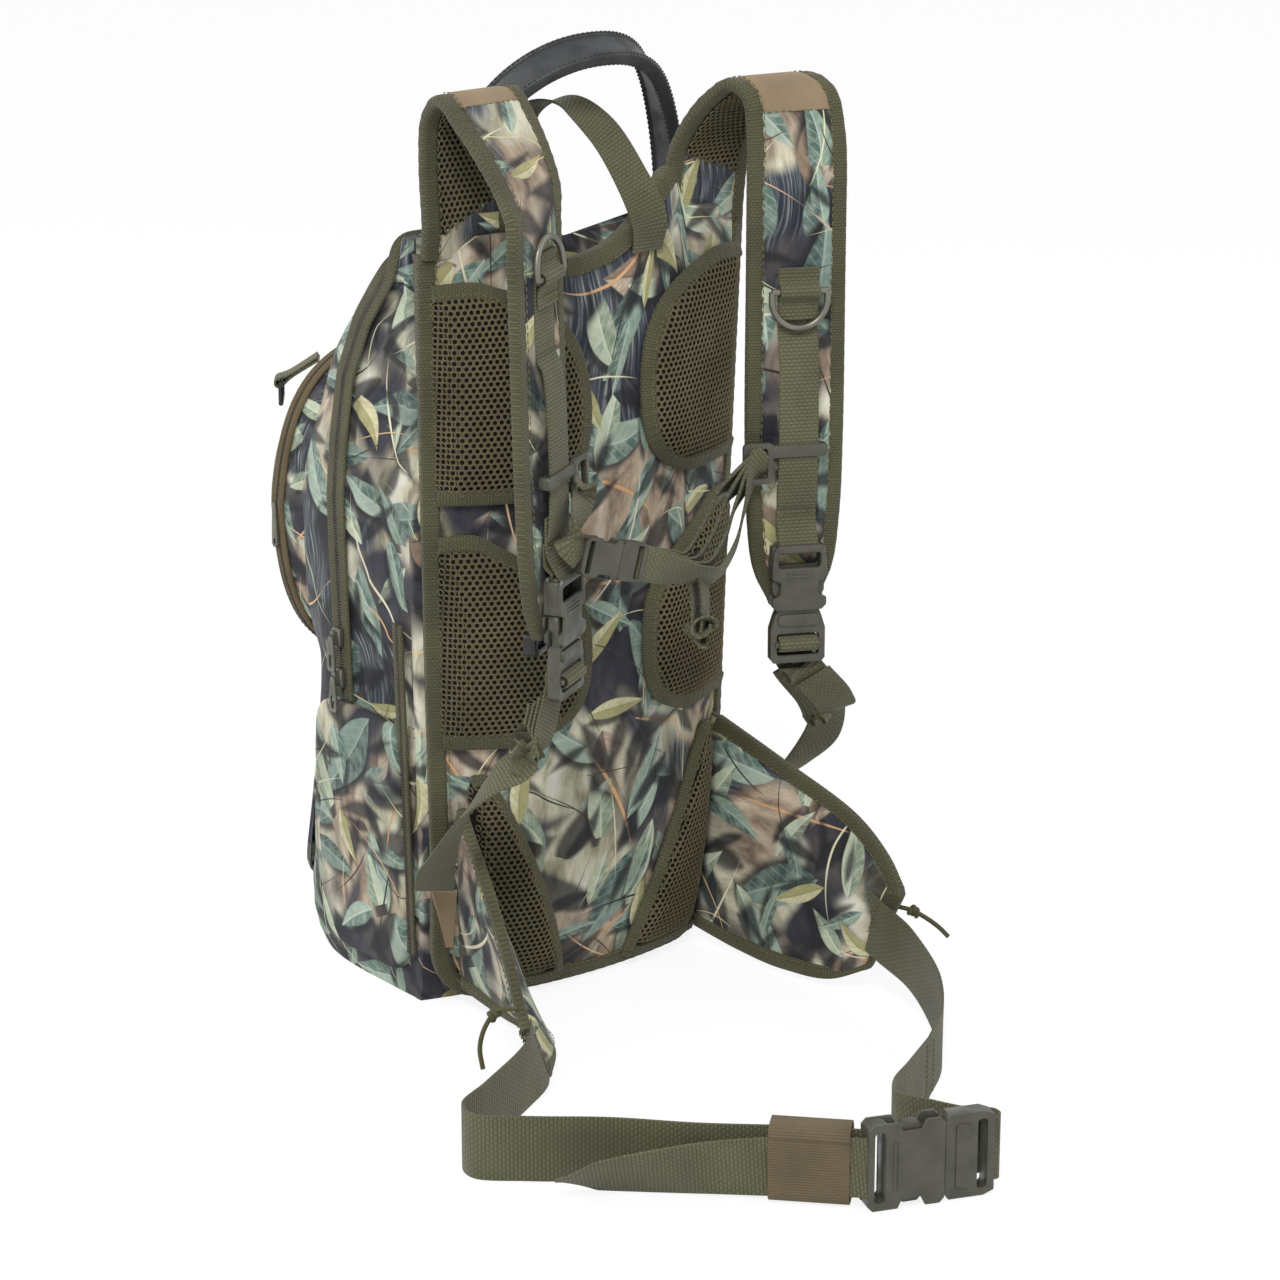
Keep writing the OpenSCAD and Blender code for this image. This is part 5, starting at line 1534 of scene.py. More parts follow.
    def mesh_cells(self, node: str, kept: Array, margin: float, side: int, inner: Callable[[Array], Array],
                   surface: Callable[[Array, Array], Array]) -> None:
        """Knits the open mesh over a pad.

        Args:
            node: Name of the pad.
            kept: Inner edge of the mesh.
            margin: Distance of its outer edge from the panel edge.
            side: Left or right.
            inner: Inner edge at a height.
            surface: Face of the pad.
        """
        levels = enumerate(np.arange(kept[0, 1] + 1, kept[-1, 1] - 1, MESH_ROW))
        places = np.arange(10, 125, MESH_PITCH)
        at = np.array([(x + (i % 2) * MESH_PITCH / 2, z) for i, z in levels for x in places])
        keep = (at[:, 0] > inner(at[:, 1]) + 0.2) & (at[:, 0] < self.form.half(at[:, 1]) - margin + 0.5)
        at = at[keep]
        x, z = side * at[:, 0], at[:, 1]
        p = surface(x, z)
        dx = surface(x + 1, z) - surface(x - 1, z)
        dz = surface(x, z + 1) - surface(x, z - 1)
        normal = unit(np.cross(dx, dz))
        normal *= np.where(normal[:, 1:2] > 0, -1, 1)
        self.shop.seat(self.shop.cells(node + "_mesh", p + normal * 0.2, normal), Body.PACK)


@dataclass
class BagBody:
    """Main bag and its lid, cut along the zip from one lofted shell, with tapes and coils."""

    shop: Workshop
    form: BagForm
    wall: float = 2.0
    tape: float = 9.0
    arc: int = 190

    def build(self) -> None:
        """Makes bag, lid, zip and the sleeve inside."""
        p, uv = self.loft()
        for name, keep, body, node in (("main_bag_cloth", LEFT, Body.PACK, "main_bag"),
                                       ("main_lid_cloth", RIGHT, Body.LID, "main_lid")):
            obj = self.shop.piece(name, self.cut(p, uv, keep), "camo", "lining", crease=70)
            self.shop.thicken(obj, self.wall)
            self.shop.seat(obj, body, node)
        self.zips()
        self.sleeve()
        self.seams()

    def loft(self) -> tuple[Array, Array]:
        """Lofted outside of the bag with soft creases.

        Returns:
            Points and cloth coordinates by level and place round the bag.
        """
        f = self.form
        zs = np.concatenate([[0, 1.5, 4, 8], np.linspace(12, 470, 132),
                             [476, 481, 485, 488.5, 491.5, 493.4, 494]])
        a = np.linspace(0, math.pi, 1801)
        rows = []
        for z in zs:
            c, s = np.cos(a), np.sin(a)
            x = f.half(z) * np.sign(c) * np.abs(c) ** (2 / f.lobe)
            y = f.rear(z) + (f.front(z) - f.rear(z)) * np.abs(s) ** (2 / f.lobe)
            arc = resample(xyz(x, y, z - f.dip(x, z)), self.arc)
            rx = np.linspace(-f.half(z), f.half(z), 26)[1:-1]
            back = xyz(rx, f.face(rx, z) + f.rear_gap, z - f.dip(rx, z))
            rows.append(np.vstack([arc, back]))
        p = np.array(rows)
        uv = grid_uv(p)
        rim, back = p[-1, self.arc - 1::-1], p[-1, self.arc:]
        uv[-1, self.arc:, 0] = np.interp(back[:, 0], rim[:, 0], uv[-1, self.arc - 1::-1, 0])
        uv[-1, self.arc:, 1] += (np.interp(back[:, 0], rim[:, 0], rim[:, 1]) - back[:, 1]) * MM
        du = np.roll(p, -1, axis=1) - np.roll(p, 1, axis=1)
        dz = np.gradient(p, axis=0)
        normal = unit(np.cross(du, dz))
        tilt = xyz(p[:, :, 0], p[:, :, 1] + 0.5 * p[:, :, 2], 0.45 * p[:, :, 2])
        creases = ripple(tilt, 24.0, 1.3) * 0.5 + ripple(p, 62.0, 5.2)
        creases -= 0.9 * np.abs(ripple(tilt, 40.0, 9.1)) * 2
        fade = np.clip(zs / 30, 0.1, 1) * np.clip((f.height - zs) / 30, 0, 1)
        away = np.clip(np.abs(p[:, :, 1] - f.zip_at(p[:, :, 2])) / 14, 0, 1)
        free = (p[:, :, 1] > f.rear(zs)[:, None] + 6).astype(float)
        push = (creases - 0.5) * 2.8 * fade[:, None] * away * free
        return p + normal * push[:, :, None], uv

    def cut(self, p: Array, uv: Array, keep: int) -> Patch:
        """Cuts the loft along the zip and fold line.

        Args:
            p: Points of the loft.
            uv: Cloth coordinates.
            keep: Right keeps the lid side, left the bag side.
        Returns:
            The kept part, open along the cut.
        """
        f = self.form
        n, m = p.shape[:2]
        q = p.copy()
        high = np.repeat(p[:, :1, 2], m, axis=1)
        s = np.minimum(p[:, :, 1] - f.zip_at(high), high - f.fold_at(p[:, :, 1]))
        for axis in (1, 0):
            for i in range(n - (axis == 0)):
                for j in range(m - (axis == 1)):
                    i2, j2 = i + (axis == 0), j + (axis == 1)
                    a, b = s[i, j], s[i2, j2]
                    if a * b >= 0 or abs(a - b) < 1e-9:
                        continue
                    k = a / (a - b)
                    if k < 0.5:
                        q[i, j] += (q[i2, j2] - q[i, j]) * k
                        s[i, j] = 0
                    else:
                        q[i2, j2] += (q[i, j] - q[i2, j2]) * (1 - k)
                        s[i2, j2] = 0
        s = s * keep
        faces: Faces = []
        for i in range(n - 1):
            for j in range(m):
                c = [(i, j), (i, (j + 1) % m), (i + 1, (j + 1) % m), (i + 1, j)]
                v = [s[k] for k in c]
                ids = [a * m + b for a, b in c]
                if min(v) >= 0:
                    faces.append(tuple(ids))
                elif max(v) > 0:
                    order = (0, 1, 2, 3) if v[0] * v[2] < 0 else (1, 2, 3, 0)
                    for tri in ((order[0], order[1], order[3]), (order[1], order[2], order[3])):
                        if min(v[k] for k in tri) >= 0:
                            faces.append(tuple(ids[k] for k in tri))
        top = (n - 1) * m
        mid_top, mid_foot = n * m, n * m + 1
        for j in range(m):
            a, b = top + j, top + (j + 1) % m
            if keep < 0:
                faces.append((j, (j + 1) % m, mid_foot))
            if min(s[n - 1, j], s[n - 1, (j + 1) % m]) >= 0:
                faces.append((b, a, mid_top))
        verts = np.vstack([q.reshape(-1, 3), q[-1].mean(axis=0)[None], q[0].mean(axis=0)[None]])
        flat = np.vstack([uv.reshape(-1, 2), uv[-1].mean(axis=0)[None], uv[0].mean(axis=0)[None]])
        used = np.unique([k for face in faces for k in face])
        remap = {int(k): i for i, k in enumerate(used)}
        faces = [tuple(remap[k] for k in face) for face in faces]
        return Patch(verts[used], faces, flat[used], [0] * len(faces))

    def zip_path(self, shift: float) -> tuple[Array, Array]:
        """Line of the zip over both sides and the top.

        Args:
            shift: Distance towards the front.
        Returns:
            Points and outward normals.
        """
        f = self.form
        zs = np.linspace(f.zip_foot + 2, 0.995 * f.height, 700)
        y = f.zip_at(zs) + shift
        t = (y - f.rear(zs)) / (f.front(zs) - f.rear(zs))
        ok = t < 0.9995
        zs, y = zs[ok], y[ok]
        x = f.side_x(y, zs)
        left = xyz(-x, y, zs - f.dip(x, zs))
        right = left[::-1] * np.array([-1, 1, 1])
        span = np.linspace(-x[-1], x[-1], 40)[1:-1]
        over = xyz(span, y[-1], zs[-1] - f.dip(span, zs[-1]))
        line = resample(np.vstack([left, over, right]), 330)
        for _ in range(3):
            line[1:-1] = (line[:-2] + 2 * line[1:-1] + line[2:]) / 4
        tangent = tangents(line)
        high = np.clip((line[:, 2] - 330) / 120, 0, 1)
        lead = unit(xyz(0, 1 - 0.25 * high, 0.75 * high))
        normal = unit(np.cross(tangent, squared(lead, tangent)))
        out = np.sign(np.sum(normal * (line - np.array([0, 60, 250])), axis=1, keepdims=True))
        return line, normal * out

    def zips(self) -> None:
        """Tapes and coils of the main zip."""
        halves = (("main_zip_rear", -self.tape / 2 - 0.3, Body.PACK),
                  ("main_zip_front", self.tape / 2 + 1.1, Body.LID))
        for node, shift, body in halves:
            name = node + "_tape"
            line, normal = self.zip_path(shift)
            wide = np.cross(normal, tangents(line))
            woven = ribbon(line + normal * 1.3, wide, self.tape, 1.9, 0.9)
            self.shop.fit(name, woven, "binding", body, node, slot="zip_brown")
            edge, out = self.zip_path(-0.8 if body == Body.PACK else 1.6)
            self.shop.coil(name + "_coil", edge + out * 1.9, body, 3.0)
            sew, out = self.zip_path(shift + (-3.0 if body == Body.PACK else 3.0))
            self.shop.sew(name + "_stitches", [sew + out * 2.2], body, 3.8, 2.7, 0.7)

    def sleeve(self) -> None:
        """Water bladder sleeve hung inside."""
        x = np.linspace(-80, 80, 34)
        z = np.linspace(40, 400, 70)
        gx, gz = np.meshgrid(x, z)
        y = self.form.face(gx, gz) + 15.3 + 0.5 * ripple(xyz(gx, gz, 0), 40.0, 2.2)
        p = xyz(gx, y, gz)
        obj = self.shop.fit("hydration_sleeve_cloth", shell(p, p + np.array([0, 1.6, 0]), 2.0), "lining",
                            Body.PACK, "hydration_sleeve")

    def seams(self) -> None:
        """Sewn seams on the sides of the bag."""
        f = self.form
        rows = []
        for side in SIDES:
            for z in (178.0, 184.0):
                y = np.linspace(f.rear(178) + 6, f.zip_y - 4, 30)
                rows.append(xyz(side * (f.side_x(y, z) + 0.2), y, z))
        self.shop.sew("bag_seam_stitches", rows, Body.PACK)


@dataclass
class Pockets:
    """Front, lower and side pockets with their zips."""

    shop: Workshop
    form: BagForm
    width: float = 194.0
    height: float = 216.0
    bulge: float = 46.0
    wall: float = 1.8
    lip: float = 26.0
    stand: int = 8

    @property
    def mid(self) -> float:
        """Height of the middle of the front pocket."""
        return self.form.lid_fold + 8 + self.height / 2

    def lobe(self, power: float) -> Array:
        """Evenly spaced points round a squarish loop of unit size."""
        a = np.linspace(0, 2 * math.pi, 4001)
        c, s = np.cos(a), np.sin(a)
        loop = xyz(np.sign(c) * np.abs(c) ** (2 / power), np.sign(s) * np.abs(s) ** (2 / power), 0)
        return resample(loop, 133)[:-1, :2]

    def dome(self, rows: Array, shift: float) -> Patch:
        """Closes a stack of loops over its last one.

        Args:
            rows: Loops by points.
            shift: Cloth offset.
        Returns:
            An open-backed patch.
        """
        n, m = rows.shape[:2]
        mid = rows[-1].mean(axis=0)
        verts = np.vstack([rows.reshape(-1, 3), mid[None]])
        faces = [(i * m + j, i * m + (j + 1) % m, (i + 1) * m + (j + 1) % m, (i + 1) * m + j)
                 for i in range(n - 1) for j in range(m)]
        faces += [((n - 1) * m + j, (n - 1) * m + (j + 1) % m, n * m) for j in range(m)]
        steps = np.diff(np.vstack([mid + 0 * rows[:1], rows[::-1]]), axis=0)
        away = np.cumsum(np.linalg.norm(steps, axis=2), axis=0)[::-1]
        flat = (rows[0] - mid)[:, [int(np.argmax(np.ptp(rows[0], axis=0)[:2])), 2]]
        uv = np.vstack([(away[:, :, None] * unit(flat)[None]).reshape(-1, 2), [[0.0, 0.0]]])
        return Patch(verts, faces, uv * MM + shift, [0] * len(faces))

    def front_rows(self, grow: float) -> Array:
        """Loops of the front pocket from the bag wall outwards."""
        f = self.form
        y1 = float(f.front(self.mid)) + self.bulge + grow
        ring = self.lobe(3.0) * np.array([self.width / 2 + grow, self.height / 2 + grow])
        prof = spline([(-self.lip, 1, 0), (-17, 0.965, 0), (-8, 0.89, 0), (-2, 0.74, 0), (0, 0.5, 0)], 16)
        rows = []
        rings = [(None, 1.0)] * self.stand + [(b, s) for b, s, _ in prof]
        for back, share in rings + [(0.3, 0.25), (0.4, 0.1)]:
            u, v = ring[:, 0] * share, ring[:, 1] * share
            lean = np.where(v > 0, 0.2 * v, -0.1 * v)
            z = self.mid + v
            y = y1 - self.lip - lean if back is None else y1 + back - lean
            rows.append(xyz(u, y, z))
        wall = f.front_y(ring[:, 0], self.mid + ring[:, 1]) - 3
        for k in range(self.stand):
            rows[k][:, 1] = wall + (rows[self.stand][:, 1] - wall) * (k / self.stand)
        return np.array(rows)

    def build(self) -> None:
        """Makes all pockets."""
        rows = self.front_rows(0.0)
        sag = ripple(rows, 28.0, 7.7) * 1.5 + ripple(rows, 70.0, 2.4) * 1.5
        sag = sag - 3.0 * np.abs(ripple(rows, 44.0, 4.1)) - 1.0
        fade = np.clip((np.arange(len(rows)) - self.stand + 1) / 5, 0, 1)
        rows[:, :, 1] += sag * fade[:, None]
        obj = self.shop.piece("front_pocket_cloth", self.dome(rows, 3.0), "camo", "lining", crease=70)
        self.shop.thicken(obj, self.wall)
        self.shop.seat(obj, Body.FRONT_POCKET, "front_pocket")
        self.front_zip()
        self.lower()
        for side in SIDES:
            self.side(side)

    def front_zip(self) -> None:
        """Brown zip band round the front pocket."""
        mid = self.front_rows(1.2)[self.stand] + np.array([0, -7.5, 0])
        wide = (0.0, 1.0, 0.0)
        self.shop.fit("front_zip_band", ribbon(mid, wide, 13.0, 2.0, 0.9, closed=True), "zip_tape",
                      Body.FRONT_POCKET, "front_zip")
        out = np.cross(tangents(mid, True), wide)
        out *= np.sign(np.sum(out * (mid - mid.mean(axis=0)), axis=1, keepdims=True))

        def loop(gap: float, back: float) -> Array:
            """Closed line beside the band."""
            q = mid + out * gap + np.array([0, back, 0])
            return np.vstack([q, q[:1]])

        self.shop.coil("front_zip_coil", loop(1.1, 0), Body.FRONT_POCKET, 2.8)
        rows = [loop(1.2, -4.6), loop(1.2, 4.6)]
        self.shop.sew("front_zip_stitches", rows, Body.FRONT_POCKET, 3.8, 2.7, 0.7)

    def low_dome(self, half_w: float, half_h: float, place: Callable[[Array, Array], Array]) -> Patch:
        """Flat sewn-on pocket.

        Args:
            half_w: Half its width.
            half_h: Half its height.
            place: Puts loop points at a height above the wall.
        Returns:
            The open-backed patch.
        """
        ring = self.lobe(6.0) * np.array([half_w, half_h])
        prof = [(-2.5, 1.0), (0, 1.0), (2.6, 1.0), (4.4, 0.985), (5.6, 0.965), (6.4, 0.935), (6.8, 0.9)]
        prof += [(6.9 + 0.6 * (1 - s), s) for s in (0.8, 0.65, 0.5, 0.35, 0.2, 0.08)]
        rows = np.array([place(ring * s, np.full(len(ring), lift)) for lift, s in prof])
        return self.dome(rows, 5.0)

    def crumple(self, p: Array, lift: Array, bump: float, fold: float) -> Array:
        """Soft bumps and folds of a sewn-on pocket, from two noise offsets."""
        return (ripple(p, 34.0, bump) - 3 * np.abs(ripple(p, 42.0, fold)) - 0.4) * np.clip(lift / 5, 0, 1)

    def lower(self) -> None:
        """Pocket low on the front."""
        mid = 20 + 116 / 2
        f = self.form

        def place(q: Array, lift: Array) -> Array:
            """Sets loop points on the bag front."""
            x, z = q[:, 0], mid + q[:, 1]
            p = xyz(x, f.front(z) + lift, z)
            p[:, 1] += self.crumple(p, lift, 4.4, 6.4)
            return p

        self.shop.fit("lower_pocket_cloth", self.low_dome(84, 58, place), "camo", Body.PACK, "lower_pocket",
                      crease=60)
        x = np.linspace(-74, 74, 60)
        line = xyz(x, f.front(124.0) + 6.2, 124.0)
        self.shop.fit("lower_zip_band", ribbon(line, (0.0, 0.1, 1.0), 11, 1.8, 0.8), "zip_tape", Body.PACK,
                      crease=40)
        self.shop.coil("lower_zip_coil", line + np.array([0, 1, 0]), Body.PACK, 2.6)

    def side(self, side: int) -> None:
        """Pocket and upright zip on one side."""
        f = self.form
        word = SIDES[side]

        def place(q: Array, lift: Array) -> Array:
            """Sets loop points on the bag side."""
            y, z = 77 + q[:, 0], 98 + q[:, 1]
            p = xyz(side * (f.half(z) + lift), y, z)
            p[:, 0] += side * self.crumple(p, lift, 8.4, 2.4)
            return p

        self.shop.fit(f"side_pocket_{word}_cloth", self.low_dome(48, 84, place), "camo", Body.PACK,
                      f"side_pocket_{word}", crease=60)
        z = np.linspace(31, 249, 70)
        line = xyz(side * (f.half(z) + 1.2), 28, z)
        self.shop.fit(f"side_zip_{word}_band", ribbon(line, (0.0, 1.0, 0.0), 10, 2.0, 0.8), "binding",
                      Body.PACK, slot="zip_brown", crease=40)
        self.shop.coil(f"side_zip_{word}_coil", line + np.array([side * 1.0, 0, 0]), Body.PACK, 2.6)


@dataclass(frozen=True)
class Frame:
    """Local frame of a fitting, sloped across its width, turned about the upright and moved."""

    origin: tuple[float, float, float]
    turn: float
    slope: float = 0.0
    level: float = 0.0

    def point(self, x: float, y: float, z: float) -> Array:
        """Places a local point in the fitting frame."""
        return self.place(np.array([[x, y, z]], float))[0]

    def place(self, q: Array) -> Array:
        """Places local points in the fitting frame.

        Args:
            q: Points across, outwards and upwards.
        Returns:
            Points in the fitting frame.
        """
        a, b = math.radians(self.turn), math.radians(self.slope)
        d = q[:, 2] - self.level
        x = q[:, 0] * math.cos(b) + d * math.sin(b)
        return xyz(self.origin[0] + x * math.cos(a) - q[:, 1] * math.sin(a),
                   self.origin[1] + x * math.sin(a) + q[:, 1] * math.cos(a),
                   self.origin[2] + d * math.cos(b) - q[:, 0] * math.sin(b))

    def across(self) -> Array:
        """Direction of the width."""
        a = math.radians(self.turn)
        return np.array([math.cos(a), math.sin(a), 0.0])


LEGS = {LEFT: Frame((-95.0, -92.0, SLIDER + 12.0), 28.0, -3.0, SLIDER),
        RIGHT: Frame((99.0, -92.0, SLIDER), -25.0, 0.0, SLIDER)}


@dataclass
class ShoulderStraps:
    """Padded straps from the panel top over the shoulder to the buckles."""

    shop: Workshop
    form: BagForm
    width: float = 60.0
    thick: float = 9.0
    tape: float = 11.0
    tip: float = 257.0

    def route(self, side: int) -> Array:
        """Middle line with width share and turn of the width."""
        leg = LEGS[side]
        root = float(self.form.face(90, 498)) + 4.5
        if side < 0:
            rows = [(-91.5, root + 2.2, 484, 1, 0), (-91.5, root - 0.3, 501, 1, 0),
                    (-92, root + 1, 540, 1, 0), (-93, -17, 568, 1, 2), (-94, -30, 580, 1, 5),
                    (-95, -50, 567, 1, 9), (-96, -68, 551, 1, 15), (-97, -84, 532, 1, 22)]
        else:
            rows = [(89.5, root + 2.2, 484, 1, 0), (89, root - 0.3, 501, 1, 0), (89, root - 7, 532, 1, 0),
                    (92, -38, 556, 1, -2), (95, -50, 567, 1, -4), (97, -68, 576, 1, -8),
                    (99, -84, 569, 1, -14), (99, -91, 546, 1, -20), (*leg.point(0, 0, 522), 1, leg.turn)]
        for z, share in ((507, 1), (486, 1), (460, 1), (self.tip + 103, 1), (self.tip + 53, 0.95),
                         (self.tip + 19, 0.8), (self.tip, 0.5)):
            rows.append((*leg.point(0, 0, z), share, leg.turn))
        return spline(rows, 150)

    def build(self) -> None:
        """Makes both straps."""
        for side in SIDES:
            self.strap(side)

    def strap(self, side: int) -> None:
        """Makes one strap with its mesh lining, binding and stitches."""
        word = SIDES[side]
        r = self.route(side)
        p = r[:, :3]
        turn = np.radians(r[:, 4])
        w = xyz(np.cos(turn), np.sin(turn), 0)
        t = tangents(p)
        n = unit(np.cross(w, t))
        wide = self.width * r[:, 3]
        u = np.linspace(-0.5, 0.5, 25)
        lift = np.minimum(1, 0.45 + 2.6 * (0.5 - np.abs(u))) * self.thick / 2
        rip = ripple(p, 16.0, 4.0 + side)[:, None] * 0.5
        across = p[:, None, :] + w[:, None, :] * (u[None, :] * wide[:, None])[:, :, None]
        outer = across - n[:, None, :] * (lift[None, :] + rip * 0.6)[:, :, None]
        under = across + n[:, None, :] * (lift[None, :] - 0.4)[:, :, None]
        # underside in the backing finish: partly painted shade seen through the mesh lining
        patch = shell(outer, under, 7.0 + side, 0, 2)
        top = int(np.argmax(p[:, 2]))
        tan = (top - 10, top + 4) if side < 0 else (top - 3, top + 9)
        cols = len(u) - 1
        for i in range(tan[0], tan[1]):
            for j in range(cols):
                patch.mats[2 * (i * cols + j)] = 1
        run = lengths(p)
        for i in range(len(p) - 1):
            for j in range(cols):
                if run[i] < self.lining_start(side, u[j]):
                    patch.mats[2 * (i * cols + j) + 1] = 0
        obj = self.shop.piece(f"shoulder_strap_{word}", patch, "camo", "tan", "foam")
        self.bend(obj, side, f"yoke_{word}", f"strap_{word}")
        tapes = []
        sewn = []
        for s in (-1, 1):
            mid = p + w * (s * (wide / 2 - self.tape / 2 + 1.2))[:, None]
            mid = mid + n * (0.25 * np.sin(np.arange(len(p)) * 2.1))[:, None]
            tapes.append(ribbon(mid, w, self.tape, self.thick * 0.86, 2.6))
            for face in (-1, 1):
                out = n * (face * (self.thick / 2 + 0.1))
                sewn.append((p + w * (s * (wide / 2 - self.tape + 2.6))[:, None] + out)[:-6])
        edge = [np.argmin(np.abs(run - self.lining_start(side, k))) for k in u]
        sewn.append(np.array([under[k, j] + n[k] * 0.4 for j, k in enumerate(edge)])[3:-3])
        for k in tan:
            sewn.append(across[k, 3:-3] - n[k] * (self.thick / 2 + 0.3))
        tip = spline([tuple(across[-1, 0]), tuple(across[-1, 12] + t[-1] * 3), tuple(across[-1, -1])], 20)
        tapes.append(ribbon(tip, n[-1], self.thick * 0.9, 6, 2.4))
        self.bend(self.shop.piece(f"strap_binding_{word}", Patch.join(tapes), "binding"), side)
        self.bend(self.shop.stitches(f"strap_stitches_{word}", sewn), side)
        self.lining(side, r, w, n, wide)

    def lining_start(self, side: int, u: float) -> float:
        """Length from the root at which the mesh lining begins, slanting over the width."""
        return 10.0 + 28.0 * (0.5 + u) if side < 0 else 28.0 + 20.0 * (0.5 - u)

    def bend(self, obj: Thing, side: int, *nodes: str) -> None:
        """Bakes a piece of a strap in place and hides the nodes it replaces."""
        start, end = (side * 94.0, -40.0, 567.0), (side * 96.0, -62.0, 567.0)
        self.shop.across(obj, Body.PACK, Body.HARNESS, start, end, *nodes)

    def lining(self, side: int, r: Array, w: Array, n: Array, wide: Array) -> None:
        """Knits the mesh under a strap.

        Args:
            side: Left or right.
            r: Route of the strap.
            w: Width directions.
            n: Directions out of its underside.
            wide: Widths.
        """
        run = lengths(r[:, :3])
        spots, normals = [], []
        for i, s in enumerate(np.arange(8, run[-1] - 8, MESH_ROW)):
            base, wd, nd = pick(r[:, :3], run, s), unit(pick(w, run, s)), unit(pick(n, run, s))
            reach = np.interp(s, run, wide) / 2 - self.tape + 2
            for x in np.arange(-27, 27.1, MESH_PITCH) + (i % 2) * MESH_PITCH / 2:
                if abs(x) < reach and s > self.lining_start(side, x / self.width) + 2:
                    spots.append(base + wd * x + nd * (self.thick / 2 + 0.1))
                    normals.append(nd)
        self.bend(self.shop.cells(f"strap_mesh_{SIDES[side]}", np.array(spots), np.array(normals)), side)


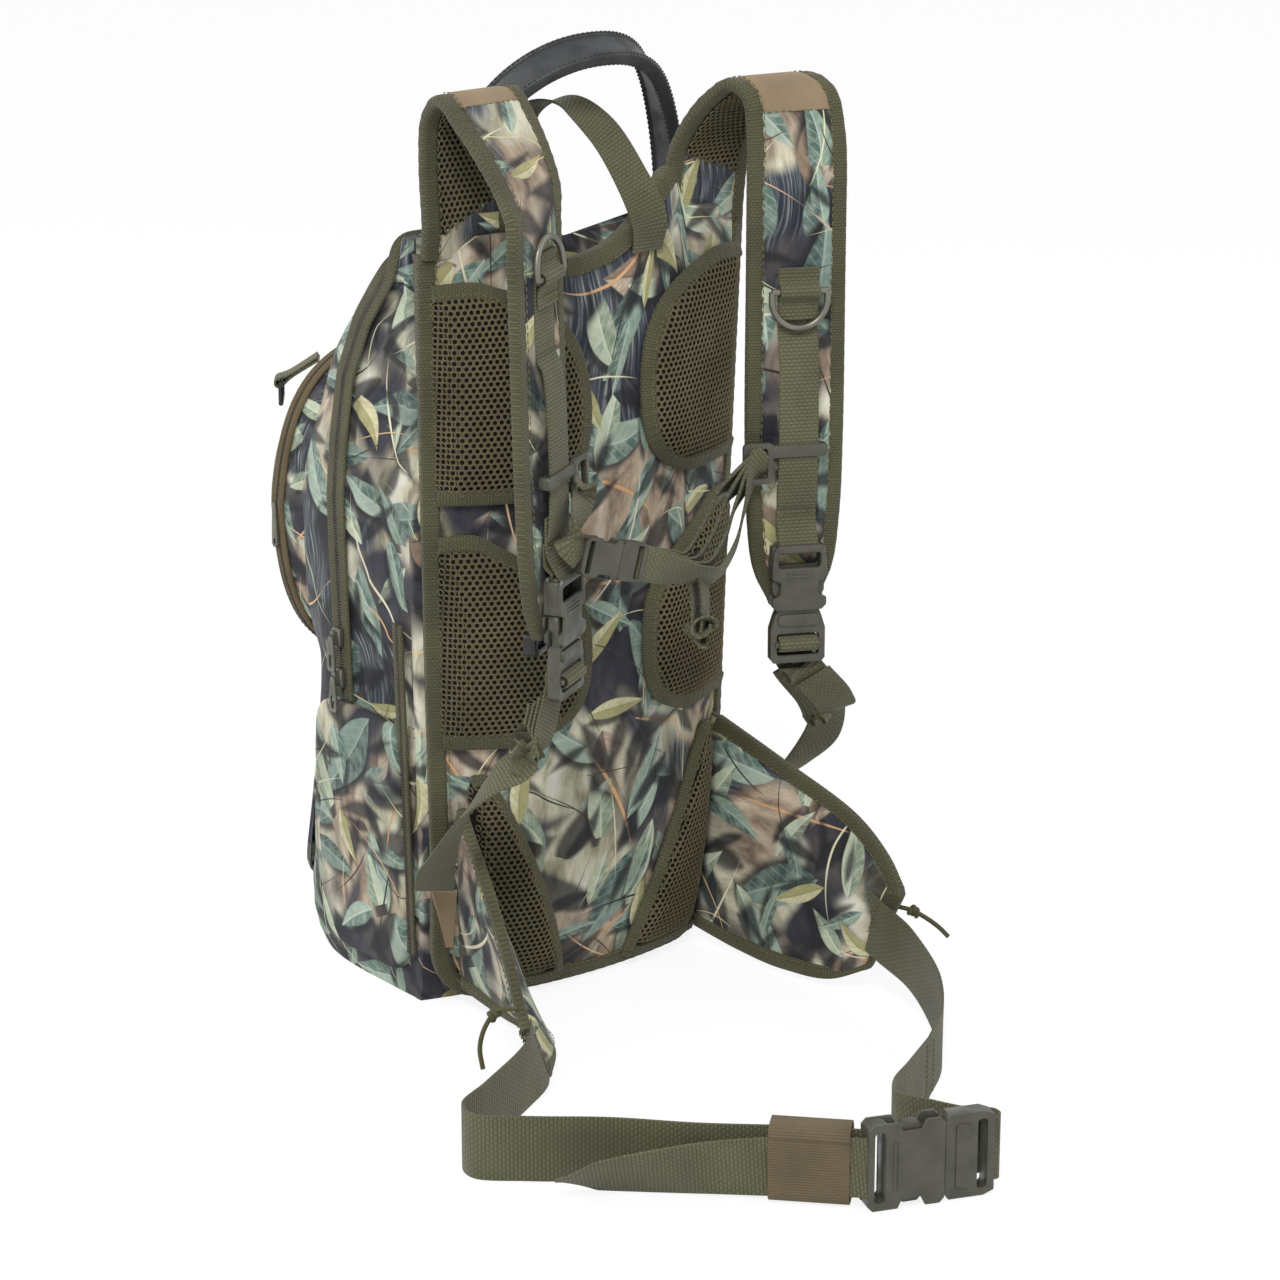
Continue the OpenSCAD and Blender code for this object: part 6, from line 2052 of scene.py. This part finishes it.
@dataclass
class StrapFittings:
    """Webbing, rings, buckles and clips on the hanging straps, and the adjusters below them."""

    shop: Workshop
    form: BagForm
    web: float = 25.0
    thin: float = 1.6
    skin: float = -4.9
    top: float = 294.0
    bar_y: float = -12.5
    clip_z: float = 286.0
    mould: float = 35.0

    def build(self) -> None:
        """Makes the fittings of both straps."""
        sockets = []
        clips = []
        for side in SIDES:
            leg = LEGS[side]
            word = SIDES[side]
            self.webbing(leg, word, 474.0 if side < 0 else 452.0)
            self.shop.repaint(f"d_ring_{word}", "metal")
            sockets.append(self.socket().moved(leg.place))
            clips.append(self.clip().moved(leg.place))
            self.shop.fit(f"tongue_{word}_moulding", self.tongue().moved(leg.place), "plastic",
                          f"tongue_{word}", f"shoulder_tongue_{word}")
            self.shop.fit(f"ladder_roll_{word}", self.ladder_roll().moved(leg.place), "webbing",
                          f"tongue_{word}")
        self.shop.fit("socket_mouldings", Patch.join(sockets), "plastic", Body.HARNESS, "shoulder_sockets")
        self.shop.fit("clip_mouldings", Patch.join(clips), "clip", Body.HARNESS, "strap_clips")
        self.adjusters()

    def webbing(self, leg: Frame, word: str, ring: float) -> None:
        """Webbing down one strap, with the ring loop and the buckle loop."""
        y = self.skin - self.thin / 2
        bar_z = self.top - 2.5
        r = 3.8
        line = [(y, ring + 14), (y, 425), (y - 3.2, 419), (y - 3.2, 318), (y, 313), (y, 304), (y - 0.2, 300)]
        for a in np.radians([60, 20, -30, -90, -150, 170, 120]):
            line.append((self.bar_y + r * math.cos(a), bar_z + r * math.sin(a)))
        line += [(y - 3.0, 305), (y - 1.8, 309), (y - 1.8, 330)]
        path = spline([(0, a, b) for a, b in line], 190)
        main = ribbon(path, (1.0, 0, 0), self.web, self.thin)
        cy = -10.0
        hoop = [(y - 1.8, ring - 18), (y - 1.8, ring - 8), (cy + 1.2, ring - 4.2), (cy - 2.2, ring - 2.6),
                (cy - 3.2, ring), (cy - 2.2, ring + 2.6), (cy + 1.2, ring + 4.2), (y - 1.8, ring + 7),
                (y - 1.8, ring + 14)]
        loop = spline([(0, a, b) for a, b in hoop], 60)
        tab = ribbon(loop, (1.0, 0, 0), self.web, self.thin)
        self.shop.fit(f"strap_webbing_{word}_woven", Patch.join([main, tab]).moved(leg.place), "webbing",
                      Body.HARNESS, f"strap_webbing_{word}")
        bars = [(11, y - 2.7, z) for z in (ring - 15, ring - 11, ring + 9, ring + 12)]
        bars += [(10, y - 2.7, z) for z in (327, 311.5)]
        rows = [xyz(np.linspace(-half, half, 12), out, z) for half, out, z in bars]
        for a, b in ((10, -10), (-10, 10), (-10, -10), (10, 10)):
            rows.append(np.array([[a, y - 2.7, 311.5], [b, y - 2.7, 327]]))
        rows += [xyz(np.linspace(-11, 11, 12), y - 1, z) for z in (428, 432)]
        self.shop.sew(f"strap_tacks_{word}", [leg.place(q) for q in rows], Body.HARNESS, 3.2, 2.6, 0.8)

    def socket(self) -> Patch:
        """Female half of a side-release buckle."""
        foot, head = self.top - 42, self.top
        mid = (foot + head) / 2
        w = self.mould / 2
        out = mirrored([(w - 3, foot), (w, foot + 3), (w, foot + 8), (w - 5, foot + 10), (w - 5.4, foot + 18),
                        (w, foot + 20.5), (w, head - 12), (w - 1.2, head - 3), (w - 4, head)], 0)
        slot = rounded(27, 9.4, 2, 0, head - 9.8)
        parts = [plate(out, [slot], 3.2, 6.0, 1.1), plate(out, [slot], -6.0, -3.2, 1.1),
                 plate(rounded(27.5, 5, 1.6, 0, head - 2.6), [], -2.4, 2.4, 1.2)]
        for s in (-1, 1):
            parts.append(plate(rounded(3.4, 21, 1.2, s * (w - 2), mid + 9.5), [], -4.2, 4.2, 0.8))
        for k in range(3):
            parts.append(plate(rounded(18, 1.3, 0.6, 0, head - 17.5 - 2.4 * k), [], -6.6, -5.5, 0.3))
        return Patch.join(parts).stood(self.bar_y)

    def tongue(self) -> Patch:
        """Male half with its prongs and ladder bars."""
        head = self.top - 42.5
        foot = head - 34
        w = self.mould / 2
        slots = [rounded(27, 5, 1.5, 0, foot + 7.5), rounded(27, 5, 1.5, 0, foot + 16.5)]
        body = mirrored([(w - 2, foot), (w, foot + 2.5), (w, foot + 22), (w - 2.5, head - 4),
                         (w - 4, head)], 0)
        parts = [plate(body, slots, -3.2, 4.6, 1.3),
                 plate(rounded(27, 8, 3, 0, head - 6), [], -5.2, 5.4, 1.2),
                 plate(rounded(30, 3.6, 1.4, 0, foot + 12), [], -5.2, 2.0, 1.0)]
        for s in (-1, 1):
            arm = [(s * 10.5, head - 3), (s * 13.5, head - 3), (s * 14.6, head + 9), (s * 16.6, head + 12),
                   (s * 16.8, head + 18), (s * 13, head + 23), (s * 10.8, head + 21), (s * 11.2, head + 10)]
            parts.append(plate(arm if s > 0 else arm[::-1], [], -2.7, 2.7, 0.7))
        parts.append(plate(rounded(5, 20, 1.5, 0, head + 6), [], -2.6, 2.6, 0.7))
        return Patch.join(parts).stood(self.bar_y)

    def ladder_roll(self) -> Patch:
        """Webbing threaded over the middle bar of a tongue."""
        mid = self.top - 42.5 - 22.0
        rows = [(7, 4.5), (-1, 4.5), (-6.3, 2.3), (-6.9, 0), (-6.3, -2.3), (-1, -4.5), (7, -4.5)]
        path = spline([(0, self.bar_y + a, mid + b) for a, b in rows], 60)
        return ribbon(path, (1.0, 0, 0), self.web, self.thin)

    def clip(self) -> Patch:
        """Dark clip behind the strap end."""
        z = self.clip_z
        parts = [plate(rounded(18, 40, 4, 4, z - 14), [], 0.2, 4.6, 1.0),
                 plate(rounded(18, 14, 3, 4, z - 40), [rounded(10, 5, 1.5, 4, z - 40.5)], 0.4, 8.6, 1.2),
                 plate(rounded(9, 26, 3, 4, z - 12), [], 4.2, 6.2, 0.8)]
        return Patch.join(parts).stood(4.9)

    def adjusters(self) -> None:
        """Adjuster webbing with its folded tail, and the tan tabs that hold it."""
        f = self.form
        ah = float(f.half(62)) - 3
        ay = float(f.face(ah, 62)) - 0.9
        tabs = []
        for side in SIDES:
            word = SIDES[side]
            leg = LEGS[side]
            d = leg.across()
            head = [(leg.point(0, -4.9, 234.5), d), (leg.point(0, -3.9, 220.5), d)]
            if side < 0:
                low = [((-106, -98, 197), (0.8, 0.3, 0.5)), ((-128, -90, 182), (0.75, 0.3, 0.6)),
                       ((-142, -76, 160), (0.85, 0.3, 0.4)), ((-144, -58, 134), (0.95, 0.2, 0.1)),
                       ((-135, -34, 110), (0.95, -0.1, -0.1)), ((-ah - 7, ay - 3.5, 84), (0.88, -0.47, -0.1))]
            else:
                low = [((124, -92, 190), (0.86, -0.42, 0.28)), ((140, -80, 170), (0.86, -0.42, 0.28)),
                       ((150, -62, 146), (0.9, -0.4, -0.1)), ((148, -42, 124), (0.95, 0, -0.1)),
                       ((136, -24, 104), (0.92, 0.25, 0.1)), ((ah + 7, ay - 3.5, 84), (0.88, 0.47, 0.1))]
            self.shop.fit(f"adjuster_{word}_tail", self.folded_tail(head + low, side), "webbing",
                          f"tongue_{word}")
            obj = self.shop.piece(f"adjuster_{word}_woven", strip(head + low, 120, self.web, self.thin),
                                  "webbing")
            start, end = np.array(low[1][0], float), np.array(low[-1][0], float)
            self.shop.across(obj, Body.HARNESS, Body.PACK, start, end, f"adjuster_{word}")
            tabs.append(self.tab(side, ah))
        self.shop.fit("base_anchor_tabs", Patch.join(tabs), "tan", Body.PACK, "base_anchors")

    def folded_tail(self, rows: Sequence[Sequence[Point]], side: int) -> Patch:
        """Spare end of the adjuster, folded flat below the buckle."""
        layers, fan = (3, 0.5) if side < 0 else (4, 3.2)
        span = (0.10, 0.28 if side < 0 else 0.36)
        return ribbon(*folds(*guided(rows, 120), span, layers, 3.0, -side * 2.4, fan), self.web, self.thin)

    def tab(self, side: int, ah: float) -> Patch:
        """Three-cornered tab at the foot of the panel."""
        v = np.linspace(0, 1, 14)[:, None]
        u = np.linspace(0, 1, 12)[None, :]
        x = side * (ah - 7 + u * (4 + 10 * v))
        z = 62 - 20 + v * 40 + 0 * u
        y = self.form.face(x, z) - 0.9 - 1.2 * v * v
        p = xyz(x, y - 1.6, z)
        return shell(p, p + np.array([0, 1.6, 0]), 9.0)


@dataclass
class SternumStrap:
    """Sliders, webbing and small buckle across the chest."""

    shop: Workshop
    web: float = 20.0
    thin: float = 1.6
    frame: Frame = Frame((-57.0, -115.0, 312.0), -6.0, 14.0)

    def build(self) -> None:
        """Makes sliders, buckle halves and webbing."""
        place = self.frame.place
        out = mirrored([(-26, -9), (-23, -12), (-15, -12), (-13, -9.5), (-6, -9.5), (-4, -12), (-1, -12),
                        (0, -10)], 1)
        slot = rounded(3.6, 20, 1.2, -21.6, 0)
        socket = [plate(out, [slot], 2.2, 4.4, 0.8), plate(out, [slot], -4.4, -2.2, 0.8),
                  plate(rounded(7, 23, 1.5, -21.6, 0), [slot], -2.6, 2.6, 0.5)]
        self.shop.fit("sternum_socket_moulding", Patch.join(socket).stood().moved(place), "plastic",
                      Body.STERNUM, "sternum_socket")
        base = plate(rounded(17.6, 24, 3, 9.3, 0), [rounded(4, 20.5, 1.2, 13.4, 0)], -4.0, 4.0, 1.2)
        prongs = [plate(rounded(17, 3.4, 1.2, -7.4, s * 7.6), [], -2.0, 2.0, 0.5) for s in (-1, 0, 1)]
        self.shop.fit("sternum_tongue_moulding", Patch.join([base] + prongs).stood().moved(place),
                      "plastic", Body.STERNUM_TONGUE, "sternum_tongue")
        self.sliders()
        self.straps()

    def sliders(self) -> None:
        """Ladder sliders on both strap webbings."""
        parts = []
        for side in SIDES:
            z = SLIDER
            bars = [plate(rounded(36.6, 8, 2.5, 0, z), [], -1.1, 1.1, 0.8).stood(-12.8),
                    plate(rounded(36.6, 6, 2.5, 0, z), [], -0.7, 0.7, 0.4).stood(-7.4)]
            bars += [plate(rounded(3.6, 8, 1.4, s * 16.4, z), [], -3, 3, 0.5).stood(-10) for s in (-1, 1)]
            hole = rounded(12, 19, 2, -side * 26.0, z - 7)
            bars.append(plate(rounded(19, 26, 3, -side * 26.0, z - 7), [hole], -1.8, 1.8, 1.0).stood(-12.4))
            parts += [bar.moved(LEGS[side].place) for bar in bars]
        self.shop.fit("sternum_slider_mouldings", Patch.join(parts), "plastic", Body.STERNUM,
                      "sternum_sliders", slot="metal")

    def straps(self) -> None:
        """Left webbing, and the right one with its folded layers."""
        a, b, at = LEGS[LEFT].point, LEGS[RIGHT].point, self.frame.point
        slope = math.radians(self.frame.slope)
        up = np.array([math.sin(slope), 0, math.cos(slope)])
        left = [(a(19.9, -11.7, 351), (0.3, -0.2, -0.94)), (a(26.3, -14.7, 337), (0.5, -0.2, -0.85)),
                (at(-35, 0.5, 8), (-0.5, 0, -0.86)), (at(-24, 0, 0), -up)]
        self.shop.fit("sternum_webbing_left_woven", strip(left, 50, self.web, self.thin), "webbing",
                      Body.STERNUM, "sternum_webbing_left")
        edge = np.array([0.6, 0.72, -0.34])
        start = [np.r_[at(14, 0, 0), -up], np.r_[at(27, 0.5, -1), -up * 0.8 + edge * 0.2]]
        end = [np.r_[b(-29, -11.2, 343), 0.5, 0.3, -0.8], np.r_[b(-20, -11.7, 351), 0.3, 0, -0.95]]
        tight = np.array([[-6, -105, 299], [10, -101, 304], [22, -100, 318], [34, -99, 335]], float)
        slack = np.array([[6, -110, 292], [29, -103, 288], [46, -98, 300], [55, -96, 321]], float)
        parts = []
        for k in range(4):
            way = tight + (slack - tight) * k / 3.0
            rows = start + [np.r_[q, edge * 0.9 - up * 0.1 * k] for q in way] + end
            lift = np.array([0, -0.6 * k, 1.2 - 0.8 * k, 0, 0, 0])
            parts.append(self.layer([r + lift for r in rows], 100))
        fall = [(12, -103, 300), (19, -103, 280), (20, -103, 258), (18, -103, 246), (14, -103, 250),
                (13, -102, 272), (9, -101, 298)]
        parts.append(self.layer([np.r_[q, 0.7, 0.55, -0.1] for q in fall], 90))
        wrap = np.linspace(0, 2 * math.pi, 25)[:-1]
        band = xyz(17 + 7 * np.cos(wrap), -103, 254 + 4 * np.sin(wrap))
        parts.append(ribbon(band, edge, self.web + 1.5, 1.4, closed=True))
        obj = self.shop.piece("sternum_webbing_right_woven", Patch.join(parts), "webbing")
        self.shop.across(obj, Body.STERNUM_TONGUE, Body.STERNUM, at(30, 0, 0), (62, -96, 330),
                         "sternum_webbing_right")

    def layer(self, rows: Sequence[Array], count: int) -> Patch:
        """One layer of the folded webbing, from rows of a point and a width direction."""
        return strip([(r[:3], r[3:]) for r in rows], count, self.web, self.thin)


@dataclass
class HipBelt:
    """Padded fins, belt webbing and the large buckle."""

    shop: Workshop
    form: BagForm
    web: float = 40.0
    thin: float = 1.6
    bz: float = 20.6
    thick: float = 10.0
    tape: float = 10.5
    inset: float = 4.0
    samples: int = 60
    frame: Frame = Frame((-52.0, -395.0, 26.4), -20.0)

    def rails(self, side: int) -> Array:
        """Top and bottom rail of a fin, sampled together."""
        f = self.form
        foot = lambda x, z: (x, float(f.face(x, z)) - 0.9, z)
        if side > 0:
            rows = [(*foot(104, 158), *foot(94, 12)), (116, -66, 136, 98, -46, 6),
                    (126, -126, 113, 100, -92, 6), (128, -154, 93, 109, -124, 8),
                    (128, -169, 75, 124, -143, 17)]
        else:
            rows = [(*foot(-100, 140), *foot(-93, 14)), (-117, -64, 102, -90, -44, 6),
                    (-131, -103, 73, -93, -79, 6), (-142, -131, 51, -105, -111, 6),
                    (-147, -145, 41, -130, -140, 8)]
        return spline(rows, self.samples)

    def build(self) -> None:
        """Makes fins, belt and buckle."""
        for side in SIDES:
            self.fin(side)
        self.belts()
        self.buckle()

    def fin(self, side: int) -> None:
        """Makes one padded fin with binding."""
        word = SIDES[side]
        body = f"fin_{word}"
        r = self.rails(side)
        a, b = r[:, :3], r[:, 3:]
        t = tangents(a + b)
        n = unit(np.cross(b - a, t))
        v = np.linspace(0, 1, 30)
        mid = a[:, None, :] * (1 - v)[None, :, None] + b[:, None, :] * v[None, :, None]
        k = np.arange(self.samples)
        ends = np.minimum(1, 0.3 + np.minimum(k / 5.0, (self.samples - 1 - k) / 6.0))
        lift = (0.3 + 0.7 * np.minimum(1, 5 * np.minimum(v, 1 - v))) * self.thick / 2
        puff = ripple(mid, 30.0, 3.0 + side) * 0.7
        p = mid + n[:, None, :] * ((lift[None, :] + puff * 0.5) * ends[:, None])[:, :, None]
        q = mid - n[:, None, :] * ((lift[None, :] + puff * 0.3) * ends[:, None])[:, :, None]
        obj = self.shop.fit(f"hip_fin_{word}_cloth", shell(p, q, 11.0 + side), "camo", body,
                            f"hip_fin_{word}")
        line = np.vstack([a[2:], (a[-1] * 0.75 + b[-1] * 0.25)[None], (a[-1] + b[-1])[None] / 2,
                          (a[-1] * 0.25 + b[-1] * 0.75)[None], b[:1:-1]])
        line = spline(line, 170)
        heart = mid.mean(axis=(0, 1))
        side_dir = unit(np.cross(tangents(line), np.mean(n, axis=0)))
        side_dir *= np.sign(np.sum(side_dir * (heart - line), axis=1, keepdims=True))
        line = line + side_dir * self.inset
        self.shop.fit(f"fin_binding_{word}", ribbon(line, side_dir, self.tape, 6.6, 2.2), "binding", body)
        near = np.array([n[np.argmin(np.linalg.norm(a + b - 2 * q1, axis=1))] for q1 in line])
        rows = [line + side_dir * 2.8 + near * (s * 4.0) for s in (-1, 1)]
        self.shop.sew(f"fin_stitches_{word}", rows, body)

    def belts(self) -> None:
        """Webbing from the fins over the floor to the buckle."""
        up = (0.0, 0.0, 1.0)
        z = self.bz
        at = self.frame.point
        left = [((-129, -131, 27), (-0.4, -0.1, 0.9)), ((-141, -147, 25), (-0.3, 0, 0.95)),
                ((-160, -160, 23), (-0.1, 0, 1)), ((-206, -184, z), up), ((-234, -200, z), up),
                ((-238, -216, z), up), ((-216, -238, z), up), ((-180, -268, z), up), ((-146, -304, z), up),
                ((-116, -334, z + 1), up), ((-102, -356, z + 4), up), (at(-38, 3.6, 0), up)]
        sewn = np.array([40.0, -292.0, z])
        right = [((118.6, -140, 54), (0, -0.4, 0.9)), ((118.6, -159, 47), (0, -0.4, 0.9)),
                 ((115.5, -190, 40), up), ((98, -234, 30), (0.05, 0, 1)), ((72, -268, z + 2), up), (sewn, up)]
        end = [(sewn, up), ((6, -312, z), up), ((-18, -326, z), up), ((-32, -344, z + 2), up),
               ((-30, -366, z + 5), up), (at(30, 13, 0), up), (at(41, 9, 0), up), (at(42, 2, 0), up),
               (at(35, 0, 0), up)]
        tail = [(at(-38, -4.4, 0), up), ((-104, -364, z + 3), up), ((-120, -346, z + 1), up),
                ((-150, -318, z - 1.5), (-0.15, -0.15, 0.95)), ((-184, -292, z - 4.5), (-0.35, -0.35, 0.8)),
                ((-218, -266, z - 9), (-0.5, -0.5, 0.5))]
        for word, rows, count, a, b, start, stop in (
                ("left", left, 190, Body.FIN_LEFT, Body.PACK, (-150, -153, 24), (-232, -200, z)),
                ("right", right, 90, Body.FIN_RIGHT, Body.PACK, (122, -176, 43), (60, -278, z)),
                ("end", end, 140, Body.PACK, Body.HIP_TONGUE, (0, -316, z), at(36, 12, 0))):
            obj = self.shop.piece(f"hip_belt_{word}_woven", strip(rows, count, self.web, self.thin),
                                  "webbing")
            self.shop.across(obj, a, b, start, stop, f"hip_belt_{word}")
        path, wide = guided(tail, 110)
        run = lengths(path)
        width = np.clip((run[-1] - run) / 22, 0.12, 1) * (self.web - 4)
        self.shop.fit("hip_tail_woven", ribbon(path, wide, width, self.thin), "webbing", Body.PACK,
                      "hip_tail")
        self.keeper()
        k = np.linspace(-16, 16, 14)
        rows = [xyz(117.5, y - 0.4 * k, 54.5 - 0.37 * (-140 - y) + 0.9 * k) for y in (-141.0, -151.0)]
        rows += [sewn + xyz(x * 1.6, x * 0.9 - 1.6, k) for x in (-3.0, 3.0)]
        self.shop.sew("belt_tacks", rows, Body.PACK, 3.0, 2.5, 0.9)

    def keeper(self) -> None:
        """Tan elastic band round belt and tail."""
        d = math.atan2(30, -28)
        c, s = math.cos(d), math.sin(d)
        ring = np.array(rounded(20.4, 45.6, 6.0))
        out, up = resample(np.concatenate([ring, ring[:1]]), 80)[:-1].T
        path = xyz(-106 - 2 * c - out * s, -352 - 2 * s + out * c, self.bz + 3.4 + up)
        self.shop.fit("hip_keeper_elastic", ribbon(path, (c, s, 0.0), 46.0, 1.3, 0.5, closed=True),
                      "elastic", Body.PACK, "hip_keeper")

    def buckle(self) -> None:
        """Large side-release buckle standing on edge."""
        place = self.frame.place
        out = mirrored([(-40, -23), (-37, -26), (-22, -26), (-19.5, -20.5), (-8, -20.5), (-5.5, -26),
                        (3, -26), (6, -23)], 1)
        slot = rounded(6, 42, 2, -33, 0)
        parts = [plate(out, [slot], 4.4, 7.0, 1.3), plate(out, [slot], -7.0, -4.4, 1.3),
                 plate(rounded(13, 51, 3, -33, 0), [slot], -4.8, 4.8, 1.0)]
        parts += [plate(rounded(1.6, 30, 0.7, -24.5 + 2.8 * k, 0), [], -7.6, -6.6, 0.3) for k in range(2)]
        self.shop.fit("hip_socket_moulding", Patch.join(parts).stood().moved(place), "plastic", Body.PACK,
                      "hip_socket")
        base = mirrored([(6.6, -22), (9, -25.6), (30, -25.6), (36.4, -23)], 1)
        parts = [plate(base, [rounded(6, 42, 2, 29, 0)], -5.4, 5.4, 1.8),
                 plate(rounded(9, 40, 3, 17, 0), [], -6.6, 6.6, 1.2)]
        for s in (-1, 1):
            arm = [(8, s * 13), (8, s * 18), (-6, s * 19.6), (-9, s * 24.0), (-18, s * 24.2), (-23, s * 18),
                   (-20, s * 14), (-6, s * 14)]
            parts.append(plate(arm if s < 0 else arm[::-1], [], -3.8, 3.8, 0.9))
        parts.append(plate(rounded(26, 7, 2, -5, 0), [], -3.6, 3.6, 0.9))
        self.shop.fit("hip_tongue_moulding", Patch.join(parts).stood().moved(place), "plastic",
                      Body.HIP_TONGUE, "hip_tongue")


@dataclass
class TopLoops:
    """Rubber carry handle and webbing haul loop."""

    shop: Workshop
    form: BagForm
    half: float = 80.0
    rise: float = 108.0

    def build(self) -> None:
        """Makes handle and haul loop."""
        a = np.radians(np.arange(0, 181, 6))
        s, c = np.sin(a), np.cos(a)
        rows = xyz(self.half * np.sign(c) * np.abs(c) ** 0.88, 8 - 32 * s**3, 491 + self.rise * s**0.88)
        path, wide = guided(list(zip(rows, xyz(0, 1, 0.6 * s))), 150)
        core = ribbon(path, wide, 23.0, 6.6, 3.0)
        t = tangents(path)
        w = squared(wide, t)
        n = np.cross(w, t)
        lips = [ribbon(path + w * (k * 10.0), wide, 4.0, 8.6, 1.8) for k in (-1, 1)]
        self.shop.fit("carry_handle_grip", Patch.join([core] + lips), "rubber", Body.HANDLE, "carry_handle")
        rows = [path[4:-4] + w[4:-4] * k + n[4:-4] * (s * 4.5) for k in (-10.0, 10.0) for s in (-1, 1)]
        self.shop.seat(self.shop.stitches("carry_handle_ribs", rows, 3.4, 2.4, 1.5, "rubber", "rubber"),
                       Body.HANDLE)
        f = self.form
        haul = [((31, float(f.face(31, 474)) - 1.9, 474), (0.9, 0.05, 0.4)),
                ((31, float(f.face(31, 476)) - 4.5, 492), (0.9, -0.1, 0.4)),
                ((22, -27, 520), (0.9, 0.1, 0.4)), ((8, -14, 550), (0.9, 0.2, 0.3)),
                ((-8, 0, 565), (0.9, 0.3, 0)), ((-24, 13, 560), (0.9, 0.3, -0.2)),
                ((-33, 21, 525), (0.95, 0.1, -0.2)), ((-36, 8, 464), (1, 0, 0))]
        self.shop.fit("haul_loop_woven", strip(haul, 120, 25.0, 1.6), "webbing", Body.PACK, "haul_loop")


@dataclass
class Pulls:
    """Zip sliders, pulls and the lash ring that stay as moulded or cast pieces."""

    shop: Workshop

    def build(self) -> None:
        """Makes sliders and pulls, and finishes the lash ring."""
        for word in ("upper", "lower"):
            self.slider(f"zip_slider_{word}")
            self.pull(f"zip_pull_{word}", f"zip_pull_{word}", 8.4, True)
        self.pull("front_pull", Body.FRONT_PULL, 6.4, False)
        self.pull("lower_pull", Body.LOWER_PULL, 6.4, False)
        self.shop.repaint("lash_ring", "clip")
        self.lash_tab()

    def span(self, node: str) -> tuple[Array, Array]:
        """Middle and half size of a node's box in the fitting frame in millimetres."""
        lo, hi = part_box(node)
        back = np.array([0.0, FIT_Y, 0.0])
        low, high = np.array(lo) / MM - back, np.array(hi) / MM - back
        return (low + high) / 2, (high - low) / 2

    def slider(self, node: str) -> None:
        """Zip slider with a bridge for its pull."""
        mid, half = self.span(node)
        body = plate(rounded(2 * half[1], 2 * half[2], 2.6), [], -half[0] + 0.2, half[0] - 2.6, 1.0)
        long = rounded(3.6, 2 * half[2] - 3, 1.6)
        bridge = plate(long, [rounded(1.4, 5, 0.6)], half[0] - 2.8, half[0], 0.5)
        turned = Patch.join([body, bridge]).moved(lambda q: xyz(-q[:, 2], q[:, 0], q[:, 1]) + mid)
        self.shop.fit(node + "_casting", turned, "metal", node, node)

    def pull(self, node: str, body: Body | str, width: float, open_end: bool) -> None:
        """Drop-shaped pull with holes, hung in the box of its node.

        Args:
            node: Node that it replaces.
            body: Its body.
            width: Width at the foot.
            open_end: True where the foot has a long hole.
        """
        mid, half = self.span(node)
        tall = half[2]
        w = width / 2
        out = mirrored([(w - 1.5, -tall), (w, -tall + 1.8), (w, -tall + 9), (w * 0.62, tall - 3),
                        (w * 0.4, tall)], 0)
        hole = rounded(2.2, 4, 1, 0, -tall + 4)
        if open_end:
            hole = rounded(width * 0.42, 8.5, 1.2, 0, -tall + 6.6)
        leaf = plate(out, [hole], -0.8, 0.8, 0.4)
        axes = [2, 0, 1] if half[0] <= half[1] else [0, 2, 1]
        self.shop.fit(node + "_casting", leaf.moved(lambda q: q[:, axes] + mid), "metal", body, node)

    def lash_tab(self) -> None:
        """Webbing tab folded round the lash ring."""
        a = math.radians(-32)

        def place(q: Array) -> Array:
            """Places local points of the tab."""
            y = q[:, 1] * math.cos(a) - q[:, 2] * math.sin(a)
            z = q[:, 1] * math.sin(a) + q[:, 2] * math.cos(a)
            return Frame((-61.0, 196.87, 380.9), 55.0).place(xyz(q[:, 0], y, z))

        rows = [(0, 0, 1.0), (0, 22, 1.0), (0, 27, 2.0)]
        rows += [(0, 30 + 2.8 * math.cos(k), 2.8 * math.sin(k)) for k in np.radians([100, 50, 0, -50, -100])]
        rows += [(0, 27, -2.0), (0, 22, -1.0), (0, 0, -1.0)]
        path = spline(rows, 80)
        tab = ribbon(path, (1.0, 0, 0), 17.0, 1.5).moved(place)
        self.shop.fit("lash_tab_woven", tab, "webbing", Body.FRONT_POCKET, "lash_tab")


def main() -> None:
    """Builds the stage and every sub-assembly."""
    logging.basicConfig(level=logging.INFO, format="%(name)s: %(message)s")
    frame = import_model()
    Stage().build()
    shop = Workshop(frame, Finishes())
    form = BagForm()
    for maker in (FinCords(shop), BackPanel(shop, form), BagBody(shop, form), Pockets(shop, form),
                  ShoulderStraps(shop, form), StrapFittings(shop, form), SternumStrap(shop),
                  HipBelt(shop, form), TopLoops(shop, form), Pulls(shop)):
        LOG.info("building %s", type(maker).__name__)
        maker.build()
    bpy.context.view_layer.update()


if __name__ == "__main__":
    main()
